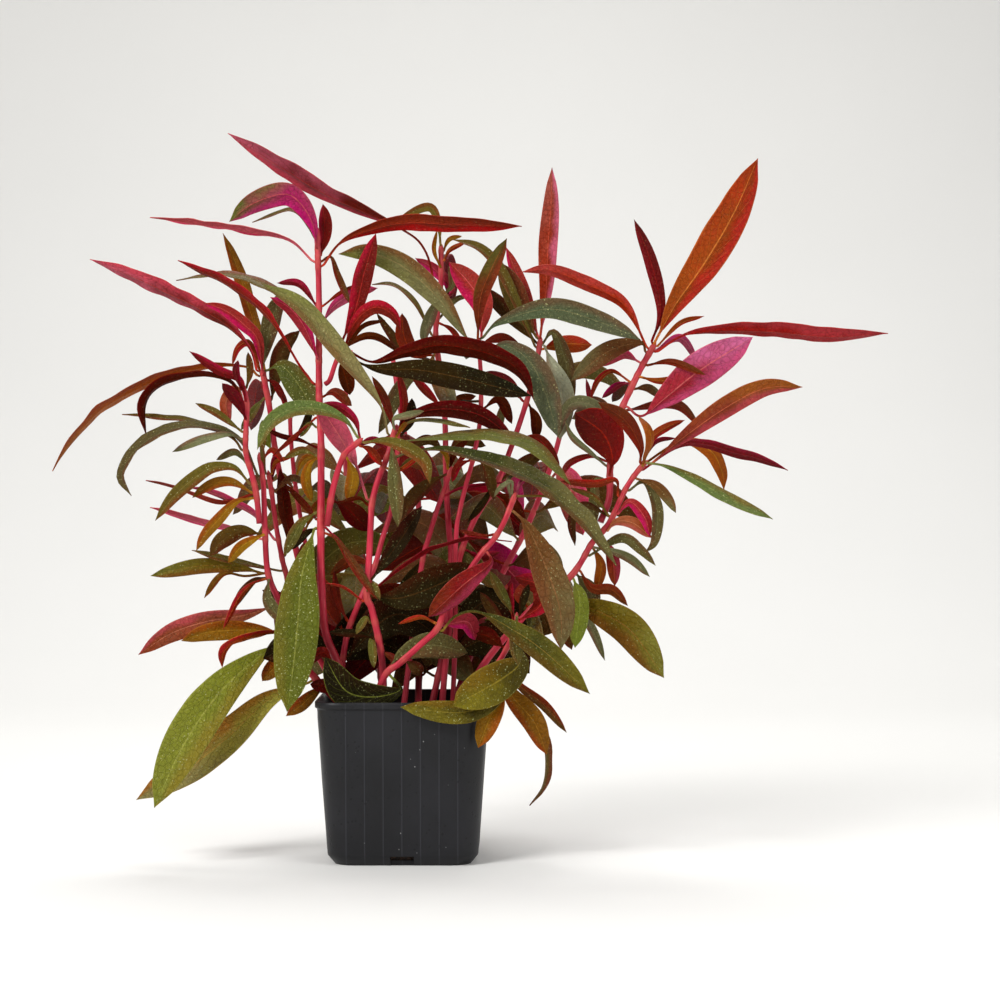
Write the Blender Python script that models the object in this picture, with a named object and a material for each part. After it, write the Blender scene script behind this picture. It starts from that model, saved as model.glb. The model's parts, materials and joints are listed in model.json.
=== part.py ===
"""A clump of Alternanthera reineckii in a square nursery pot.

Metres, +Z up, the origin in the middle of the pot's foot. The plant is laid out from one front
view of it: every stem and leaf is given by the points where that view shows it, and by how far it
stands in front of or behind the pot's axis. Large leaves are objects of their own; small leaves
are grown out of the side of the stem that carries them, by extruding one of its faces.
"""
import math
import random
from collections import namedtuple

import bmesh
import bpy
from mathutils import Matrix, Vector
from mathutils.bvhtree import BVHTree

MM = 0.001
TOUCH_GAP = 0.3 * MM

# The pot, a tapered square with rounded corners and a thin wall
POT_RIM = 90 * MM
POT_FOOT = 77 * MM
POT_HEIGHT = 84 * MM
POT_WALL = 1.2 * MM
POT_FLOOR = 2.0 * MM
POT_CORNER = 14 * MM
POT_CORNER_STEPS = 3
FOOT_BEVEL_HEIGHT = 5 * MM
FOOT_BEVEL_DEPTH = 3.5 * MM
LIP_HEIGHT = 3.5 * MM
LIP_DEPTH = 0.8 * MM
NOTCH_WIDTH = 12 * MM
NOTCH_HEIGHT = 5 * MM
NOTCH_REACH = 8 * MM

# The growing medium, flat where the stems stand and lower at the wall
MEDIUM_TOP = 73.5 * MM
MEDIUM_SHOULDER = 2 * MM
STEM_FOOT_HEIGHT = MEDIUM_TOP + TOUCH_GAP

# The front view: where the eye is, and how many of its pixels make a metre at the pot's axis
EYE = Vector((50 * MM, -1.25, 187 * MM))
VIEW_MIDDLE = 500
PIXELS_PER_METRE = 1900
TOWARD_EYE = Vector((0, -1, 0))
UP = Vector((0, 0, 1))

# Routes: the length over which a heading is read, and the first sideways direction
HEADING_HALF = 0.5 * MM
FIRST_ACROSS = Vector((1, 0.2, 0.1))
TINY = 1e-9

# Stems are five-sided. A node is a short swelling that up to three leaves grow from, and it is
# looked for near the wanted place, where a side that faces the leaf is worth some distance.
STEM_SIDES = 5
STEM_STRETCH = 48 * MM
FORK_SHIFT_SHARE = 0.3
NODE_HALF = 1.1 * MM
NODE_SWELL = 1.25
NODE_SPACING = 2.4 * MM
SHARED_RING = 1.2 * MM
FIRST_NODE = 2.2 * NODE_HALF
LAST_NODE_ROOM = 1.6 * NODE_HALF
NODE_SEARCH = 60
NODE_SEARCH_STEP = 0.2 * MM
FACING_WORTH = 5 * MM
MOST_LEAVES_AT_NODE = 3

# Blades are lance-shaped and folded along the midrib. The rings that give one its form lie at shares
# of its length; how straight it is, tip to base against its length, says how many it needs.
LEAF_THICKNESS = 0.9 * MM
THICK_AT_BASE = 1.15
THINNING = 0.5
LEAF_FOLD = math.radians(13)
MOST_SLENDER = 9.68
STALK_HALF_WIDTH = 0.7 * MM
BLADE_FULLEST = 0.562
BLADE_TAPER = 0.78
LARGE_RINGS = [0.15, 0.36, 0.58, 0.80]
SMALL_RINGS = [(0.88, [0.40]), (0.76, [0.28, 0.60]), (0.0, [0.20, 0.44, 0.70])]
NARROW_BLADE = 4.1 * MM
SHORT_BLADE = 34 * MM
SPIKE_STRAIGHT = 0.93

# A blade is rolled about its midrib in steps; a roll, and the wrong face toward the view, cost
FRAME_COUNT = 9
UPRIGHT = 0.05
ROLL_STEP = 5
ROLL_COST = 0.002
FACE_SLACK = 0.02
WRONG_FACE_COST = 2

# How much room a leaf needs before it counts as clear of the stems, the pot and the others
CLEARANCE = 0.35 * MM
POT_CLEARANCE = 1 * MM
STEM_CLEARANCE_SWELL = 1.35
TRIAL_TUBE_STEP = 9 * MM
TRIAL_BASE_SHARE = 0.85
LEAST_OUTWARD = -0.2

PLASTIC_ROUGHNESS = 0.45
MEDIUM_ROUGHNESS = 0.95
STEM_ROUGHNESS = 0.4
LEAF_ROUGHNESS = 0.45

Seat = namedtuple("Seat", "distance side")
Stem = namedtuple("Stem", "foot sights thick tip parent", defaults=(None,))
Leaf = namedtuple("Leaf", "stem sights shown lean face tone stalk name belly",
                  defaults=(0.05, None, 0))

UPPER, UNDER = 1, -1

# Each stem: where it stands on the medium (across, back) in mm, or the stem it forks from; then the
# points (across, down) where the view shows it with its depth behind the pot's axis in mm; then its
# thickness at the foot and at the tip in mm.
STEMS = {
    "stem_tall_left": Stem(
        (-26, -12),
        [(338, 664, -14), (325, 630, -15), (321, 570, -14), (321, 527, -12), (321, 440, -6),
         (319, 385, 0), (319, 300, 4), (318, 260, 5), (317, 226, 6)], 4.2, 2.8),
    "stem_second_left": Stem(
        None, [(321, 527, -12), (331, 490, -15), (343, 457, -19), (355, 445, -22), (363, 438, -24)],
        3.2, 2.8, "stem_tall_left"),
    "stem_side_shoot_left": Stem(
        None, [(319, 387, 0), (328, 380, -3), (336, 362, -6), (345, 345, -8)], 2.6, 2.2,
        "stem_tall_left"),
    "stem_centre": Stem(
        (-10, -19),
        [(382, 660, -19), (372, 610, -20), (367, 597, -20), (369, 560, -18), (371, 520, -16),
         (372, 503, -15), (378, 480, -14), (388, 455, -13), (392, 440, -12), (397, 424, -12)],
        3.6, 2.8),
    "stem_behind_centre": Stem(
        (-35, -4),
        [(345, 645, -7), (358, 605, -9), (373, 572, -6), (382, 540, 0), (392, 506, 4),
         (397, 460, 6), (398, 425, 8)], 3.2, 2.4),
    "stem_forked": Stem(
        (-1, -6),
        [(412, 640, 0), (422, 564, 6), (428, 540, 7), (437, 510, 8), (445, 488, 9), (452, 466, 9)],
        3.0, 2.4),
    "stem_middle_back": Stem(
        (13, 5),
        [(445, 640, 10), (451, 564, 16), (449, 530, 18), (447, 500, 20), (446, 470, 22),
         (444, 400, 28), (436, 340, 34), (438, 310, 35), (441, 279, 36), (441, 243, 37)], 3.4, 2.6),
    "stem_middle_right": Stem(
        (19, 1),
        [(448, 640, 4), (459, 562, 6), (470, 530, 7), (480, 510, 8), (497, 483, 9),
         (512, 445, 12), (524, 410, 14), (535, 372, 16), (541, 336, 18)], 3.2, 2.6),
    "stem_middle_thin": Stem(
        (25, -9),
        [(455, 640, -8), (456, 540, -5), (460, 510, -4), (466, 485, -3), (474, 455, -2),
         (480, 420, 0), (481, 380, 2), (478, 336, 4)], 2.6, 2.2),
    "stem_pink_front": Stem(
        (-18, -27),
        [(384, 677, -29), (400, 663, -31), (420, 645, -33), (437, 629, -35), (445, 610, -35),
         (461, 584, -37), (480, 555, -39), (494, 539, -40), (505, 520, -40), (516, 492, -40)],
        3.4, 2.6),
    "stem_low_right": Stem(
        (26, -22), [(480, 690, -25), (503, 655, -28), (514, 630, -30), (517, 612, -30)], 3.0, 2.4),
    "stem_right": Stem(
        (32, -2),
        [(480, 670, -2), (530, 610, -2), (571, 576, -4), (592, 543, -5), (603, 531, -6),
         (612, 518, -6), (625, 490, -8), (637, 472, -10), (648, 460, -11)], 3.8, 2.6),
    "stem_right_upper": Stem(
        None,
        [(606, 527, -6), (611, 500, -2), (610, 470, 1), (613, 432, 3), (622, 408, 5),
         (636, 378, 6), (646, 359, 7), (656, 342, 8)], 3.4, 3.0, "stem_right"),
    "stem_outer_left": Stem(
        (-30, 6),
        [(297, 655, 4), (280, 604, 1), (268, 573, -2), (265, 530, -4), (264, 500, -4),
         (263, 480, -3), (259, 452, -2)], 3.6, 2.6),
    "stem_curved_left": Stem(
        None,
        [(265, 522, -4), (258, 495, -8), (252, 475, -10), (246, 453, -11), (246, 430, -10),
         (247, 405, -9), (243, 385, -8)], 3.0, 2.4, "stem_outer_left"),
    "stem_inner_left": Stem(
        (-31, 16),
        [(300, 620, 14), (285, 570, 11), (281, 553, 10), (276, 525, 8), (272, 495, 7),
         (268, 470, 7)], 3.0, 2.4),
    "stem_back_left": Stem(
        (-26, 25),
        [(305, 580, 29), (288, 510, 29), (276, 455, 29), (270, 410, 29), (262, 368, 29)], 4.0, 2.8),
    "stem_thin_left": Stem(
        (-22, 34), [(320, 610, 42), (303, 530, 46), (296, 490, 46), (291, 440, 46), (290, 412, 46)],
        2.6, 2.2),
    "stem_rear_left": Stem(
        (-12, 24), [(372, 600, 60), (350, 500, 84), (344, 420, 98), (352, 350, 106)], 3.6, 2.6),
    "stem_rear_middle": Stem(
        (6, 27), [(420, 600, 58), (418, 500, 92), (402, 420, 116), (392, 352, 128)], 3.6, 2.6),
    "stem_rear_right": Stem(
        (24, 22), [(490, 600, 50), (530, 520, 76), (556, 450, 94), (570, 385, 104)], 3.6, 2.6),
}

# Each leaf: its stem; the points (across, down) where the view shows its midrib, from base to tip;
# the width it shows there in mm; how far its tip leans toward the eye in mm; which face shows;
# its tone; the share of its length that is a narrow stalk; for a large leaf, its own name; and how far its
# middle bulges toward the eye in mm.
LARGE_LEAVES = [
    Leaf("stem_middle_back", [(440, 288), (425, 250), (400, 228), (320, 190), (228, 133)],
         8.0, 26, UNDER, "crimson", 0.26, "leaf_longest_crimson_top_left"),
    Leaf("stem_tall_left", [(318, 250), (313, 225), (300, 203), (283, 194), (252, 204), (229, 222)],
         13.0, 8, UNDER, "magenta", 0.05, "leaf_bent_magenta_top"),
    Leaf("stem_tall_left", [(320, 268), (340, 243), (370, 229), (410, 222), (460, 224), (522, 226)],
         7.5, 34, UNDER, "crimson", 0.1, "leaf_dark_crimson_top"),
    Leaf("stem_side_shoot_left", [(345, 343), (355, 310), (365, 270), (376, 233)],
         10.5, 16, UPPER, "crimson", 0.08, "leaf_upright_crimson_left"),
    Leaf("stem_middle_thin", [(480, 350), (464, 334), (440, 300), (405, 268), (370, 253), (338, 254)],
         13.5, 24, UPPER, "olive", 0.06, "leaf_arched_olive_middle"),
    Leaf("stem_back_left", [(262, 368), (250, 348), (225, 322), (180, 298), (130, 275), (90, 259)],
         6.5, 4, UNDER, "crimson", 0.08, "leaf_far_left_crimson"),
    Leaf("stem_centre", [(392, 437), (378, 400), (335, 345), (300, 305), (262, 284)],
         10.5, 26, UPPER, "khaki", 0.12, "leaf_khaki_over_tall_stem"),
    Leaf("stem_back_left", [(262, 366), (282, 366), (302, 390), (314, 416)],
         15.0, 30, UPPER, "dark_green", 0.05, "leaf_dark_speckled_left"),
    Leaf("stem_second_left", [(363, 440), (345, 420), (320, 409), (290, 410), (268, 425), (257, 450)],
         8.5, 20, UPPER, "green", 0.05, "leaf_pale_green_bow_left"),
    Leaf("stem_centre", [(371, 500), (362, 483), (356, 465), (342, 440), (328, 418), (318, 404)],
         12.5, 14, UNDER, "magenta", 0.3, "leaf_magenta_centre"),
    Leaf("stem_side_shoot_left", [(343, 350), (373, 362), (405, 352), (440, 345), (485, 352),
                                  (520, 370), (534, 400)],
         9.5, 20, UNDER, "maroon", 0.1, "leaf_maroon_bow_centre"),
    Leaf("stem_side_shoot_left", [(341, 354), (375, 368), (420, 370), (470, 380), (532, 396)],
         14.0, 30, UPPER, "dark_green", 0.1, "leaf_blackish_centre"),
    Leaf("stem_middle_thin", [(478, 334), (500, 322), (550, 309), (600, 322), (641, 340)],
         12.5, 22, UPPER, "grey_green", 0.05, "leaf_blue_green_upper_right"),
    Leaf("stem_middle_thin", [(474, 330), (480, 300), (490, 272), (507, 238)],
         9.5, 12, UNDER, "brown", 0.05, "leaf_brown_upright_centre"),
    Leaf("stem_middle_thin", [(478, 332), (482, 305), (468, 282), (449, 262)],
         14.5, -18, UNDER, "magenta", 0.05, "leaf_magenta_behind_top"),
    Leaf("stem_middle_right", [(541, 338), (546, 290), (548, 245), (551, 205), (552, 167)],
         10.5, -4, UNDER, "orange_red", 0.04, "leaf_red_spire"),
    Leaf("stem_right_upper", [(652, 350), (625, 305), (590, 285), (550, 270), (521, 272)],
         7.5, 22, UNDER, "crimson", 0.08, "leaf_crimson_right_to_middle"),
    Leaf("stem_right_upper", [(655, 345), (675, 305), (705, 262), (735, 210), (758, 158)],
         20.0, 14, UNDER, "orange_red", 0.05, "leaf_orange_red_top_right"),
    Leaf("stem_right_upper", [(656, 350), (690, 333), (760, 330), (830, 336), (888, 333)],
         7.0, 6, UNDER, "crimson", 0.1, "leaf_far_right_crimson"),
    Leaf("stem_right_upper", [(624, 406), (642, 416), (665, 398), (700, 370), (753, 337)],
         20.0, 20, UNDER, "magenta", 0.14, "leaf_crinkled_pink_right"),
    Leaf("stem_right", [(646, 462), (680, 440), (725, 408), (765, 388), (803, 387)],
         11.5, 22, UNDER, "rose", 0.08, "leaf_rose_brown_right"),
    Leaf("stem_right", [(646, 462), (665, 466), (692, 478), (730, 499), (773, 519)],
         6.5, 30, UPPER, "green", 0.05, "leaf_fresh_green_right"),
    Leaf("stem_right_upper", [(610, 476), (612, 455), (602, 432), (575, 413)],
         22.0, 14, UNDER, "deep_red", 0.1, "leaf_deep_red_right"),
    Leaf("stem_middle_thin", [(481, 352), (505, 345), (530, 362), (546, 395), (558, 437)],
         15.0, 30, UPPER, "grey_green", 0.06, "leaf_grey_green_hanging"),
    Leaf("stem_middle_right", [(541, 345), (552, 365), (562, 395), (560, 440)],
         13.0, 22, UPPER, "pale", 0.06, "leaf_pale_hanging"),
    Leaf("stem_centre", [(392, 442), (440, 437), (490, 435), (530, 445), (555, 467), (571, 485)],
         7.0, 34, UPPER, "olive", 0.06, "leaf_olive_bow_centre"),
    Leaf("stem_centre", [(387, 458), (418, 450), (455, 452), (525, 475), (575, 512), (617, 566)],
         10.5, 44, UPPER, "green_dark_tip", 0.1, "leaf_green_bow_centre"),
    Leaf("stem_centre", [(394, 430), (405, 418), (440, 409), (480, 415), (515, 440)],
         10.0, 14, UNDER, "crimson", 0.05, "leaf_crimson_bow_centre"),
    Leaf("stem_pink_front", [(512, 510), (527, 526), (545, 565), (560, 610), (561, 650)],
         18.0, 24, UPPER, "brown_olive", 0.05, "leaf_olive_brown_hanging"),
    Leaf("stem_pink_front", [(437, 629), (456, 616), (478, 612), (510, 628), (545, 652), (590, 694)],
         13.5, 30, UPPER, "olive_orange", 0.26, "leaf_olive_orange_low_right"),
    Leaf("stem_right", [(562, 585), (575, 603), (600, 612), (632, 632), (664, 678)],
         18.0, 30, UPPER, "olive_orange", 0.05, "leaf_olive_yellow_low_right"),
    Leaf("stem_low_right", [(510, 640), (520, 662), (500, 680), (453, 706)],
         21.0, 26, UPPER, "yellow_green", 0.05, "leaf_broad_yellow_green_rim"),
    Leaf("stem_pink_front", [(388, 674), (400, 690), (372, 697), (345, 690), (325, 657)],
         17.0, 28, UPPER, "dark_green", 0.1, "leaf_dark_curled_front_rim"),
    Leaf("stem_tall_left", [(321, 530), (302, 575), (298, 620), (293, 668), (287, 712)],
         24.0, 36, UPPER, "dotted_green", 0.04, "leaf_dotted_green_hanging_left"),
    Leaf("stem_outer_left", [(292, 638), (252, 662), (215, 698), (182, 748), (154, 808)],
         23.0, 48, UPPER, "dotted_green", 0.05, "leaf_long_green_low_left"),
    Leaf("stem_outer_left", [(310, 678), (268, 700), (230, 735), (186, 770), (136, 800)],
         19.0, 22, UPPER, "yellow_green", 0.06, "leaf_orange_green_low_left"),
    Leaf("stem_back_left", [(262, 370), (245, 366), (200, 367), (150, 382), (100, 410), (68, 445),
                            (52, 471)],
         5.0, 28, UNDER, "gold", 0.05, "leaf_long_orange_bow_left"),
]

SMALL_LEAVES = [
    # Top of the tall left stem
    Leaf("stem_tall_left", [(319, 258), (325, 232), (323, 204)], 8.0, -12, UNDER, "crimson"),
    Leaf("stem_tall_left", [(317, 262), (290, 240), (250, 231), (200, 224), (150, 217)],
         3.2, -10, UNDER, "pink"),
    Leaf("stem_tall_left", [(317, 240), (295, 210), (252, 222)], 3.0, -26, UPPER, "olive"),
    Leaf("stem_tall_left", [(320, 264), (331, 257), (338, 276), (350, 304)], 4.0, 12, UPPER, "brown"),
    Leaf("stem_tall_left", [(319, 304), (340, 293), (358, 284)], 2.0, -4, UNDER, "crimson"),
    Leaf("stem_tall_left", [(319, 324), (335, 305), (355, 293), (378, 288)], 6.5, -10, UNDER, "pink"),
    Leaf("stem_tall_left", [(319, 304), (300, 284), (277, 283)], 4.2, -16, UNDER, "crimson"),
    Leaf("stem_tall_left", [(319, 347), (300, 310), (265, 285), (225, 274), (176, 280)],
         5.0, -18, UPPER, "olive"),
    Leaf("stem_tall_left", [(319, 358), (305, 328), (290, 308), (270, 297)], 7.5, 16, UNDER, "magenta"),
    Leaf("stem_tall_left", [(319, 384), (300, 365), (285, 340), (262, 308), (230, 285), (178, 260)],
         4.2, 10, UNDER, "crimson", 0.2),
    Leaf("stem_tall_left", [(320, 396), (335, 392), (352, 406)], 6.0, 8, UNDER, "brown"),
    Leaf("stem_tall_left", [(321, 425), (310, 424), (300, 437)], 3.5, 4, UPPER, "green"),
    Leaf("stem_tall_left", [(321, 418), (295, 437), (272, 456)], 2.6, 12, UNDER, "crimson"),
    Leaf("stem_tall_left", [(321, 450), (300, 440), (282, 436), (262, 427)], 2.8, 2, UNDER, "maroon"),
    Leaf("stem_tall_left", [(321, 452), (303, 450), (284, 458)], 4.5, -6, UPPER, "olive"),
    Leaf("stem_tall_left", [(321, 455), (309, 465), (306, 482), (312, 502)], 6.0, -12, UPPER, "gold"),
    Leaf("stem_tall_left", [(321, 515), (300, 525), (284, 556)], 6.5, 8, UPPER, "green"),
    Leaf("stem_tall_left", [(321, 522), (305, 505), (284, 483)], 3.8, -6, UNDER, "maroon"),
    Leaf("stem_tall_left", [(321, 526), (305, 534), (290, 550)], 4.5, -12, UPPER, "dark_green"),
    Leaf("stem_tall_left", [(321, 532), (337, 540), (355, 567), (378, 600)], 4.8, 14, UPPER, "brown"),
    Leaf("stem_tall_left", [(321, 530), (340, 543), (355, 565)], 2.4, 2, UNDER, "crimson"),
    Leaf("stem_tall_left", [(338, 664), (322, 652), (303, 668)], 6.0, 6, UNDER, "deep_red"),
    Leaf("stem_tall_left", [(344, 676), (334, 686), (310, 684)], 8.0, 14, UNDER, "deep_red"),
    Leaf("stem_tall_left", [(342, 672), (332, 684), (316, 692), (300, 706), (286, 716)],
         7.5, 6, UPPER, "gold", 0.3),
    # Second branch of the tall stem, and its side shoot
    Leaf("stem_second_left", [(362, 439), (385, 441), (408, 449), (425, 462), (430, 484)],
         7.5, 16, UPPER, "olive"),
    Leaf("stem_second_left", [(361, 440), (355, 420), (340, 407), (322, 403)],
         5.0, -8, UNDER, "crimson"),
    Leaf("stem_second_left", [(360, 441), (370, 450), (382, 466)], 4.6, -4, UNDER, "crimson"),
    Leaf("stem_second_left", [(345, 456), (353, 476), (348, 502)], 7.5, -8, UPPER, "gold"),
    Leaf("stem_second_left", [(328, 500), (347, 508), (370, 531)], 12.0, -12, UNDER, "maroon"),
    Leaf("stem_side_shoot_left", [(344, 347), (357, 320), (375, 307), (392, 314), (401, 330)],
         7.5, 12, UNDER, "crimson"),
    Leaf("stem_side_shoot_left", [(343, 350), (362, 327), (385, 320)], 2.4, -8, UNDER, "maroon"),
    Leaf("stem_side_shoot_left", [(341, 352), (362, 337), (380, 338), (400, 353)],
         4.2, -10, UNDER, "maroon"),
    Leaf("stem_side_shoot_left", [(338, 358), (345, 375), (350, 395)], 9.0, -10, UNDER, "maroon"),
    # Centre stem and the one behind it
    Leaf("stem_centre", [(396, 429), (394, 419), (405, 416), (424, 411)], 4.0, 14, UPPER, "pale"),
    Leaf("stem_centre", [(397, 427), (412, 421), (440, 421), (470, 427)], 2.8, 26, UPPER, "green"),
    Leaf("stem_centre", [(396, 430), (402, 428), (407, 422)], 2.8, 6, UPPER, "gold"),
    Leaf("stem_centre", [(392, 441), (394, 470), (398, 527)], 8.5, 14, UPPER, "grey_green"),
    Leaf("stem_centre", [(384, 466), (400, 470), (425, 452)], 2.6, 10, UNDER, "orange_red"),
    Leaf("stem_centre", [(371, 505), (358, 498), (338, 504)], 2.6, 4, UNDER, "maroon"),
    Leaf("stem_centre", [(369, 590), (400, 568), (435, 548), (475, 538), (512, 541)],
         2.6, 18, UNDER, "crimson"),
    Leaf("stem_centre", [(369, 580), (382, 566), (400, 540), (422, 506)], 10.0, 4, UPPER, "dark_green"),
    Leaf("stem_centre", [(368, 594), (400, 598), (440, 584), (478, 566)], 20.0, 4, UPPER, "dark_green"),
    Leaf("stem_centre", [(369, 600), (345, 588), (326, 583)], 1.8, 4, UNDER, "crimson"),
    Leaf("stem_centre", [(368, 592), (374, 584), (380, 600)], 2.8, 10, UPPER, "green"),
    Leaf("stem_centre", [(374, 620), (366, 618), (356, 634)], 4.2, 6, UPPER, "green"),
    Leaf("stem_centre", [(378, 640), (360, 634), (330, 632)], 4.5, 8, UPPER, "dark_green"),
    Leaf("stem_centre", [(380, 650), (372, 640), (374, 668)], 4.5, 10, UPPER, "green"),
    Leaf("stem_behind_centre", [(398, 432), (385, 400), (372, 376)], 5.0, -6, UNDER, "brown"),
    Leaf("stem_behind_centre", [(398, 434), (404, 402), (398, 372)], 5.0, -14, UNDER, "crimson"),
    Leaf("stem_behind_centre", [(398, 440), (410, 420), (412, 398)], 6.0, -2, UPPER, "dark_green"),
    Leaf("stem_behind_centre", [(397, 455), (375, 440), (358, 446)], 4.0, -10, UNDER, "crimson"),
    Leaf("stem_behind_centre", [(395, 470), (412, 462), (432, 470)], 6.0, -8, UPPER, "olive"),
    Leaf("stem_behind_centre", [(376, 565), (352, 560), (330, 575)], 6.0, -10, UNDER, "brown"),
    Leaf("stem_behind_centre", [(352, 622), (338, 600), (334, 570)], 4.0, -6, UNDER, "deep_red"),
    Leaf("stem_behind_centre", [(349, 632), (330, 636), (318, 650)], 5.0, -6, UPPER, "dark_green"),
    # Stems of the middle
    Leaf("stem_forked", [(450, 474), (425, 487), (411, 500), (402, 519)], 8.5, 16, UPPER, "olive_dark"),
    Leaf("stem_forked", [(451, 470), (462, 458), (478, 446)], 3.0, 4, UNDER, "crimson"),
    Leaf("stem_forked", [(451, 470), (446, 455), (436, 446)], 3.0, 2, UPPER, "gold"),
    Leaf("stem_forked", [(452, 468), (455, 452), (468, 440)], 4.0, -6, UNDER, "maroon"),
    Leaf("stem_forked", [(442, 495), (462, 488), (505, 482)], 1.8, 4, UNDER, "crimson"),
    Leaf("stem_forked", [(423, 560), (408, 585), (398, 612)], 9.0, -8, UPPER, "dark_green"),
    Leaf("stem_middle_back", [(441, 246), (438, 222), (428, 207), (398, 219)], 5.0, 8, UPPER, "olive"),
    Leaf("stem_middle_back", [(441, 250), (449, 240), (462, 236)], 2.8, -6, UPPER, "gold"),
    Leaf("stem_middle_back", [(441, 262), (450, 250), (466, 242)], 2.8, 4, UNDER, "orange_red"),
    Leaf("stem_middle_back", [(441, 268), (434, 250), (437, 230)], 2.6, 8, UPPER, "gold"),
    Leaf("stem_middle_back", [(441, 300), (452, 290), (435, 270), (415, 258)], 6.5, -14, UNDER, "magenta"),
    Leaf("stem_middle_back", [(441, 296), (452, 285), (450, 264)], 4.0, 2, UPPER, "grey_green"),
    Leaf("stem_middle_back", [(437, 348), (424, 338), (430, 318), (439, 298)],
         6.5, 14, UPPER, "pale"),
    Leaf("stem_middle_back", [(437, 356), (414, 352), (404, 336), (402, 313)],
         9.5, 8, UNDER, "deep_red"),
    Leaf("stem_middle_back", [(437, 352), (432, 364), (443, 386), (453, 413)],
         11.0, 22, UPPER, "brown_olive"),
    Leaf("stem_middle_back", [(437, 335), (414, 302), (395, 286), (372, 284)],
         3.0, -8, UPPER, "olive"),
    Leaf("stem_middle_back", [(438, 360), (405, 350), (388, 330), (376, 312)],
         5.0, -16, UPPER, "olive_dark"),
    Leaf("stem_middle_back", [(440, 318), (455, 300), (470, 296)], 3.4, -6, UPPER, "grey_green"),
    Leaf("stem_middle_back", [(440, 322), (452, 330), (462, 345)], 3.2, 6, UNDER, "crimson"),
    Leaf("stem_middle_back", [(444, 405), (430, 395), (412, 376)], 5.0, -8, UNDER, "crimson"),
    Leaf("stem_middle_back", [(444, 410), (456, 400), (476, 396)], 5.0, -10, UNDER, "maroon"),
    Leaf("stem_middle_back", [(446, 452), (430, 440), (410, 446)], 6.0, -12, UPPER, "olive_dark"),
    Leaf("stem_middle_back", [(446, 455), (462, 440), (486, 446)], 7.0, -10, UPPER, "olive_dark"),
    Leaf("stem_middle_right", [(541, 340), (524, 316), (512, 288), (500, 262)],
         13.0, -8, UPPER, "olive"),
    Leaf("stem_middle_right", [(540, 345), (515, 320), (497, 302), (483, 287)],
         9.0, -20, UPPER, "olive_dark"),
    Leaf("stem_middle_right", [(541, 340), (527, 300), (516, 272), (506, 247)],
         7.5, -26, UNDER, "magenta"),
    Leaf("stem_middle_right", [(541, 342), (553, 332), (564, 356), (573, 403)],
         8.5, 8, UPPER, "grey_green"),
    Leaf("stem_middle_right", [(540, 348), (562, 344), (592, 345)], 10.0, -12, UNDER, "orange_red"),
    Leaf("stem_middle_right", [(526, 404), (508, 384), (484, 372)], 8.0, -12, UNDER, "deep_red"),
    Leaf("stem_middle_right", [(526, 404), (536, 420), (536, 440)], 6.5, -8, UNDER, "maroon"),
    Leaf("stem_middle_right", [(515, 440), (500, 425), (505, 400)], 5.0, -6, UPPER, "grey_green"),
    Leaf("stem_middle_right", [(515, 440), (540, 440), (560, 470)], 6.5, -10, UNDER, "crimson"),
    Leaf("stem_middle_right", [(500, 480), (520, 466), (545, 452)], 7.5, -10, UPPER, "olive_dark"),
    Leaf("stem_middle_right", [(497, 484), (485, 500), (468, 522)], 4.0, 2, UPPER, "dark_green"),
    Leaf("stem_middle_right", [(492, 492), (510, 500), (525, 525)], 7.0, -10, UNDER, "maroon"),
    Leaf("stem_middle_right", [(464, 548), (480, 556), (500, 552)], 4.0, -8, UNDER, "crimson"),
    Leaf("stem_middle_thin", [(477, 338), (472, 345), (466, 359)], 6.5, 20, UPPER, "grey_green"),
    Leaf("stem_middle_right", [(541, 342), (515, 300), (499, 268), (480, 248), (452, 239)],
         6.0, 0, UPPER, "olive"),
    Leaf("stem_middle_thin", [(480, 345), (500, 338), (520, 345)], 6.0, -14, UNDER, "deep_red"),
    Leaf("stem_middle_thin", [(481, 384), (464, 372), (446, 366)], 6.5, -10, UNDER, "maroon"),
    Leaf("stem_middle_thin", [(480, 410), (500, 400), (512, 424)], 6.0, -10, UNDER, "maroon"),
    Leaf("stem_middle_thin", [(480, 400), (462, 404), (505, 431)], 3.5, 10, UPPER, "dark_green"),
    Leaf("stem_middle_thin", [(474, 455), (488, 470), (494, 500)], 6.0, -8, UPPER, "olive_dark"),
    Leaf("stem_middle_thin", [(474, 458), (458, 466), (452, 482)], 4.0, -6, UNDER, "crimson"),
    # Front pink stem
    Leaf("stem_pink_front", [(516, 494), (530, 496), (550, 498), (577, 515), (600, 541)],
         4.2, 8, UPPER, "olive", 0.3),
    Leaf("stem_pink_front", [(516, 494), (511, 482), (500, 488), (494, 497)], 2.8, 4, UPPER, "pale"),
    Leaf("stem_pink_front", [(516, 495), (520, 484), (532, 472)], 2.8, -4, UNDER, "pink"),
    Leaf("stem_pink_front", [(516, 497), (508, 480), (516, 474)], 2.4, -8, UPPER, "pale"),
    Leaf("stem_pink_front", [(484, 550), (490, 563), (464, 584), (428, 617)],
         13.0, -14, UNDER, "rose"),
    Leaf("stem_pink_front", [(496, 536), (480, 536), (460, 530)], 3.0, -8, UNDER, "deep_red"),
    Leaf("stem_pink_front", [(438, 626), (420, 617), (398, 624)], 2.6, 3, UNDER, "orange_red"),
    Leaf("stem_pink_front", [(439, 626), (452, 623), (468, 622), (475, 640)],
         9.5, -12, UNDER, "magenta"),
    Leaf("stem_pink_front", [(392, 670), (402, 654), (432, 645), (468, 653)],
         14.0, -14, UPPER, "grey_green"),
    Leaf("stem_pink_front", [(404, 659), (416, 668), (420, 676)], 7.0, -6, UPPER, "olive_dark"),
    Leaf("stem_pink_front", [(388, 674), (394, 660), (384, 652)], 4.0, -8, UNDER, "brown"),
    # Low right stem
    Leaf("stem_low_right", [(517, 614), (516, 640), (518, 665)], 7.5, 22, UPPER, "green"),
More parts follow.
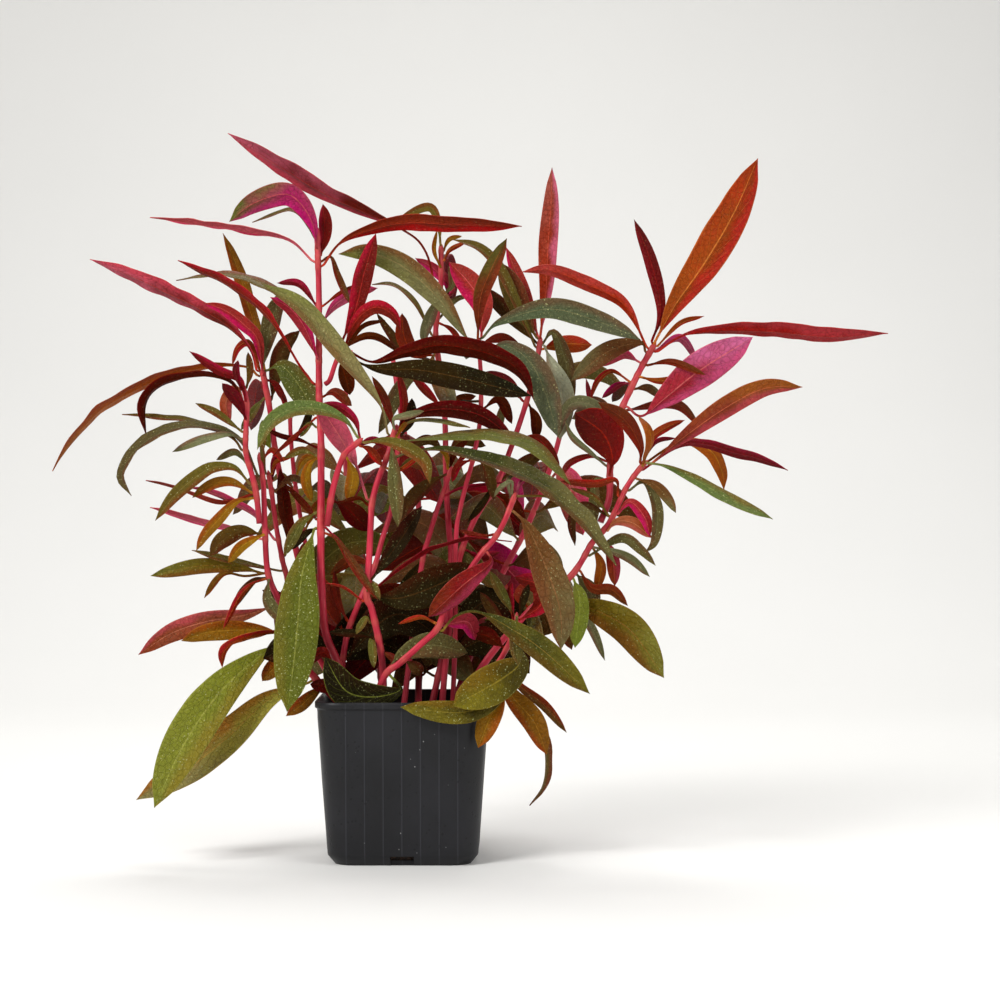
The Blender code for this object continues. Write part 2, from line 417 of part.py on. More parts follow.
    Leaf("stem_low_right", [(517, 614), (500, 590), (490, 571)], 5.5, 8, UPPER, "green"),
    Leaf("stem_low_right", [(517, 614), (524, 598), (529, 584)], 4.5, 10, UPPER, "dark_green"),
    Leaf("stem_low_right", [(517, 616), (510, 596), (512, 582)], 4.0, 2, UNDER, "crimson"),
    Leaf("stem_low_right", [(517, 616), (540, 606), (540, 586), (514, 577)],
         11.0, -6, UNDER, "crimson"),
    Leaf("stem_low_right", [(515, 624), (500, 620), (480, 592)], 6.0, -2, UPPER, "olive_dark"),
    Leaf("stem_low_right", [(505, 650), (524, 640), (545, 640)], 5.0, -8, UNDER, "crimson"),
    Leaf("stem_low_right", [(505, 650), (488, 636), (470, 632)], 9.0, -6, UNDER, "maroon"),
    Leaf("stem_low_right", [(490, 675), (502, 692), (465, 712), (400, 707)],
         12.5, 28, UPPER, "yellow_green", 0.05, None, 13),
    Leaf("stem_low_right", [(486, 690), (500, 694), (489, 720), (478, 748)],
         12.0, 20, UPPER, "gold", 0.2, None, 8),
    Leaf("stem_low_right", [(495, 667), (512, 696), (534, 722), (547, 755)], 12.5, 5, UPPER, "gold"),
    Leaf("stem_low_right", [(498, 662), (520, 686), (545, 706), (567, 733)], 5.5, -6, UPPER, "brown"),
    Leaf("stem_low_right", [(500, 660), (530, 700), (546, 745), (545, 782), (530, 806)],
         5.0, -14, UPPER, "olive", 0.3),
    # Right stem
    Leaf("stem_right", [(600, 535), (612, 556), (615, 586)], 7.5, -4, UNDER, "rose"),
    Leaf("stem_right", [(571, 575), (580, 602), (575, 648)], 10.5, 12, UPPER, "fresh_green"),
    Leaf("stem_right", [(574, 570), (588, 588), (598, 607)], 9.5, -8, UPPER, "grey_green"),
    Leaf("stem_right", [(568, 578), (583, 612), (595, 635), (605, 661)], 5.0, -6, UPPER, "pale"),
    Leaf("stem_right", [(576, 567), (592, 588), (612, 590), (628, 606)], 6.0, -2, UNDER, "brown"),
    Leaf("stem_right", [(590, 547), (612, 551), (632, 560), (650, 577)], 5.0, 6, UPPER, "pale"),
    Leaf("stem_right", [(590, 547), (601, 566), (596, 592)], 6.0, -8, UNDER, "gold"),
    Leaf("stem_right", [(585, 553), (621, 538), (641, 550), (656, 566)],
         5.5, 16, UPPER, "grey_green", 0.1, None, 8),
    Leaf("stem_right", [(604, 530), (616, 522), (633, 523), (652, 538)], 6.5, 8, UNDER, "salmon"),
    Leaf("stem_right", [(612, 517), (595, 498), (570, 488)], 3.2, 12, UPPER, "olive"),
    Leaf("stem_right", [(612, 517), (585, 505), (572, 520), (575, 546)], 5.0, -6, UPPER, "olive_dark"),
    Leaf("stem_right", [(614, 512), (630, 502), (645, 518), (650, 537)], 6.5, 4, UNDER, "magenta"),
    Leaf("stem_right", [(625, 490), (645, 482), (657, 508), (655, 540), (645, 553)],
         6.5, 10, UPPER, "grey_green"),
    Leaf("stem_right", [(634, 476), (655, 485), (668, 499), (676, 513)], 6.0, 16, UPPER, "brown_olive"),
    Leaf("stem_right", [(620, 498), (616, 480), (595, 484), (560, 481)], 4.2, 16, UNDER, "crimson"),
    Leaf("stem_right", [(643, 465), (640, 446), (625, 420), (598, 402)], 8.5, 14, UNDER, "brown"),
    Leaf("stem_right", [(645, 463), (652, 438), (667, 427), (685, 420)], 4.8, -2, UNDER, "orange_red"),
    Leaf("stem_right", [(645, 462), (650, 442), (647, 426), (638, 416)], 3.8, 8, UNDER, "gold"),
    Leaf("stem_right", [(646, 462), (656, 442), (676, 438)], 2.4, -12, UNDER, "crimson"),
    Leaf("stem_right", [(644, 464), (680, 444), (705, 443), (732, 451), (760, 458), (788, 470)],
         4.8, -10, UNDER, "crimson"),
    Leaf("stem_right", [(643, 466), (680, 442), (709, 450), (721, 470), (724, 490)],
         8.0, -20, UNDER, "gold", 0.4),
    Leaf("stem_right", [(545, 598), (560, 620), (572, 650)], 8.0, 4, UPPER, "olive_dark"),
    Leaf("stem_right", [(530, 610), (520, 596), (532, 580)], 7.0, -10, UNDER, "deep_red"),
    # Upper branch of the right stem
    Leaf("stem_right_upper", [(655, 344), (661, 310), (651, 262), (634, 219)],
         7.5, -12, UNDER, "deep_red"),
    Leaf("stem_right_upper", [(655, 346), (680, 323), (704, 316)], 2.4, -8, UNDER, "orange_red"),
    Leaf("stem_right_upper", [(655, 347), (680, 338), (698, 362)], 4.8, -18, UNDER, "pink"),
    Leaf("stem_right_upper", [(652, 351), (640, 343), (607, 352), (571, 381)],
         11.0, 8, UPPER, "brown_olive"),
    Leaf("stem_right_upper", [(643, 365), (622, 354), (598, 366)], 6.5, -12, UNDER, "pink"),
    Leaf("stem_right_upper", [(643, 364), (672, 362), (706, 375)], 4.2, 18, UNDER, "brown"),
    Leaf("stem_right_upper", [(638, 375), (660, 381), (686, 377)], 4.2, 8, UNDER, "orange_red"),
    Leaf("stem_right_upper", [(634, 382), (612, 371), (598, 380), (590, 400)],
         2.8, -4, UNDER, "orange_red"),
    Leaf("stem_right_upper", [(634, 384), (618, 385), (602, 398)], 4.2, -14, UNDER, "magenta"),
    Leaf("stem_right_upper", [(630, 392), (626, 384), (612, 402)], 6.0, -22, UPPER, "olive_dark"),
    Leaf("stem_right_upper", [(632, 388), (648, 388), (663, 398)], 5.0, -16, UPPER, "brown_olive"),
    Leaf("stem_right_upper", [(622, 408), (675, 404), (700, 426)], 6.0, -24, UNDER, "brown"),
    Leaf("stem_right_upper", [(612, 447), (622, 438), (602, 412), (580, 402), (565, 411), (558, 438)],
         7.5, 26, UPPER, "pale"),
    Leaf("stem_right_upper", [(611, 465), (590, 452), (572, 437), (565, 420)],
         3.5, 20, UPPER, "pale"),
    Leaf("stem_right_upper", [(610, 468), (590, 456), (570, 463), (560, 479)],
         3.8, 10, UNDER, "crimson"),
    Leaf("stem_right_upper", [(610, 482), (596, 480), (594, 505), (590, 536)],
         6.5, 4, UPPER, "grey_green"),
    Leaf("stem_right_upper", [(612, 440), (594, 424), (590, 398), (586, 378)],
         3.0, -14, UNDER, "crimson"),
    # Left outer stem and its curved branch
    Leaf("stem_outer_left", [(259, 456), (263, 442), (266, 428)], 3.8, 2, UPPER, "green"),
    Leaf("stem_outer_left", [(260, 458), (272, 450), (284, 462)], 3.4, 6, UNDER, "crimson"),
    Leaf("stem_outer_left", [(263, 478), (240, 440), (205, 426), (165, 431), (135, 450), (121, 475),
                             (131, 496)], 4.8, 22, UPPER, "grey_green"),
    Leaf("stem_outer_left", [(265, 532), (240, 532), (222, 541), (210, 556)],
         9.5, 10, UPPER, "olive_dark"),
    Leaf("stem_outer_left", [(265, 534), (242, 546), (228, 563)], 6.0, 16, UPPER, "gold"),
    Leaf("stem_outer_left", [(265, 537), (235, 530), (200, 522), (150, 507)], 3.8, -8, UNDER, "pink"),
    Leaf("stem_outer_left", [(268, 573), (240, 568), (200, 566), (150, 576)],
         8.5, 6, UPPER, "olive_orange"),
    Leaf("stem_outer_left", [(268, 573), (245, 576), (222, 574), (204, 598)],
         4.2, -8, UPPER, "gold", 0.4),
    Leaf("stem_outer_left", [(269, 574), (250, 585), (237, 600), (223, 629)],
         3.4, 10, UNDER, "orange_red"),
    Leaf("stem_outer_left", [(270, 577), (268, 600), (285, 625)], 7.0, 14, UPPER, "grey_green"),
    Leaf("stem_outer_left", [(270, 577), (255, 580), (243, 592), (233, 609)],
         4.8, 2, UPPER, "olive_dark"),
    Leaf("stem_outer_left", [(281, 606), (245, 615), (205, 622), (170, 634), (138, 655)],
         11.5, 2, UPPER, "salmon"),
    Leaf("stem_outer_left", [(289, 630), (255, 630), (210, 632), (181, 641)],
         10.5, 18, UPPER, "gold"),
    Leaf("stem_outer_left", [(290, 634), (240, 640), (224, 650), (222, 668)],
         4.0, 8, UNDER, "orange_red"),
    Leaf("stem_outer_left", [(297, 652), (282, 660), (262, 681)], 9.5, 10, UPPER, "gold"),
    Leaf("stem_curved_left", [(247, 408), (235, 385), (215, 376), (190, 376), (160, 384), (143, 404),
                              (146, 436)], 3.0, -6, UNDER, "maroon"),
    Leaf("stem_curved_left", [(247, 403), (240, 380), (218, 370), (189, 351)],
         5.0, 10, UNDER, "crimson"),
    Leaf("stem_curved_left", [(246, 420), (238, 402), (222, 383)], 7.0, 14, UNDER, "deep_red"),
    Leaf("stem_curved_left", [(247, 408), (236, 390), (226, 402), (229, 425)],
         7.0, -4, UNDER, "salmon"),
    Leaf("stem_curved_left", [(244, 388), (236, 372), (238, 360)], 4.0, 0, UNDER, "crimson"),
    Leaf("stem_curved_left", [(244, 388), (250, 372), (248, 352)], 4.0, -8, UPPER, "olive_dark"),
    Leaf("stem_curved_left", [(246, 432), (232, 424), (215, 412), (195, 403)],
         4.2, -6, UPPER, "olive"),
    Leaf("stem_curved_left", [(246, 440), (228, 434), (200, 440), (172, 452)],
         5.0, -20, UPPER, "pale"),
    Leaf("stem_curved_left", [(246, 450), (230, 436), (190, 421), (155, 417), (122, 414)],
         3.8, -4, UPPER, "olive"),
    Leaf("stem_curved_left", [(249, 464), (235, 452), (216, 460)], 4.2, -12, UPPER, "grey_green"),
    Leaf("stem_curved_left", [(255, 484), (235, 468), (215, 467), (200, 474), (175, 495), (155, 521)],
         7.5, 20, UPPER, "olive"),
    Leaf("stem_curved_left", [(257, 492), (235, 483), (220, 482), (205, 488), (192, 498)],
         6.0, 8, UPPER, "gold"),
    Leaf("stem_curved_left", [(258, 497), (236, 502), (218, 520), (205, 535), (196, 551)],
         6.5, 20, UPPER, "gold"),
    Leaf("stem_curved_left", [(257, 493), (220, 503), (180, 489), (146, 480)],
         2.2, -10, UNDER, "crimson"),
    # Left inner, back and thin stems
    Leaf("stem_inner_left", [(279, 541), (255, 515), (230, 500), (210, 491), (186, 487)],
         3.4, 26, UNDER, "pink"),
    Leaf("stem_inner_left", [(285, 570), (262, 567), (240, 562), (215, 556), (192, 550)],
         3.4, 24, UPPER, "olive"),
    Leaf("stem_inner_left", [(282, 558), (290, 540), (284, 505), (280, 468)],
         8.0, -8, UNDER, "maroon"),
    Leaf("stem_inner_left", [(269, 474), (263, 460), (261, 440)], 3.0, 2, UPPER, "olive"),
    Leaf("stem_inner_left", [(269, 474), (276, 462), (292, 457)], 2.6, 6, UNDER, "orange_red"),
    Leaf("stem_inner_left", [(270, 482), (274, 462), (280, 448)], 3.6, -4, UNDER, "crimson"),
    Leaf("stem_inner_left", [(272, 492), (292, 478), (308, 486)], 4.2, -8, UPPER, "brown_olive"),
    Leaf("stem_inner_left", [(288, 580), (300, 560), (304, 542)], 5.0, -6, UNDER, "brown"),
    Leaf("stem_inner_left", [(298, 614), (284, 600), (262, 590)], 6.0, -6, UPPER, "olive_dark"),
    Leaf("stem_back_left", [(262, 368), (266, 345), (273, 315), (285, 290)],
         10.5, 8, UPPER, "grey_green"),
    Leaf("stem_back_left", [(262, 368), (258, 335), (250, 310), (238, 270), (223, 233)],
         7.5, -6, UPPER, "gold"),
    Leaf("stem_back_left", [(262, 370), (258, 340), (245, 325), (225, 310), (203, 303)],
         7.5, 14, UNDER, "magenta"),
    Leaf("stem_back_left", [(262, 372), (250, 345), (238, 348), (232, 366)],
         4.0, -14, UNDER, "orange_red"),
    Leaf("stem_back_left", [(264, 378), (275, 384), (285, 402)], 4.2, -4, UNDER, "deep_red"),
    Leaf("stem_back_left", [(268, 398), (256, 408), (241, 430)], 5.0, 18, UPPER, "green"),
    Leaf("stem_back_left", [(276, 450), (266, 438), (262, 420)], 6.0, 6, UPPER, "fresh_green"),
    Leaf("stem_back_left", [(268, 400), (282, 352), (300, 330)], 10.0, -10, UPPER, "olive_dark"),
    Leaf("stem_back_left", [(290, 520), (275, 510), (266, 498)], 5.0, -10, UPPER, "brown_olive"),
    Leaf("stem_thin_left", [(290, 418), (284, 400), (277, 384)], 3.4, 2, UNDER, "crimson"),
    Leaf("stem_thin_left", [(290, 418), (297, 402), (296, 386)], 3.4, -4, UPPER, "olive"),
    Leaf("stem_thin_left", [(291, 440), (305, 425), (312, 404)], 4.5, -6, UPPER, "dark_green"),
    Leaf("stem_thin_left", [(294, 475), (304, 460), (318, 455)], 4.5, 8, UPPER, "gold"),
    Leaf("stem_thin_left", [(296, 490), (282, 476), (272, 482)], 4.0, -8, UPPER, "brown_olive"),
    Leaf("stem_thin_left", [(303, 530), (318, 505), (334, 500)], 5.0, 2, UPPER, "gold"),
]

# The dense part of the plant as the view shows it: (across, down) round its outline. A leaf grown
# by rule keeps behind it.
DENSE_OUTLINE = [
    (245, 610), (228, 520), (236, 420), (262, 372), (280, 310), (322, 262), (400, 250), (440, 246),
    (500, 262), (530, 300), (590, 325), (640, 352), (640, 400), (640, 470), (640, 520), (600, 566),
    (590, 620), (560, 652), (520, 690), (300, 690), (262, 660)]

# Leaves grown by rule, for the sides that the view hides. Each rule: the stems that carry its pairs
# of leaves; where the first and the last pair may sit and how far apart pairs are, in mm along the
# stem; the least and greatest length and width of a leaf in mm, and share of its length that it
# rises; how far it heads away from the view, from -1 to 1, at least; and its tones.
Rule = namedtuple("Rule", "stems first last step long wide rise away tones")
MIXED_TONES = ["olive_dark", "olive", "crimson", "green", "deep_red", "grey_green", "magenta",
               "brown_olive"]
DARK_TONES = ["dark_green", "olive_dark", "dark_green", "deep_red", "maroon", "brown_olive"]
UPPER_TONES = ["olive", "olive_dark", "green", "grey_green", "brown_olive", "dark_green"]
RULES = [
    Rule(["stem_rear_left", "stem_rear_middle", "stem_rear_right"],
         56, 150, 18, (56, 84), (15, 21), (0.0, 0.5), -1.0, MIXED_TONES),
    Rule(["stem_rear_left", "stem_rear_middle", "stem_rear_right", "stem_middle_back",
          "stem_behind_centre", "stem_middle_right"],
         8, 50, 12, (44, 70), (17, 24), (0.1, 1.1), -0.6, DARK_TONES),
    Rule(["stem_middle_back", "stem_thin_left", "stem_back_left", "stem_right_upper",
          "stem_middle_right", "stem_behind_centre"],
         60, 260, 60, (52, 88), (8, 12), (0.0, 0.5), 0.2, MIXED_TONES),
]
RULE_SEED = 7
RULE_TRIES = 14
TURN_SCATTER = 0.7
LEAST_DROOP, MOST_DROOP = 0.2, 0.9
TIP_REACH = 0.95
TIP_FALL = 0.7

# How far a leaf may be moved from its wanted lean, in mm, until it is clear of the others: the tip
# first, then the belly between base and tip
LEAN_TRIES = [(0, 0), (6, 0), (-6, 0), (0, 7), (0, -7), (12, 0), (-12, 0), (10, 8), (-10, -8),
              (18, 0), (-18, 0), (0, 14), (0, -14), (18, 12), (-18, -12), (26, 0), (-26, 0),
              (12, 20), (-12, -20), (36, 10), (-36, -10), (48, 0), (-48, 0), (30, 30), (-30, -30),
              (0, 22), (0, -22), (24, -18), (-24, 18), (60, 0), (-60, 0), (14, -10), (-14, 10)]

TONES = {
    "crimson": (0.36, 0.020, 0.028), "deep_red": (0.24, 0.014, 0.012), "magenta": (0.50, 0.030, 0.14),
    "pink": (0.56, 0.080, 0.16), "rose": (0.38, 0.060, 0.075), "orange_red": (0.46, 0.075, 0.025),
    "salmon": (0.45, 0.13, 0.07), "gold": (0.35, 0.16, 0.018), "olive": (0.16, 0.17, 0.045),
    "olive_dark": (0.075, 0.085, 0.022), "olive_orange": (0.24, 0.17, 0.03),
    "brown_olive": (0.15, 0.10, 0.03), "brown": (0.16, 0.045, 0.018), "green": (0.16, 0.22, 0.05),
    "fresh_green": (0.17, 0.30, 0.05), "dotted_green": (0.13, 0.21, 0.045),
    "green_dark_tip": (0.11, 0.16, 0.045), "yellow_green": (0.30, 0.30, 0.04),
    "grey_green": (0.10, 0.16, 0.085), "pale": (0.27, 0.27, 0.18), "khaki": (0.25, 0.22, 0.08),
    "dark_green": (0.025, 0.035, 0.012), "maroon": (0.06, 0.012, 0.010),
}
STEM_RED = (0.62, 0.045, 0.075)
POT_BLACK = (0.012, 0.012, 0.014)
MEDIUM_BROWN = (0.030, 0.020, 0.013)


def seen(across, down, depth_mm):
    """The point that the front view shows at these pixels, so far behind the pot's axis."""
    depth = depth_mm * MM
    scale = (depth - EYE.y) / -EYE.y / PIXELS_PER_METRE
    return Vector((EYE.x + (across - VIEW_MIDDLE) * scale, depth,
                   EYE.z + (VIEW_MIDDLE - down) * scale))


def sight_of(point):
    """The (across, down) pixels at which the front view shows a point."""
    scale = (point.y - EYE.y) / -EYE.y / PIXELS_PER_METRE
    return (VIEW_MIDDLE + (point.x - EYE.x) / scale, VIEW_MIDDLE - (point.z - EYE.z) / scale)


def smooth_line(points, steps=10):
    """A Catmull-Rom curve through the points, as many short straight pieces."""
    ends = [2 * points[0] - points[1]] + points + [2 * points[-1] - points[-2]]
    line = []
    for a, b, c, d in zip(ends, ends[1:], ends[2:], ends[3:]):
        for step in range(steps):
            t = step / steps
            line.append(0.5 * (2 * b + (c - a) * t + (2 * a - 5 * b + 4 * c - d) * t ** 2
                               + (3 * b - a - 3 * c + d) * t ** 3))
    return line + [points[-1]]


class Route:
    """A curved line that can be read at any distance along it."""

    def __init__(self, points):
        self.line = smooth_line(points)
        self.reach = [0.0]
        for a, b in zip(self.line, self.line[1:]):
            self.reach.append(self.reach[-1] + (b - a).length)
        self.length = self.reach[-1]
        self.across = self.carry(FIRST_ACROSS)

    def carry(self, first):
        """A sideways direction at each point, turned as little as can be from the one before."""
        carried = []
        for a, b in zip(self.line, self.line[1:]):
            heading = (b - a).normalized()
            first = (first - first.dot(heading) * heading).normalized()
            carried.append(first)
        return carried + [first]

    def place(self, distance):
        for i in range(1, len(self.line)):
            if distance <= self.reach[i]:
                part = (distance - self.reach[i - 1]) / max(self.reach[i] - self.reach[i - 1], TINY)
                return self.line[i - 1].lerp(self.line[i], part)
        return self.line[-1].copy()

    def heading(self, distance):
        near = min(max(distance, HEADING_HALF), self.length - HEADING_HALF)
        return (self.place(near + HEADING_HALF) - self.place(near - HEADING_HALF)).normalized()

    def sideways(self, distance, angle):
        """The direction square to the line at an angle round it."""
        low = max(i for i in range(len(self.reach)) if i == 0 or self.reach[i] <= distance)
        heading = self.heading(distance)
        across = self.across[low]
        across = (across - across.dot(heading) * heading).normalized()
        return across * math.cos(angle) + heading.cross(across) * math.sin(angle)

    def nearest(self, sight):
        """The distance along the line at which the front view shows it closest to these pixels."""
        def off(i):
            across, down = sight_of(self.line[i])
            return (across - sight[0]) ** 2 + (down - sight[1]) ** 2
        return self.reach[min(range(len(self.line)), key=off)]


def stem_routes():
    """The route of every stem; a fork starts just outside the stem that carries it."""
    routes = {}
    for name, stem in STEMS.items():
        points = [seen(*sight) for sight in stem.sights]
        if stem.parent:
            parent = routes[stem.parent]
            start = parent.place(parent.nearest(stem.sights[0][:2]))
            across = parent.heading(parent.nearest(stem.sights[0][:2]))
            aside = points[1] - start
            aside = (aside - aside.dot(across) * across).normalized()
            distance = (STEMS[stem.parent].thick * NODE_SWELL + stem.thick) / 2 * MM + TOUCH_GAP
            points[0] = start + aside * distance
            points[1] = points[1] + aside * distance * FORK_SHIFT_SHARE
        else:
            points.insert(0, Vector((stem.foot[0] * MM, stem.foot[1] * MM, STEM_FOOT_HEIGHT)))
        routes[name] = Route(points)
    return routes


def stem_radius(name, share):
    stem = STEMS[name]
    return (stem.thick + (stem.tip - stem.thick) * share) / 2 * MM


def blade_half_width(share, width, stalk):
    """Half of a lance-shaped blade's width at a share of its length."""
    along = max(0.0, (share - stalk) / (1 - stalk))
    fullest = BLADE_FULLEST * (1 - BLADE_FULLEST) ** BLADE_TAPER
    blade = along * (1 - along) ** BLADE_TAPER / fullest
    return max(STALK_HALF_WIDTH * (1 - along), width / 2 * blade)


class Blade:
    """One leaf in space: its midrib and, at any share of it, its sideways and upward directions."""

    def __init__(self, leaf, stem_route, seat, lean, belly):
        self.leaf = leaf
        self.seat = seat
        root = stem_route.place(seat.distance)
        depth = root.y / MM
        lengths = [0.0]
        for a, b in zip(leaf.sights, leaf.sights[1:]):
            lengths.append(lengths[-1] + math.dist(a, b))
        points = [root]
        for sight, length in zip(leaf.sights[1:], lengths[1:]):
            share = length / lengths[-1]
            points.append(seen(*sight, depth - lean * share - belly * 4 * share * (1 - share)))
        out = stem_route.sideways(seat.distance, math.tau * (seat.side + 0.5) / STEM_SIDES)
        self.out = out
        radius = stem_radius(leaf.stem, seat.distance / stem_route.length) * NODE_SWELL
        if leaf.name:
            steep = out.cross((points[1] - root).normalized()).length
            radius += TOUCH_GAP + STALK_HALF_WIDTH * steep
        points[0] = root + out * radius
        self.route = Route(points)
        self.length = self.route.length
        self.width = max(leaf.shown * MM, self.length / MOST_SLENDER)
        self.normals = self.set_normals()

    def set_normals(self):
        """Upward directions at even shares: natural at the middle, rolled about the midrib until
        the view shows the wanted width and face, and carried along the midrib without twist."""
        headings = [self.route.heading(self.length * i / (FRAME_COUNT - 1)) for i in range(FRAME_COUNT)]
        middle = headings[FRAME_COUNT // 2]
        natural = UP - UP.dot(middle) * middle
        if natural.length < UPRIGHT:
            natural = self.out - self.out.dot(middle) * middle
        natural.normalize()
        side = middle.cross(natural)
        drawn = middle - middle.dot(TOWARD_EYE) * TOWARD_EYE
        drawn = drawn.normalized() if drawn.length > TINY else Vector((1, 0, 0))

        def cost(degrees):
            turn = math.radians(degrees)
            normal = natural * math.cos(turn) + side * math.sin(turn)
            edge = middle.cross(normal)
            flat = edge - edge.dot(TOWARD_EYE) * TOWARD_EYE
            shown = self.width * (flat - flat.dot(drawn) * drawn).length
            wrong = normal.dot(TOWARD_EYE) * self.leaf.face < -FACE_SLACK
            missed = abs(shown - self.leaf.shown * MM) / self.width
            return missed + abs(degrees) * ROLL_COST + WRONG_FACE_COST * wrong

        best = math.radians(min(range(ROLL_STEP - 180, 181, ROLL_STEP), key=cost))
        normals = [None] * FRAME_COUNT
        normals[FRAME_COUNT // 2] = natural * math.cos(best) + side * math.sin(best)
        for step in (1, -1):
            i = FRAME_COUNT // 2
            while 0 <= i + step < FRAME_COUNT:
                turn = headings[i].rotation_difference(headings[i + step])
                normals[i + step] = turn @ normals[i]
                i += step
        return normals

    def frame(self, share):
        """Place, sideways and upward directions at a share of the length."""
        place = self.route.place(share * self.length)
        heading = self.route.heading(share * self.length)
        spot = share * (len(self.normals) - 1)
        low = min(int(spot), len(self.normals) - 2)
        normal = self.normals[low].lerp(self.normals[low + 1], spot - low)
        normal = (normal - normal.dot(heading) * heading).normalized()
        return place, heading.cross(normal), normal

    def ring(self, share, spare=0.0):
        """Four corners round the blade: ridge, right edge, underside, left edge."""
        place, side, up = self.frame(share)
        half = blade_half_width(share, self.width, self.leaf.stalk) + spare
        rise = up * half * math.sin(LEAF_FOLD)
        reach = side * half * math.cos(LEAF_FOLD)
        thick = up * (LEAF_THICKNESS / 2 * (THICK_AT_BASE - THINNING * share) + spare)
        return [place + thick, place + reach + rise, place - thick, place - reach + rise]

    def shares(self, first):
        """Where the rings of this blade lie; a long or bent blade has more of them."""
        straight = (self.route.place(self.length) - self.route.place(0)).length / self.length
        if self.leaf.name:
            inner = LARGE_RINGS
        elif straight > SPIKE_STRAIGHT and self.length < SHORT_BLADE and self.width < NARROW_BLADE:
            inner = []
        else:
            inner = next(rings for least, rings in SMALL_RINGS if straight > least)
        return ([0.0] if first else []) + inner

    def rings(self, first=True, spare=0.0):
        return [self.ring(share, spare) for share in self.shares(first)]

    def tip(self):
        return self.route.place(self.length)


def grow(bm, face, ring):
    """Extrude a face and lay its corners on the ring's points."""
    end = bmesh.ops.extrude_discrete_faces(bm, faces=[face])["faces"][0]
    for corner, place in zip(end.verts, ring):
        corner.co = place
    return end


def draw_together(bm, face, place):
    """Extrude a face and draw its corners together at a place."""
    end = bmesh.ops.extrude_discrete_faces(bm, faces=[face])["faces"][0]
    bmesh.ops.pointmerge(bm, verts=list(end.verts), merge_co=place)


def start_face(bm, ring):
    """A first face with its corners on the ring's points."""
    bmesh.ops.create_circle(bm, cap_ends=True, radius=1, segments=len(ring))
    bm.faces.ensure_lookup_table()
    face = bm.faces[-1]
    for corner, place in zip(face.verts, ring):
        corner.co = place
    return face


def split_sides(bm, old, new):
    """Cut the four sides between two rings of a blade along lines that start at its edges."""
    for i, j in ((1, 0), (1, 2), (3, 0), (3, 2)):
        shared = set(old[i].link_faces) & set(new[j].link_faces)
        for face in shared:
            if len(face.verts) == 4:
                bmesh.utils.face_split(face, old[i], new[j])


def grow_blade(bm, face, rings, tip, shift=0):
    """Extrude a face through a blade's rings and draw the end together at its tip. The rings'
    corners may be listed so many places on from the ridge."""
    for ring in rings:
        old = list(face.verts)
        face = grow(bm, face, ring)
        new = list(face.verts)
        split_sides(bm, old[-shift:] + old[:-shift], new[-shift:] + new[:-shift])
    draw_together(bm, face, tip)


def turned(face, rings):
    """The rings with their corners listed from the one that lies closest to the face's first, and
    how many places that is on from the ridge."""
    if not rings:
        return rings, 0
    corners = [corner.co for corner in face.verts]

    def off(i):
        return sum((a - b).length for a, b in zip(corners, rings[0][i:] + rings[0][:i]))
    shift = min(range(4), key=off)
    return [ring[shift:] + ring[:shift] for ring in rings], shift


def free_blade(blade):
    """A blade by itself, closed at its base."""
    bm = bmesh.new()
    rings = blade.rings()
    grow_blade(bm, start_face(bm, rings[0]), rings[1:], blade.tip())
    close(bm)
    return bm


def trial_blade(blade, stem_route, beyond):
    """A blade a little too thick, for testing what it would touch: from the stem's side on, or
    only its part beyond the first ring."""
    bm = bmesh.new()
    rings = blade.rings(first=bool(blade.leaf.name) and not beyond, spare=CLEARANCE)
    if beyond and not rings:
        rings = [blade.ring(1 / 2, CLEARANCE)]
    if beyond or blade.leaf.name:
        face = start_face(bm, rings.pop(0))
        shift = 0
    else:
        corners = side_corners(blade.leaf.stem, stem_route, blade.seat)
        middle = sum(corners, Vector()) / 4
        face = start_face(bm, [middle.lerp(corner, TRIAL_BASE_SHARE) for corner in corners])
        rings, shift = turned(face, rings)
    grow_blade(bm, face, rings, blade.tip(), shift)
    close(bm)
    return bm


def close(bm):
    open_edges = [edge for edge in bm.edges if edge.is_boundary]
    bmesh.ops.holes_fill(bm, edges=open_edges, sides=0)
    bmesh.ops.recalc_face_normals(bm, faces=bm.faces)
    if bm.calc_volume(signed=True) < 0:
        bmesh.ops.reverse_faces(bm, faces=bm.faces)


def stem_ring(name, route, distance, swell):
    """Points round a stem. The ring at the foot of a rooted stem lies flat on the medium."""
    place = route.place(distance)
    radius = stem_radius(name, distance / route.length) * swell
    ring = []
    for i in range(STEM_SIDES):
        aside = route.sideways(distance, math.tau * i / STEM_SIDES) * radius
        if distance == 0 and STEMS[name].foot is not None:
            aside.z = 0
        ring.append(place + aside)
    return ring


def side_corners(name, route, seat):
    """The corners of the side of a stem's node that a leaf grows from, anticlockwise from
    outside."""
    low = stem_ring(name, route, seat.distance - NODE_HALF, 1.0)
    high = stem_ring(name, route, seat.distance + NODE_HALF, NODE_SWELL)
    i, j = seat.side, (seat.side + 1) % STEM_SIDES
    return [low[i], low[j], high[j], high[i]]


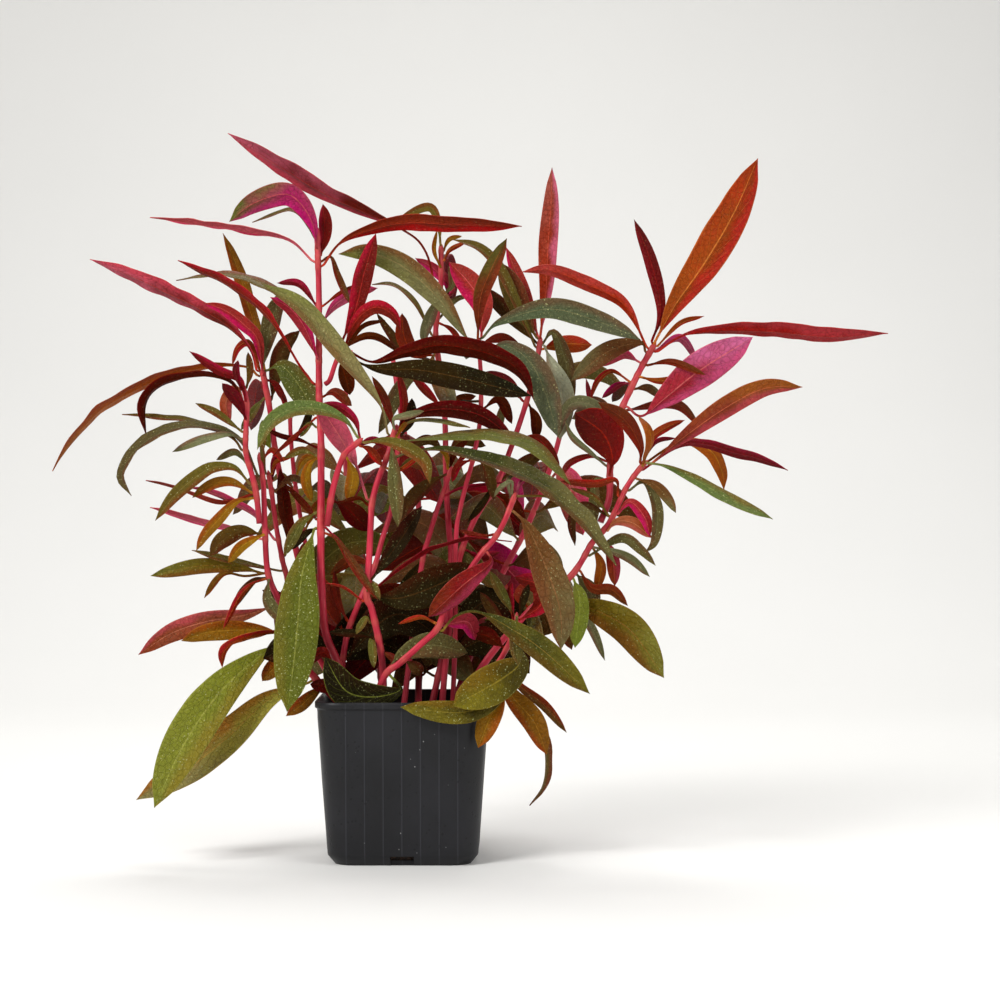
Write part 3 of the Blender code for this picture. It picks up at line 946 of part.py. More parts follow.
class Nodes:
    """The nodes of one stem and which of their sides are taken."""

    def __init__(self, route):
        self.route = route
        self.taken = {}

    def free_seats(self, wanted):
        """Every free side of a node, and of any place that has room for a node."""
        low = FIRST_NODE
        high = self.route.length - LAST_NODE_ROOM
        wanted = min(max(wanted, low), high)
        for at, sides in self.taken.items():
            if len(sides) < MOST_LEAVES_AT_NODE:
                yield from (Seat(at, side) for side in range(STEM_SIDES) if side not in sides)
        for i in range(-NODE_SEARCH, NODE_SEARCH + 1):
            at = wanted + i * NODE_SEARCH_STEP
            if low <= at <= high and all(abs(at - other) >= NODE_SPACING for other in self.taken):
                yield from (Seat(at, side) for side in range(STEM_SIDES))

    def seat(self, wanted, toward):
        """The free side that is near the wanted distance and faces a point as well as can be."""
        def cost(seat):
            root = self.route.place(seat.distance)
            out = self.route.sideways(seat.distance, math.tau * (seat.side + 0.5) / STEM_SIDES)
            facing = out.dot((toward - root).normalized())
            return abs(seat.distance - wanted) + FACING_WORTH * (1 - facing)
        best = min(self.free_seats(wanted), key=cost)
        self.taken.setdefault(best.distance, []).append(best.side)
        return best

    def give_up(self, seat):
        self.taken[seat.distance].remove(seat.side)
        if not self.taken[seat.distance]:
            del self.taken[seat.distance]


def grow_bare(bm, face, name, route, start, end):
    """Grow a stem along a stretch without nodes, with enough rings for it to bend."""
    count = max(0, math.ceil((end - start) / STEM_STRETCH) - 1)
    for i in range(count):
        face = grow(bm, face, stem_ring(name, route, start + (end - start) * (i + 1) / (count + 1), 1.0))
    return face


def stem_mesh(name, route, nodes, blades):
    """A stem grown ring by ring, with its small leaves grown out of its sides at the nodes. Two
    nodes that nearly touch share a ring, unless a leaf of one sits above a leaf of the other."""
    bm = bmesh.new()
    face = start_face(bm, stem_ring(name, route, 0.0, 1.0))
    done = 0.0
    jobs = []
    below = set()
    for distance, sides in sorted(nodes.taken.items()):
        face = grow_bare(bm, face, name, route, done, distance - NODE_HALF)
        if distance - NODE_HALF - done > SHARED_RING or below & set(sides):
            face = grow(bm, face, stem_ring(name, route, distance - NODE_HALF, 1.0))
        low = list(face.verts)
        face = grow(bm, face, stem_ring(name, route, distance + NODE_HALF, NODE_SWELL))
        high = list(face.verts)
        for blade in blades:
            if blade.seat.distance == distance:
                both = set(low[blade.seat.side].link_faces)
                both &= set(high[(blade.seat.side + 1) % STEM_SIDES].link_faces)
                jobs.append((both.pop(), blade))
        done = distance + NODE_HALF
        below = set(sides)
    face = grow_bare(bm, face, name, route, done, route.length)
    draw_together(bm, face, route.place(route.length))
    for side, blade in jobs:
        rings, shift = turned(side, blade.rings(first=False))
        grow_blade(bm, side, rings, blade.tip(), shift)
    close(bm)
    return bm


def tube_mesh(name, route, swell):
    """A bare stem a little thicker than the real one, for testing what a leaf would touch."""
    bm = bmesh.new()
    face = start_face(bm, stem_ring(name, route, 0.0, swell))
    count = max(2, round(route.length / TRIAL_TUBE_STEP))
    for i in range(1, count + 1):
        face = grow(bm, face, stem_ring(name, route, route.length * i / count, swell))
    close(bm)
    return bm


def crosses_itself(bm):
    """Whether two faces that share no corner cut each other."""
    tree = BVHTree.FromBMesh(bm)
    bm.faces.ensure_lookup_table()
    for a, b in tree.overlap(tree):
        if a < b and not set(bm.faces[a].verts) & set(bm.faces[b].verts):
            return True
    return False


def tree_of(bm):
    tree = BVHTree.FromBMesh(bm)
    bm.free()
    return tree


def inside_outline(sight):
    """Whether pixels lie inside the dense part's outline."""
    across, down = sight
    inside = False
    for (ax, ay), (bx, by) in zip(DENSE_OUTLINE, DENSE_OUTLINE[1:] + DENSE_OUTLINE[:1]):
        if (ay > down) != (by > down) and across < ax + (down - ay) * (bx - ax) / (by - ay):
            inside = not inside
    return inside


class Clump:
    """The plant as it is put together: every stem's route and every blade that has found room."""

    def __init__(self):
        self.routes = stem_routes()
        self.nodes = {name: Nodes(route) for name, route in self.routes.items()}
        self.blades = []
        self.stems = {name: tree_of(tube_mesh(name, route, STEM_CLEARANCE_SWELL))
                      for name, route in self.routes.items()}
        self.cores = {name: tree_of(tube_mesh(name, route, NODE_SWELL))
                      for name, route in self.routes.items()}
        self.pot = tree_of(pot_mesh(spare=POT_CLEARANCE))
        self.trials = []
        self.left_out = []

    def trial(self, blade, beyond):
        return tree_of(trial_blade(blade, self.routes[blade.leaf.stem], beyond))

    def fits(self, blade):
        whole = self.trial(blade, False)
        beyond = self.trial(blade, True)
        if whole.overlap(self.pot) or blade.out.dot(blade.route.heading(0)) < LEAST_OUTWARD:
            return False
        for name, tree in self.stems.items():
            test = beyond if name == blade.leaf.stem else whole
            if test.overlap(tree):
                return False
        for other_whole in self.trials:
            if whole.overlap(other_whole):
                return False
        stem = blade.leaf.stem
        if blade.leaf.name:
            return not tree_of(free_blade(blade)).overlap(self.cores[stem])
        bm = self.grown_stem(stem, blade)
        crossing = crosses_itself(bm)
        bm.free()
        return not crossing

    def grown_stem(self, stem, *more):
        """A stem with the small leaves that it carries so far, and any more."""
        own = [each for each in self.blades if each.leaf.stem == stem and not each.leaf.name]
        return stem_mesh(stem, self.routes[stem], self.nodes[stem], own + list(more))

    def add(self, blade):
        self.blades.append(blade)
        self.trials.append(self.trial(blade, False))

    def seat_of(self, leaf):
        """The side of a node that a leaf grows from."""
        route = self.routes[leaf.stem]
        wanted = route.nearest(leaf.sights[0])
        depth = route.place(wanted).y / MM
        lengths = [math.dist(a, b) for a, b in zip(leaf.sights, leaf.sights[1:])]
        toward = seen(*leaf.sights[1], depth - (leaf.lean + leaf.belly) * lengths[0] / sum(lengths))
        return self.nodes[leaf.stem].seat(wanted, toward)

    def settle(self, leaf, seat):
        """Moves a leaf nearer or farther along the line of sight until it touches nothing."""
        for more, belly in LEAN_TRIES:
            blade = Blade(leaf, self.routes[leaf.stem], seat, leaf.lean + more, leaf.belly + belly)
            if self.fits(blade):
                self.add(blade)
                return
        self.nodes[leaf.stem].give_up(seat)
        self.left_out.append(leaf)


def pot_level(half, height):
    """The corners of a rounded square, anticlockwise from above."""
    corner = POT_CORNER * half / (POT_RIM / 2)
    ring = []
    for quarter in range(4):
        turn = math.pi / 2 * quarter
        middle = Vector((half - corner, half - corner))
        for step in range(POT_CORNER_STEPS + 1):
            angle = math.pi / 2 * step / POT_CORNER_STEPS
            x = middle.x + corner * math.cos(angle)
            y = middle.y + corner * math.sin(angle)
            ring.append(Vector((x * math.cos(turn) - y * math.sin(turn),
                                x * math.sin(turn) + y * math.cos(turn), height)))
    return ring


def pot_half(height):
    """Half the pot's outer width at a height."""
    return (POT_FOOT + (POT_RIM - 2 * LIP_DEPTH - POT_FOOT) * height / POT_HEIGHT) / 2


def pot_mesh(spare=0.0):
    """The pot in one run of extrusions: up the outside, over the lip and down the inside."""
    bm = bmesh.new()
    lip_foot = POT_HEIGHT - LIP_HEIGHT
    levels = [
        (pot_half(0) - FOOT_BEVEL_DEPTH + spare, 0.0),
        (pot_half(FOOT_BEVEL_HEIGHT) + spare, FOOT_BEVEL_HEIGHT),
        (pot_half(lip_foot) + spare, lip_foot),
        (POT_RIM / 2 + spare, lip_foot),
        (POT_RIM / 2 + spare, POT_HEIGHT + spare),
        (pot_half(POT_HEIGHT) - POT_WALL - spare, POT_HEIGHT + spare),
        (pot_half(FOOT_BEVEL_HEIGHT) - POT_WALL - spare, FOOT_BEVEL_HEIGHT + spare),
        (pot_half(0) - FOOT_BEVEL_DEPTH - POT_WALL - spare, POT_FLOOR + spare),
    ]
    face = start_face(bm, pot_level(*levels[0]))
    for level in levels[1:]:
        face = grow(bm, face, pot_level(*level))
    close(bm)
    return bm


def notch_mesh(turn):
    """A box that cuts a drain notch through the foot of one side of the pot."""
    bm = bmesh.new()
    bmesh.ops.create_cube(bm, size=1)
    outer = POT_FOOT / 2 + NOTCH_REACH / 2
    for corner in bm.verts:
        corner.co = Vector((corner.co.x * NOTCH_WIDTH, outer - NOTCH_REACH * (corner.co.y + 0.5),
                            NOTCH_HEIGHT * (corner.co.z * 2)))
    bmesh.ops.rotate(bm, verts=bm.verts, matrix=Matrix.Rotation(turn, 3, "Z"))
    bmesh.ops.recalc_face_normals(bm, faces=bm.faces)
    return bm


def medium_mesh():
    """The growing medium: it fills the pot's inside, with a sloping shoulder at the wall."""
    bm = bmesh.new()
    inner = POT_WALL + TOUCH_GAP
    levels = [
        (pot_half(0) - FOOT_BEVEL_DEPTH - inner, POT_FLOOR + TOUCH_GAP),
        (pot_half(FOOT_BEVEL_HEIGHT) - inner, FOOT_BEVEL_HEIGHT + TOUCH_GAP),
        (pot_half(MEDIUM_TOP - MEDIUM_SHOULDER) - inner, MEDIUM_TOP - MEDIUM_SHOULDER),
        (pot_half(MEDIUM_TOP) - inner - 2 * MEDIUM_SHOULDER, MEDIUM_TOP),
    ]
    face = start_face(bm, pot_level(*levels[0]))
    for level in levels[1:]:
        face = grow(bm, face, pot_level(*level))
    close(bm)
    return bm


def material(name, colour, roughness):
    made = bpy.data.materials.get(name) or bpy.data.materials.new(name)
    made.use_nodes = True
    shader = made.node_tree.nodes["Principled BSDF"]
    shader.inputs["Base Color"].default_value = (*colour, 1)
    shader.inputs["Roughness"].default_value = roughness
    made.diffuse_color = (*colour, 1)
    return made


def add_object(name, bm, colour, roughness, collection):
    mesh = bpy.data.meshes.new(name)
    bm.to_mesh(mesh)
    bm.free()
    made = bpy.data.objects.new(name, mesh)
    made.data.materials.append(material(name, colour, roughness))
    collection.objects.link(made)
    return made


def leaf_by_rule(dice, clump, rule, stem, at, heading_angle):
    """One leaf grown by rule: it leaves a stem at a distance along it, arching out and down."""
    route = clump.routes[stem]
    root = route.place(at)
    length = dice.uniform(*rule.long) * MM
    rise = dice.uniform(*rule.rise)
    droop = dice.uniform(LEAST_DROOP, MOST_DROOP)
    out = Vector((math.cos(heading_angle), math.sin(heading_angle), 0))
    middle = root + (out + UP * rise) * length / 2
    tip = root + out * length * TIP_REACH + UP * length * (rise - droop) * TIP_FALL
    if not (inside_outline(sight_of(middle)) and inside_outline(sight_of(tip))):
        return None
    lean = (root.y - tip.y) / MM
    tone = dice.choice(rule.tones)
    face = UPPER if tone in UPPER_TONES else UNDER
    sights = [sight_of(root), sight_of(middle), sight_of(tip)]
    leaf = Leaf(stem, sights, dice.uniform(*rule.wide), lean, face, tone)
    return Blade(leaf, route, clump.seat_of(leaf), lean, 0)


def grow_pair(dice, clump, rule, stem, at, quarter):
    """Two opposite leaves, each turned a little until it finds room."""
    for half_turn in (0, math.pi):
        for attempt in range(RULE_TRIES):
            angle = quarter + half_turn + dice.uniform(-TURN_SCATTER, TURN_SCATTER)
            if math.sin(angle) < rule.away:
                continue
            blade = leaf_by_rule(dice, clump, rule, stem, at, angle)
            if blade and clump.fits(blade):
                clump.add(blade)
                break
            if blade:
                clump.nodes[stem].give_up(blade.seat)


def grow_by_rule(clump):
    """Fills the sides that the view hides with pairs of leaves, each pair turned a quarter from the
    one below it."""
    dice = random.Random(RULE_SEED)
    for rule in RULES:
        for stem in rule.stems:
            top = min(rule.last * MM, clump.routes[stem].length - 2 * NODE_HALF)
            at = rule.first * MM
            quarter = dice.uniform(0, math.pi)
            while at < top:
                grow_pair(dice, clump, rule, stem, at, quarter)
                quarter += math.pi / 2
                at += rule.step * MM


def main():
    for old in list(bpy.data.objects):
        bpy.data.objects.remove(old, do_unlink=True)
    collection = bpy.data.collections.new("alternanthera_reineckii")
    bpy.context.scene.collection.children.link(collection)
    clump = Clump()
    leaves = LARGE_LEAVES + SMALL_LEAVES
    for leaf, seat in [(leaf, clump.seat_of(leaf)) for leaf in leaves]:
        clump.settle(leaf, seat)
    hand_placed = len(clump.blades)
    grow_by_rule(clump)
    print("leaves placed by view", hand_placed, "by rule", len(clump.blades) - hand_placed,
          "with no room", [(leaf.stem, leaf.sights[-1]) for leaf in clump.left_out])
    pot = add_object("pot", pot_mesh(), POT_BLACK, PLASTIC_ROUGHNESS, collection)
    cutters = bpy.data.collections.new("cutters")
    bpy.context.scene.collection.children.link(cutters)
    for side in range(4):
        cutter = add_object(f"notch_cutter_{side + 1}", notch_mesh(side * math.pi / 2), POT_BLACK,
                            PLASTIC_ROUGHNESS, cutters)
        cutter.hide_render = True
        cutter.display_type = "WIRE"
        cut = pot.modifiers.new(f"notch_{side + 1}", "BOOLEAN")
        cut.operation = "DIFFERENCE"
        cut.solver = "EXACT"
        cut.object = cutter
    add_object("growing_medium", medium_mesh(), MEDIUM_BROWN, MEDIUM_ROUGHNESS, collection)
    for name in clump.routes:
        add_object(name, clump.grown_stem(name), STEM_RED, STEM_ROUGHNESS, collection)
    for blade in clump.blades:
        if blade.leaf.name:
            add_object(blade.leaf.name, free_blade(blade), TONES[blade.leaf.tone], LEAF_ROUGHNESS,
                       collection)
    triangles = sum(len(polygon.vertices) - 2 for made in collection.objects
                    for polygon in made.data.polygons)
    print("objects", len(collection.objects), "triangles", triangles)


main()
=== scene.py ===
# %% [markdown]
# # A clump of Alternanthera reineckii in a square nursery pot
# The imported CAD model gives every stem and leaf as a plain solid. This script dresses it: thin
# folded leaves with ribs and veins, smooth jointed stems, a ribbed pot and crumbly medium.
# It runs from top to bottom, one short step at a time.

# %% Load the CAD model
import json
import math
import random
from collections import namedtuple

import bmesh
import bpy
import numpy as np
from mathutils import Matrix, Vector, noise
from mathutils.kdtree import KDTree

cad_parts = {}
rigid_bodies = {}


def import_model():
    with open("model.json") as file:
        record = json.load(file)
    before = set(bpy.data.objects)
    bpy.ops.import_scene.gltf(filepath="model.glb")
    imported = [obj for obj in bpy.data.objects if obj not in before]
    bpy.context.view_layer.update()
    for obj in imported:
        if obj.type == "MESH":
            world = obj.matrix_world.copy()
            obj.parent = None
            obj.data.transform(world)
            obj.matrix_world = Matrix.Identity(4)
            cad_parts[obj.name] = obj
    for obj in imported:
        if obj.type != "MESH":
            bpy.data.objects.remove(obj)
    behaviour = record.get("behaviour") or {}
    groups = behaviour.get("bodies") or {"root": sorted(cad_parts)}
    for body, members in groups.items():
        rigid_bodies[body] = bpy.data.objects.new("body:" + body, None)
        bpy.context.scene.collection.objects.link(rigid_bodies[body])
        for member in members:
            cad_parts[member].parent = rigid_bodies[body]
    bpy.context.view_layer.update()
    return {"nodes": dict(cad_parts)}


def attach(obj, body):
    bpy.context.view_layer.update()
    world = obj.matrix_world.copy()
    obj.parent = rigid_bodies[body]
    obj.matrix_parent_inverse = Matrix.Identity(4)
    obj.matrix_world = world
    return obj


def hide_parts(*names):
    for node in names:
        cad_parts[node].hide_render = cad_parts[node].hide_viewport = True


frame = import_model()
print("CAD nodes", len(frame["nodes"]))

# %% [markdown]
# ## The view the plant is laid out from
# The eye looks level along +Y. `seen` turns a place in that view, with a depth, into a point in
# space, and `sight_of` goes the other way.

# %% The view
MM = 0.001
# The front view: where the eye is, and how many of its pixels make a metre at the pot's axis
EYE = Vector((50 * MM, -1.25, 187 * MM))
VIEW_MIDDLE = 500
PIXELS_PER_METRE = 1900
TOWARD_EYE = Vector((0, -1, 0))
UP = Vector((0, 0, 1))
TINY = 1e-9


def seen(across, down, depth_mm):
    """The point that the front view shows at these pixels, so far behind the pot's axis."""
    depth = depth_mm * MM
    scale = (depth - EYE.y) / -EYE.y / PIXELS_PER_METRE
    return Vector((EYE.x + (across - VIEW_MIDDLE) * scale, depth,
                   EYE.z + (VIEW_MIDDLE - down) * scale))


def sight_of(point):
    """The (across, down) pixels at which the front view shows a point."""
    scale = (point.y - EYE.y) / -EYE.y / PIXELS_PER_METRE
    return (VIEW_MIDDLE + (point.x - EYE.x) / scale, VIEW_MIDDLE - (point.z - EYE.z) / scale)


print("middle of the view", seen(VIEW_MIDDLE, VIEW_MIDDLE, 0))

# %% [markdown]
# ## Sizes that the CAD solids were grown with
# A leaf is found again on its solid by these, so they are the same numbers.

# %% Sizes of stems and leaves
TOUCH_GAP = 0.3 * MM
# The growing medium, flat where the stems stand and lower at the wall
MEDIUM_TOP = 73.5 * MM
STEM_FOOT_HEIGHT = MEDIUM_TOP + TOUCH_GAP
# Routes: the length over which a heading is read, and the first sideways direction
HEADING_HALF = 0.5 * MM
FIRST_ACROSS = Vector((1, 0.2, 0.1))
# Stems are five-sided. A node is a short swelling that up to three leaves grow from, and it is
# looked for near the wanted place, where a side that faces the leaf is worth some distance.
STEM_SIDES = 5
FORK_SHIFT_SHARE = 0.3
NODE_HALF = 1.1 * MM
NODE_SWELL = 1.25
NODE_SPACING = 2.4 * MM
FIRST_NODE = 2.2 * NODE_HALF
LAST_NODE_ROOM = 1.6 * NODE_HALF
NODE_SEARCH = 60
NODE_SEARCH_STEP = 0.2 * MM
FACING_WORTH = 5 * MM
MOST_LEAVES_AT_NODE = 3
# Blades are lance-shaped and folded along the midrib. The rings that give one its form lie at shares
# of its length; how straight it is, tip to base against its length, says how many it needs.
LEAF_THICKNESS = 0.9 * MM
THICK_AT_BASE = 1.15
THINNING = 0.5
LEAF_FOLD = math.radians(13)
MOST_SLENDER = 9.68
STALK_HALF_WIDTH = 0.7 * MM
BLADE_FULLEST = 0.562
BLADE_TAPER = 0.78
LARGE_RINGS = [0.15, 0.36, 0.58, 0.80]
SMALL_RINGS = [(0.88, [0.40]), (0.76, [0.28, 0.60]), (0.0, [0.20, 0.44, 0.70])]
NARROW_BLADE = 4.1 * MM
SHORT_BLADE = 34 * MM
SPIKE_STRAIGHT = 0.93
# A blade is rolled about its midrib in steps; a roll, and the wrong face toward the view, cost
FRAME_COUNT = 9
UPRIGHT = 0.05
ROLL_STEP = 5
ROLL_COST = 0.002
FACE_SLACK = 0.02
WRONG_FACE_COST = 2
Seat = namedtuple("Seat", "distance side")
Stem = namedtuple("Stem", "foot sights thick tip parent", defaults=(None,))
USUAL_STALK = 0.05
Leaf = namedtuple("Leaf", "stem sights shown lean face tone stalk name belly",
                  defaults=(USUAL_STALK, None, 0))
UPPER, UNDER = 1, -1
print("fold of a leaf in degrees", round(math.degrees(LEAF_FOLD)))

# %% [markdown]
# ## The stems
# Every shoot and every main fork of one is a stem of its own, laid out by where the view shows it.

# %% Table of stems
# Each stem: where it stands on the medium (across, back) in mm, or the stem it forks from; then the
# points (across, down) where the view shows it with its depth behind the pot's axis in mm; then its
# thickness at the foot and at the tip in mm.
STEMS = {
    "stem_tall_left": Stem(
        (-26, -12),
        [(338, 664, -14), (325, 630, -15), (321, 570, -14), (321, 527, -12), (321, 440, -6),
         (319, 385, 0), (319, 300, 4), (318, 260, 5), (317, 226, 6)], 4.2, 2.8),
    "stem_second_left": Stem(
        None, [(321, 527, -12), (331, 490, -15), (343, 457, -19), (355, 445, -22), (363, 438, -24)],
        3.2, 2.8, "stem_tall_left"),
    "stem_side_shoot_left": Stem(
        None, [(319, 387, 0), (328, 380, -3), (336, 362, -6), (345, 345, -8)], 2.6, 2.2,
        "stem_tall_left"),
    "stem_centre": Stem(
        (-10, -19),
        [(382, 660, -19), (372, 610, -20), (367, 597, -20), (369, 560, -18), (371, 520, -16),
         (372, 503, -15), (378, 480, -14), (388, 455, -13), (392, 440, -12), (397, 424, -12)],
        3.6, 2.8),
    "stem_behind_centre": Stem(
        (-35, -4),
        [(345, 645, -7), (358, 605, -9), (373, 572, -6), (382, 540, 0), (392, 506, 4),
         (397, 460, 6), (398, 425, 8)], 3.2, 2.4),
    "stem_forked": Stem(
        (-1, -6),
        [(412, 640, 0), (422, 564, 6), (428, 540, 7), (437, 510, 8), (445, 488, 9), (452, 466, 9)],
        3.0, 2.4),
    "stem_middle_back": Stem(
        (13, 5),
        [(445, 640, 10), (451, 564, 16), (449, 530, 18), (447, 500, 20), (446, 470, 22),
         (444, 400, 28), (436, 340, 34), (438, 310, 35), (441, 279, 36), (441, 243, 37)], 3.4, 2.6),
    "stem_middle_right": Stem(
        (19, 1),
        [(448, 640, 4), (459, 562, 6), (470, 530, 7), (480, 510, 8), (497, 483, 9),
         (512, 445, 12), (524, 410, 14), (535, 372, 16), (541, 336, 18)], 3.2, 2.6),
    "stem_middle_thin": Stem(
        (25, -9),
        [(455, 640, -8), (456, 540, -5), (460, 510, -4), (466, 485, -3), (474, 455, -2),
         (480, 420, 0), (481, 380, 2), (478, 336, 4)], 2.6, 2.2),
    "stem_pink_front": Stem(
        (-18, -27),
        [(384, 677, -29), (400, 663, -31), (420, 645, -33), (437, 629, -35), (445, 610, -35),
         (461, 584, -37), (480, 555, -39), (494, 539, -40), (505, 520, -40), (516, 492, -40)],
        3.4, 2.6),
    "stem_low_right": Stem(
        (26, -22), [(480, 690, -25), (503, 655, -28), (514, 630, -30), (517, 612, -30)], 3.0, 2.4),
    "stem_right": Stem(
        (32, -2),
        [(480, 670, -2), (530, 610, -2), (571, 576, -4), (592, 543, -5), (603, 531, -6),
         (612, 518, -6), (625, 490, -8), (637, 472, -10), (648, 460, -11)], 3.8, 2.6),
    "stem_right_upper": Stem(
        None,
        [(606, 527, -6), (611, 500, -2), (610, 470, 1), (613, 432, 3), (622, 408, 5),
         (636, 378, 6), (646, 359, 7), (656, 342, 8)], 3.4, 3.0, "stem_right"),
    "stem_outer_left": Stem(
        (-30, 6),
        [(297, 655, 4), (280, 604, 1), (268, 573, -2), (265, 530, -4), (264, 500, -4),
         (263, 480, -3), (259, 452, -2)], 3.6, 2.6),
    "stem_curved_left": Stem(
        None,
        [(265, 522, -4), (258, 495, -8), (252, 475, -10), (246, 453, -11), (246, 430, -10),
         (247, 405, -9), (243, 385, -8)], 3.0, 2.4, "stem_outer_left"),
    "stem_inner_left": Stem(
        (-31, 16),
        [(300, 620, 14), (285, 570, 11), (281, 553, 10), (276, 525, 8), (272, 495, 7),
         (268, 470, 7)], 3.0, 2.4),
    "stem_back_left": Stem(
        (-26, 25),
        [(305, 580, 29), (288, 510, 29), (276, 455, 29), (270, 410, 29), (262, 368, 29)], 4.0, 2.8),
    "stem_thin_left": Stem(
        (-22, 34), [(320, 610, 42), (303, 530, 46), (296, 490, 46), (291, 440, 46), (290, 412, 46)],
        2.6, 2.2),
    "stem_rear_left": Stem(
        (-12, 24), [(372, 600, 60), (350, 500, 84), (344, 420, 98), (352, 350, 106)], 3.6, 2.6),
    "stem_rear_middle": Stem(
        (6, 27), [(420, 600, 58), (418, 500, 92), (402, 420, 116), (392, 352, 128)], 3.6, 2.6),
    "stem_rear_right": Stem(
        (24, 22), [(490, 600, 50), (530, 520, 76), (556, 450, 94), (570, 385, 104)], 3.6, 2.6),
}
print("stems", len(STEMS))

# %% [markdown]
# ## The large leaves
# Each of these is a piece of its own in the CAD, so it has a name.

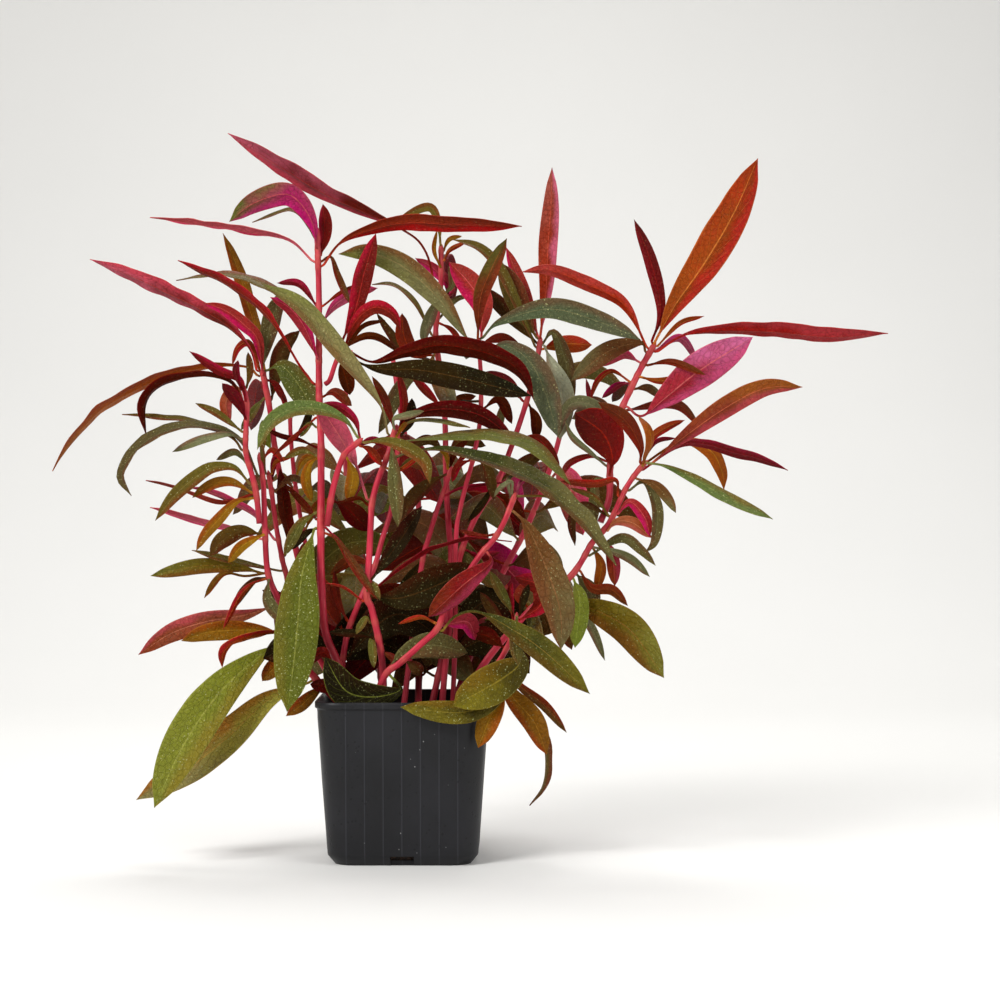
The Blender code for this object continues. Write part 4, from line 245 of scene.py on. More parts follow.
# %% Table of large leaves
# Each leaf: its stem; the points (across, down) where the view shows its midrib, from base to tip;
# the width it shows there in mm; how far its tip leans toward the eye in mm; which face shows;
# its tone; the share of its length that is a narrow stalk; for a large leaf, its own name; and how
# far its middle bulges toward the eye in mm.
LARGE_LEAVES = [
    Leaf("stem_middle_back", [(440, 288), (425, 250), (400, 228), (320, 190), (228, 133)],
         8.0, 26, UNDER, "crimson", 0.26, "leaf_longest_crimson_top_left"),
    Leaf("stem_tall_left", [(318, 250), (313, 225), (300, 203), (283, 194), (252, 204), (229, 222)],
         13.0, 8, UNDER, "magenta", 0.05, "leaf_bent_magenta_top"),
    Leaf("stem_tall_left", [(320, 268), (340, 243), (370, 229), (410, 222), (460, 224), (522, 226)],
         7.5, 34, UNDER, "crimson", 0.1, "leaf_dark_crimson_top"),
    Leaf("stem_side_shoot_left", [(345, 343), (355, 310), (365, 270), (376, 233)],
         10.5, 16, UPPER, "crimson", 0.08, "leaf_upright_crimson_left"),
    Leaf("stem_middle_thin", [(480, 350), (464, 334), (440, 300), (405, 268), (370, 253), (338, 254)],
         13.5, 24, UPPER, "olive", 0.06, "leaf_arched_olive_middle"),
    Leaf("stem_back_left", [(262, 368), (250, 348), (225, 322), (180, 298), (130, 275), (90, 259)],
         6.5, 4, UNDER, "crimson", 0.08, "leaf_far_left_crimson"),
    Leaf("stem_centre", [(392, 437), (378, 400), (335, 345), (300, 305), (262, 284)],
         10.5, 26, UPPER, "khaki", 0.12, "leaf_khaki_over_tall_stem"),
    Leaf("stem_back_left", [(262, 366), (282, 366), (302, 390), (314, 416)],
         15.0, 30, UPPER, "dark_green", 0.05, "leaf_dark_speckled_left"),
    Leaf("stem_second_left", [(363, 440), (345, 420), (320, 409), (290, 410), (268, 425), (257, 450)],
         8.5, 20, UPPER, "green", 0.05, "leaf_pale_green_bow_left"),
    Leaf("stem_centre", [(371, 500), (362, 483), (356, 465), (342, 440), (328, 418), (318, 404)],
         12.5, 14, UNDER, "magenta", 0.3, "leaf_magenta_centre"),
    Leaf("stem_side_shoot_left", [(343, 350), (373, 362), (405, 352), (440, 345), (485, 352),
                                  (520, 370), (534, 400)],
         9.5, 20, UNDER, "maroon", 0.1, "leaf_maroon_bow_centre"),
    Leaf("stem_side_shoot_left", [(341, 354), (375, 368), (420, 370), (470, 380), (532, 396)],
         14.0, 30, UPPER, "dark_green", 0.1, "leaf_blackish_centre"),
    Leaf("stem_middle_thin", [(478, 334), (500, 322), (550, 309), (600, 322), (641, 340)],
         12.5, 22, UPPER, "grey_green", 0.05, "leaf_blue_green_upper_right"),
    Leaf("stem_middle_thin", [(474, 330), (480, 300), (490, 272), (507, 238)],
         9.5, 12, UNDER, "brown", 0.05, "leaf_brown_upright_centre"),
    Leaf("stem_middle_thin", [(478, 332), (482, 305), (468, 282), (449, 262)],
         14.5, -18, UNDER, "magenta", 0.05, "leaf_magenta_behind_top"),
    Leaf("stem_middle_right", [(541, 338), (546, 290), (548, 245), (551, 205), (552, 167)],
         10.5, -4, UNDER, "orange_red", 0.04, "leaf_red_spire"),
    Leaf("stem_right_upper", [(652, 350), (625, 305), (590, 285), (550, 270), (521, 272)],
         7.5, 22, UNDER, "crimson", 0.08, "leaf_crimson_right_to_middle"),
    Leaf("stem_right_upper", [(655, 345), (675, 305), (705, 262), (735, 210), (758, 158)],
         20.0, 14, UNDER, "orange_red", 0.05, "leaf_orange_red_top_right"),
    Leaf("stem_right_upper", [(656, 350), (690, 333), (760, 330), (830, 336), (888, 333)],
         7.0, 6, UNDER, "crimson", 0.1, "leaf_far_right_crimson"),
    Leaf("stem_right_upper", [(624, 406), (642, 416), (665, 398), (700, 370), (753, 337)],
         20.0, 20, UNDER, "magenta", 0.14, "leaf_crinkled_pink_right"),
    Leaf("stem_right", [(646, 462), (680, 440), (725, 408), (765, 388), (803, 387)],
         11.5, 22, UNDER, "rose", 0.08, "leaf_rose_brown_right"),
    Leaf("stem_right", [(646, 462), (665, 466), (692, 478), (730, 499), (773, 519)],
         6.5, 30, UPPER, "green", 0.05, "leaf_fresh_green_right"),
    Leaf("stem_right_upper", [(610, 476), (612, 455), (602, 432), (575, 413)],
         22.0, 14, UNDER, "deep_red", 0.1, "leaf_deep_red_right"),
    Leaf("stem_middle_thin", [(481, 352), (505, 345), (530, 362), (546, 395), (558, 437)],
         15.0, 30, UPPER, "grey_green", 0.06, "leaf_grey_green_hanging"),
    Leaf("stem_middle_right", [(541, 345), (552, 365), (562, 395), (560, 440)],
         13.0, 22, UPPER, "pale", 0.06, "leaf_pale_hanging"),
    Leaf("stem_centre", [(392, 442), (440, 437), (490, 435), (530, 445), (555, 467), (571, 485)],
         7.0, 34, UPPER, "olive", 0.06, "leaf_olive_bow_centre"),
    Leaf("stem_centre", [(387, 458), (418, 450), (455, 452), (525, 475), (575, 512), (617, 566)],
         10.5, 44, UPPER, "green_dark_tip", 0.1, "leaf_green_bow_centre"),
    Leaf("stem_centre", [(394, 430), (405, 418), (440, 409), (480, 415), (515, 440)],
         10.0, 14, UNDER, "crimson", 0.05, "leaf_crimson_bow_centre"),
    Leaf("stem_pink_front", [(512, 510), (527, 526), (545, 565), (560, 610), (561, 650)],
         18.0, 24, UPPER, "brown_olive", 0.05, "leaf_olive_brown_hanging"),
    Leaf("stem_pink_front", [(437, 629), (456, 616), (478, 612), (510, 628), (545, 652), (590, 694)],
         13.5, 30, UPPER, "olive_orange", 0.26, "leaf_olive_orange_low_right"),
    Leaf("stem_right", [(562, 585), (575, 603), (600, 612), (632, 632), (664, 678)],
         18.0, 30, UPPER, "olive_orange", 0.05, "leaf_olive_yellow_low_right"),
    Leaf("stem_low_right", [(510, 640), (520, 662), (500, 680), (453, 706)],
         21.0, 26, UPPER, "yellow_green", 0.05, "leaf_broad_yellow_green_rim"),
    Leaf("stem_pink_front", [(388, 674), (400, 690), (372, 697), (345, 690), (325, 657)],
         17.0, 28, UPPER, "dark_green", 0.1, "leaf_dark_curled_front_rim"),
    Leaf("stem_tall_left", [(321, 530), (302, 575), (298, 620), (293, 668), (287, 712)],
         24.0, 36, UPPER, "dotted_green", 0.04, "leaf_dotted_green_hanging_left"),
    Leaf("stem_outer_left", [(292, 638), (252, 662), (215, 698), (182, 748), (154, 808)],
         23.0, 48, UPPER, "dotted_green", 0.05, "leaf_long_green_low_left"),
    Leaf("stem_outer_left", [(310, 678), (268, 700), (230, 735), (186, 770), (136, 800)],
         19.0, 22, UPPER, "yellow_green", 0.06, "leaf_orange_green_low_left"),
    Leaf("stem_back_left", [(262, 370), (245, 366), (200, 367), (150, 382), (100, 410), (68, 445),
                            (52, 471)],
         5.0, 28, UNDER, "gold", 0.05, "leaf_long_orange_bow_left"),
]
print("large leaves", len(LARGE_LEAVES))

# %% [markdown]
# ## The small leaves
# These grow out of their stem's own solid, so they have no name of their own.

# %% Table of small leaves
# Under each stem a row for each of its leaves: the width it shows, its tip's lean, its face, its tone,
# and for some its stalk's share and its bulge; then the points of its midrib in the view.
SMALL_LEAF_ROWS = """
# Top of the tall left stem
stem_tall_left
  8 -12 under crimson: 319 258, 325 232, 323 204
  3.2 -10 under pink: 317 262, 290 240, 250 231, 200 224, 150 217
  3 -26 upper olive: 317 240, 295 210, 252 222
  4 12 upper brown: 320 264, 331 257, 338 276, 350 304
  2 -4 under crimson: 319 304, 340 293, 358 284
  6.5 -10 under pink: 319 324, 335 305, 355 293, 378 288
  4.2 -16 under crimson: 319 304, 300 284, 277 283
  5 -18 upper olive: 319 347, 300 310, 265 285, 225 274, 176 280
  7.5 16 under magenta: 319 358, 305 328, 290 308, 270 297
  4.2 10 under crimson 0.2: 319 384, 300 365, 285 340, 262 308, 230 285, 178 260
  6 8 under brown: 320 396, 335 392, 352 406
  3.5 4 upper green: 321 425, 310 424, 300 437
  2.6 12 under crimson: 321 418, 295 437, 272 456
  2.8 2 under maroon: 321 450, 300 440, 282 436, 262 427
  4.5 -6 upper olive: 321 452, 303 450, 284 458
  6 -12 upper gold: 321 455, 309 465, 306 482, 312 502
  6.5 8 upper green: 321 515, 300 525, 284 556
  3.8 -6 under maroon: 321 522, 305 505, 284 483
  4.5 -12 upper dark_green: 321 526, 305 534, 290 550
  4.8 14 upper brown: 321 532, 337 540, 355 567, 378 600
  2.4 2 under crimson: 321 530, 340 543, 355 565
  6 6 under deep_red: 338 664, 322 652, 303 668
  8 14 under deep_red: 344 676, 334 686, 310 684
  7.5 6 upper gold 0.3: 342 672, 332 684, 316 692, 300 706, 286 716
# Second branch of the tall stem, and its side shoot
stem_second_left
  7.5 16 upper olive: 362 439, 385 441, 408 449, 425 462, 430 484
  5 -8 under crimson: 361 440, 355 420, 340 407, 322 403
  4.6 -4 under crimson: 360 441, 370 450, 382 466
  7.5 -8 upper gold: 345 456, 353 476, 348 502
  12 -12 under maroon: 328 500, 347 508, 370 531
stem_side_shoot_left
  7.5 12 under crimson: 344 347, 357 320, 375 307, 392 314, 401 330
  2.4 -8 under maroon: 343 350, 362 327, 385 320
  4.2 -10 under maroon: 341 352, 362 337, 380 338, 400 353
  9 -10 under maroon: 338 358, 345 375, 350 395
# Centre stem and the one behind it
stem_centre
  4 14 upper pale: 396 429, 394 419, 405 416, 424 411
  2.8 26 upper green: 397 427, 412 421, 440 421, 470 427
  2.8 6 upper gold: 396 430, 402 428, 407 422
  8.5 14 upper grey_green: 392 441, 394 470, 398 527
  2.6 10 under orange_red: 384 466, 400 470, 425 452
  2.6 4 under maroon: 371 505, 358 498, 338 504
  2.6 18 under crimson: 369 590, 400 568, 435 548, 475 538, 512 541
  10 4 upper dark_green: 369 580, 382 566, 400 540, 422 506
  20 4 upper dark_green: 368 594, 400 598, 440 584, 478 566
  1.8 4 under crimson: 369 600, 345 588, 326 583
  2.8 10 upper green: 368 592, 374 584, 380 600
  4.2 6 upper green: 374 620, 366 618, 356 634
  4.5 8 upper dark_green: 378 640, 360 634, 330 632
  4.5 10 upper green: 380 650, 372 640, 374 668
stem_behind_centre
  5 -6 under brown: 398 432, 385 400, 372 376
  5 -14 under crimson: 398 434, 404 402, 398 372
  6 -2 upper dark_green: 398 440, 410 420, 412 398
  4 -10 under crimson: 397 455, 375 440, 358 446
  6 -8 upper olive: 395 470, 412 462, 432 470
  6 -10 under brown: 376 565, 352 560, 330 575
  4 -6 under deep_red: 352 622, 338 600, 334 570
  5 -6 upper dark_green: 349 632, 330 636, 318 650
# Stems of the middle
stem_forked
  8.5 16 upper olive_dark: 450 474, 425 487, 411 500, 402 519
  3 4 under crimson: 451 470, 462 458, 478 446
  3 2 upper gold: 451 470, 446 455, 436 446
  4 -6 under maroon: 452 468, 455 452, 468 440
  1.8 4 under crimson: 442 495, 462 488, 505 482
  9 -8 upper dark_green: 423 560, 408 585, 398 612
stem_middle_back
  5 8 upper olive: 441 246, 438 222, 428 207, 398 219
  2.8 -6 upper gold: 441 250, 449 240, 462 236
  2.8 4 under orange_red: 441 262, 450 250, 466 242
  2.6 8 upper gold: 441 268, 434 250, 437 230
  6.5 -14 under magenta: 441 300, 452 290, 435 270, 415 258
  4 2 upper grey_green: 441 296, 452 285, 450 264
  6.5 14 upper pale: 437 348, 424 338, 430 318, 439 298
  9.5 8 under deep_red: 437 356, 414 352, 404 336, 402 313
  11 22 upper brown_olive: 437 352, 432 364, 443 386, 453 413
  3 -8 upper olive: 437 335, 414 302, 395 286, 372 284
  5 -16 upper olive_dark: 438 360, 405 350, 388 330, 376 312
  3.4 -6 upper grey_green: 440 318, 455 300, 470 296
  3.2 6 under crimson: 440 322, 452 330, 462 345
  5 -8 under crimson: 444 405, 430 395, 412 376
  5 -10 under maroon: 444 410, 456 400, 476 396
  6 -12 upper olive_dark: 446 452, 430 440, 410 446
  7 -10 upper olive_dark: 446 455, 462 440, 486 446
stem_middle_right
  13 -8 upper olive: 541 340, 524 316, 512 288, 500 262
  9 -20 upper olive_dark: 540 345, 515 320, 497 302, 483 287
  7.5 -26 under magenta: 541 340, 527 300, 516 272, 506 247
  8.5 8 upper grey_green: 541 342, 553 332, 564 356, 573 403
  10 -12 under orange_red: 540 348, 562 344, 592 345
  8 -12 under deep_red: 526 404, 508 384, 484 372
  6.5 -8 under maroon: 526 404, 536 420, 536 440
  5 -6 upper grey_green: 515 440, 500 425, 505 400
  6.5 -10 under crimson: 515 440, 540 440, 560 470
  7.5 -10 upper olive_dark: 500 480, 520 466, 545 452
  4 2 upper dark_green: 497 484, 485 500, 468 522
  7 -10 under maroon: 492 492, 510 500, 525 525
  4 -8 under crimson: 464 548, 480 556, 500 552
stem_middle_thin
  6.5 20 upper grey_green: 477 338, 472 345, 466 359
stem_middle_right
  6 0 upper olive: 541 342, 515 300, 499 268, 480 248, 452 239
stem_middle_thin
  6 -14 under deep_red: 480 345, 500 338, 520 345
  6.5 -10 under maroon: 481 384, 464 372, 446 366
  6 -10 under maroon: 480 410, 500 400, 512 424
  3.5 10 upper dark_green: 480 400, 462 404, 505 431
  6 -8 upper olive_dark: 474 455, 488 470, 494 500
  4 -6 under crimson: 474 458, 458 466, 452 482
# Front pink stem
stem_pink_front
  4.2 8 upper olive 0.3: 516 494, 530 496, 550 498, 577 515, 600 541
  2.8 4 upper pale: 516 494, 511 482, 500 488, 494 497
  2.8 -4 under pink: 516 495, 520 484, 532 472
  2.4 -8 upper pale: 516 497, 508 480, 516 474
  13 -14 under rose: 484 550, 490 563, 464 584, 428 617
  3 -8 under deep_red: 496 536, 480 536, 460 530
  2.6 3 under orange_red: 438 626, 420 617, 398 624
  9.5 -12 under magenta: 439 626, 452 623, 468 622, 475 640
  14 -14 upper grey_green: 392 670, 402 654, 432 645, 468 653
  7 -6 upper olive_dark: 404 659, 416 668, 420 676
  4 -8 under brown: 388 674, 394 660, 384 652
# Low right stem
stem_low_right
  7.5 22 upper green: 517 614, 516 640, 518 665
  5.5 8 upper green: 517 614, 500 590, 490 571
  4.5 10 upper dark_green: 517 614, 524 598, 529 584
  4 2 under crimson: 517 616, 510 596, 512 582
  11 -6 under crimson: 517 616, 540 606, 540 586, 514 577
  6 -2 upper olive_dark: 515 624, 500 620, 480 592
  5 -8 under crimson: 505 650, 524 640, 545 640
  9 -6 under maroon: 505 650, 488 636, 470 632
  12.5 28 upper yellow_green 0.05 13: 490 675, 502 692, 465 712, 400 707
  12 20 upper gold 0.2 8: 486 690, 500 694, 489 720, 478 748
  12.5 5 upper gold: 495 667, 512 696, 534 722, 547 755
  5.5 -6 upper brown: 498 662, 520 686, 545 706, 567 733
  5 -14 upper olive 0.3: 500 660, 530 700, 546 745, 545 782, 530 806
# Right stem
stem_right
  7.5 -4 under rose: 600 535, 612 556, 615 586
  10.5 12 upper fresh_green: 571 575, 580 602, 575 648
  9.5 -8 upper grey_green: 574 570, 588 588, 598 607
  5 -6 upper pale: 568 578, 583 612, 595 635, 605 661
  6 -2 under brown: 576 567, 592 588, 612 590, 628 606
  5 6 upper pale: 590 547, 612 551, 632 560, 650 577
  6 -8 under gold: 590 547, 601 566, 596 592
  5.5 16 upper grey_green 0.1 8: 585 553, 621 538, 641 550, 656 566
  6.5 8 under salmon: 604 530, 616 522, 633 523, 652 538
  3.2 12 upper olive: 612 517, 595 498, 570 488
  5 -6 upper olive_dark: 612 517, 585 505, 572 520, 575 546
  6.5 4 under magenta: 614 512, 630 502, 645 518, 650 537
  6.5 10 upper grey_green: 625 490, 645 482, 657 508, 655 540, 645 553
  6 16 upper brown_olive: 634 476, 655 485, 668 499, 676 513
  4.2 16 under crimson: 620 498, 616 480, 595 484, 560 481
  8.5 14 under brown: 643 465, 640 446, 625 420, 598 402
  4.8 -2 under orange_red: 645 463, 652 438, 667 427, 685 420
  3.8 8 under gold: 645 462, 650 442, 647 426, 638 416
  2.4 -12 under crimson: 646 462, 656 442, 676 438
  4.8 -10 under crimson: 644 464, 680 444, 705 443, 732 451, 760 458, 788 470
  8 -20 under gold 0.4: 643 466, 680 442, 709 450, 721 470, 724 490
  8 4 upper olive_dark: 545 598, 560 620, 572 650
  7 -10 under deep_red: 530 610, 520 596, 532 580
# Upper branch of the right stem
stem_right_upper
  7.5 -12 under deep_red: 655 344, 661 310, 651 262, 634 219
  2.4 -8 under orange_red: 655 346, 680 323, 704 316
  4.8 -18 under pink: 655 347, 680 338, 698 362
  11 8 upper brown_olive: 652 351, 640 343, 607 352, 571 381
  6.5 -12 under pink: 643 365, 622 354, 598 366
  4.2 18 under brown: 643 364, 672 362, 706 375
  4.2 8 under orange_red: 638 375, 660 381, 686 377
  2.8 -4 under orange_red: 634 382, 612 371, 598 380, 590 400
  4.2 -14 under magenta: 634 384, 618 385, 602 398
  6 -22 upper olive_dark: 630 392, 626 384, 612 402
  5 -16 upper brown_olive: 632 388, 648 388, 663 398
  6 -24 under brown: 622 408, 675 404, 700 426
  7.5 26 upper pale: 612 447, 622 438, 602 412, 580 402, 565 411, 558 438
  3.5 20 upper pale: 611 465, 590 452, 572 437, 565 420
  3.8 10 under crimson: 610 468, 590 456, 570 463, 560 479
  6.5 4 upper grey_green: 610 482, 596 480, 594 505, 590 536
  3 -14 under crimson: 612 440, 594 424, 590 398, 586 378
# Left outer stem and its curved branch
stem_outer_left
  3.8 2 upper green: 259 456, 263 442, 266 428
  3.4 6 under crimson: 260 458, 272 450, 284 462
  4.8 22 upper grey_green: 263 478, 240 440, 205 426, 165 431, 135 450, 121 475, 131 496
  9.5 10 upper olive_dark: 265 532, 240 532, 222 541, 210 556
  6 16 upper gold: 265 534, 242 546, 228 563
  3.8 -8 under pink: 265 537, 235 530, 200 522, 150 507
  8.5 6 upper olive_orange: 268 573, 240 568, 200 566, 150 576
  4.2 -8 upper gold 0.4: 268 573, 245 576, 222 574, 204 598
  3.4 10 under orange_red: 269 574, 250 585, 237 600, 223 629
  7 14 upper grey_green: 270 577, 268 600, 285 625
  4.8 2 upper olive_dark: 270 577, 255 580, 243 592, 233 609
  11.5 2 upper salmon: 281 606, 245 615, 205 622, 170 634, 138 655
  10.5 18 upper gold: 289 630, 255 630, 210 632, 181 641
  4 8 under orange_red: 290 634, 240 640, 224 650, 222 668
  9.5 10 upper gold: 297 652, 282 660, 262 681
stem_curved_left
  3 -6 under maroon: 247 408, 235 385, 215 376, 190 376, 160 384, 143 404, 146 436
  5 10 under crimson: 247 403, 240 380, 218 370, 189 351
  7 14 under deep_red: 246 420, 238 402, 222 383
  7 -4 under salmon: 247 408, 236 390, 226 402, 229 425
  4 0 under crimson: 244 388, 236 372, 238 360
  4 -8 upper olive_dark: 244 388, 250 372, 248 352
  4.2 -6 upper olive: 246 432, 232 424, 215 412, 195 403
  5 -20 upper pale: 246 440, 228 434, 200 440, 172 452
  3.8 -4 upper olive: 246 450, 230 436, 190 421, 155 417, 122 414
  4.2 -12 upper grey_green: 249 464, 235 452, 216 460
  7.5 20 upper olive: 255 484, 235 468, 215 467, 200 474, 175 495, 155 521
  6 8 upper gold: 257 492, 235 483, 220 482, 205 488, 192 498
  6.5 20 upper gold: 258 497, 236 502, 218 520, 205 535, 196 551
  2.2 -10 under crimson: 257 493, 220 503, 180 489, 146 480
# Left inner, back and thin stems
stem_inner_left
  3.4 26 under pink: 279 541, 255 515, 230 500, 210 491, 186 487
  3.4 24 upper olive: 285 570, 262 567, 240 562, 215 556, 192 550
  8 -8 under maroon: 282 558, 290 540, 284 505, 280 468
  3 2 upper olive: 269 474, 263 460, 261 440
  2.6 6 under orange_red: 269 474, 276 462, 292 457
  3.6 -4 under crimson: 270 482, 274 462, 280 448
  4.2 -8 upper brown_olive: 272 492, 292 478, 308 486
  5 -6 under brown: 288 580, 300 560, 304 542
  6 -6 upper olive_dark: 298 614, 284 600, 262 590
stem_back_left
  10.5 8 upper grey_green: 262 368, 266 345, 273 315, 285 290
  7.5 -6 upper gold: 262 368, 258 335, 250 310, 238 270, 223 233
  7.5 14 under magenta: 262 370, 258 340, 245 325, 225 310, 203 303
  4 -14 under orange_red: 262 372, 250 345, 238 348, 232 366
  4.2 -4 under deep_red: 264 378, 275 384, 285 402
  5 18 upper green: 268 398, 256 408, 241 430
  6 6 upper fresh_green: 276 450, 266 438, 262 420
  10 -10 upper olive_dark: 268 400, 282 352, 300 330
  5 -10 upper brown_olive: 290 520, 275 510, 266 498
stem_thin_left
  3.4 2 under crimson: 290 418, 284 400, 277 384
  3.4 -4 upper olive: 290 418, 297 402, 296 386
  4.5 -6 upper dark_green: 291 440, 305 425, 312 404
  4.5 8 upper gold: 294 475, 304 460, 318 455
  4 -8 upper brown_olive: 296 490, 282 476, 272 482
  5 2 upper gold: 303 530, 318 505, 334 500
"""
FACES = {"upper": UPPER, "under": UNDER}


def leaves_of(rows):
    """The leaves that a text table holds."""
    leaves, stem = [], None
    for row in rows.strip().splitlines():
        words, colon, sights = row.partition(":")
        if row.startswith("#"):
            continue
        if not colon:
            stem = row
            continue
        shown, lean, face, tone, *rest = words.split()
        stalk, belly = [float(word) for word in rest] + [USUAL_STALK, 0][len(rest):]
        places = [tuple(int(number) for number in sight.split()) for sight in sights.split(",")]
        leaves.append(Leaf(stem, places, float(shown), float(lean), FACES[face], tone,
                           stalk, None, belly))
    return leaves


SMALL_LEAVES = leaves_of(SMALL_LEAF_ROWS)
print("small leaves", len(SMALL_LEAVES))

# %% [markdown]
# ## Lines in space
# A `Route` is a smooth line through a few points that can be read at any distance along it.

# %% Routes
def smooth_line(points, steps=10):
    """A Catmull-Rom curve through the points, as many short straight pieces."""
    ends = [2 * points[0] - points[1]] + points + [2 * points[-1] - points[-2]]
    line = []
    for a, b, c, d in zip(ends, ends[1:], ends[2:], ends[3:]):
        for step in range(steps):
            t = step / steps
            line.append(0.5 * (2 * b + (c - a) * t + (2 * a - 5 * b + 4 * c - d) * t ** 2
                               + (3 * b - a - 3 * c + d) * t ** 3))
    return line + [points[-1]]


class Route:
    """A curved line that can be read at any distance along it."""

    def __init__(self, points):
        self.line = smooth_line(points)
        self.reach = [0.0]
        for a, b in zip(self.line, self.line[1:]):
            self.reach.append(self.reach[-1] + (b - a).length)
        self.length = self.reach[-1]
        self.across = self.carry(FIRST_ACROSS)

    def carry(self, first):
        """A sideways direction at each point, turned as little as can be from the one before."""
        carried = []
        for a, b in zip(self.line, self.line[1:]):
            heading = (b - a).normalized()
            first = (first - first.dot(heading) * heading).normalized()
            carried.append(first)
        return carried + [first]

    def place(self, distance):
        for i in range(1, len(self.line)):
            if distance <= self.reach[i]:
                part = (distance - self.reach[i - 1]) / max(self.reach[i] - self.reach[i - 1], TINY)
                return self.line[i - 1].lerp(self.line[i], part)
        return self.line[-1].copy()

    def heading(self, distance):
        near = min(max(distance, HEADING_HALF), self.length - HEADING_HALF)
        return (self.place(near + HEADING_HALF) - self.place(near - HEADING_HALF)).normalized()

    def sideways(self, distance, angle):
        """The direction square to the line at an angle round it."""
        low = max(i for i in range(len(self.reach)) if i == 0 or self.reach[i] <= distance)
        heading = self.heading(distance)
        across = self.across[low]
        across = (across - across.dot(heading) * heading).normalized()
        return across * math.cos(angle) + heading.cross(across) * math.sin(angle)

    def nearest(self, sight):
        """The distance along the line at which the front view shows it closest to these pixels."""
        def off(i):
            across, down = sight_of(self.line[i])
            return (across - sight[0]) ** 2 + (down - sight[1]) ** 2
        return self.reach[min(range(len(self.line)), key=off)]


def stem_routes():
    """The route of every stem; a fork starts just outside the stem that carries it."""
    routes = {}
    for name, stem in STEMS.items():
        points = [seen(*sight) for sight in stem.sights]
        if stem.parent:
            parent = routes[stem.parent]
            start = parent.place(parent.nearest(stem.sights[0][:2]))
            across = parent.heading(parent.nearest(stem.sights[0][:2]))
            aside = points[1] - start
            aside = (aside - aside.dot(across) * across).normalized()
            distance = (STEMS[stem.parent].thick * NODE_SWELL + stem.thick) / 2 * MM + TOUCH_GAP
            points[0] = start + aside * distance
            points[1] = points[1] + aside * distance * FORK_SHIFT_SHARE
        else:
            points.insert(0, Vector((stem.foot[0] * MM, stem.foot[1] * MM, STEM_FOOT_HEIGHT)))
        routes[name] = Route(points)
    return routes


def stem_radius(name, share):
    stem = STEMS[name]
    return (stem.thick + (stem.tip - stem.thick) * share) / 2 * MM


routes = stem_routes()
print("longest stem in mm", round(max(route.length for route in routes.values()) / MM))

# %% [markdown]
# ## Where leaves sit on a stem
# A stem's node has five sides, and no more than three of them carry a leaf.

# %% Seats on the stems
class Nodes:
    """The nodes of one stem and which of their sides are taken."""

    def __init__(self, route):
        self.route = route
        self.taken = {}

    def free_seats(self, wanted):
        """Every free side of a node, and of any place that has room for a node."""
        low = FIRST_NODE
        high = self.route.length - LAST_NODE_ROOM
        wanted = min(max(wanted, low), high)
        for at, sides in self.taken.items():
            if len(sides) < MOST_LEAVES_AT_NODE:
                yield from (Seat(at, side) for side in range(STEM_SIDES) if side not in sides)
        for i in range(-NODE_SEARCH, NODE_SEARCH + 1):
            at = wanted + i * NODE_SEARCH_STEP
            if low <= at <= high and all(abs(at - other) >= NODE_SPACING for other in self.taken):
                yield from (Seat(at, side) for side in range(STEM_SIDES))

    def seat(self, wanted, toward):
        """The free side that is near the wanted distance and faces a point as well as can be."""
        def cost(seat):
            root = self.route.place(seat.distance)
            out = self.route.sideways(seat.distance, math.tau * (seat.side + 0.5) / STEM_SIDES)
            facing = out.dot((toward - root).normalized())
            return abs(seat.distance - wanted) + FACING_WORTH * (1 - facing)
        best = min(self.free_seats(wanted), key=cost)
        self.taken.setdefault(best.distance, []).append(best.side)
        return best

    def give_up(self, seat):
        self.taken[seat.distance].remove(seat.side)
        if not self.taken[seat.distance]:
            del self.taken[seat.distance]


print("sides of a node", STEM_SIDES)

# %% [markdown]
# ## A leaf's blade in space
# `Blade` bends a leaf along its midrib and rolls it until the view shows its wanted width and face.

# %% Blades
def blade_half_width(share, width, stalk):
    """Half of a lance-shaped blade's width at a share of its length."""
    along = max(0.0, (share - stalk) / (1 - stalk))
    fullest = BLADE_FULLEST * (1 - BLADE_FULLEST) ** BLADE_TAPER
    blade = along * (1 - along) ** BLADE_TAPER / fullest
    return max(STALK_HALF_WIDTH * (1 - along), width / 2 * blade)


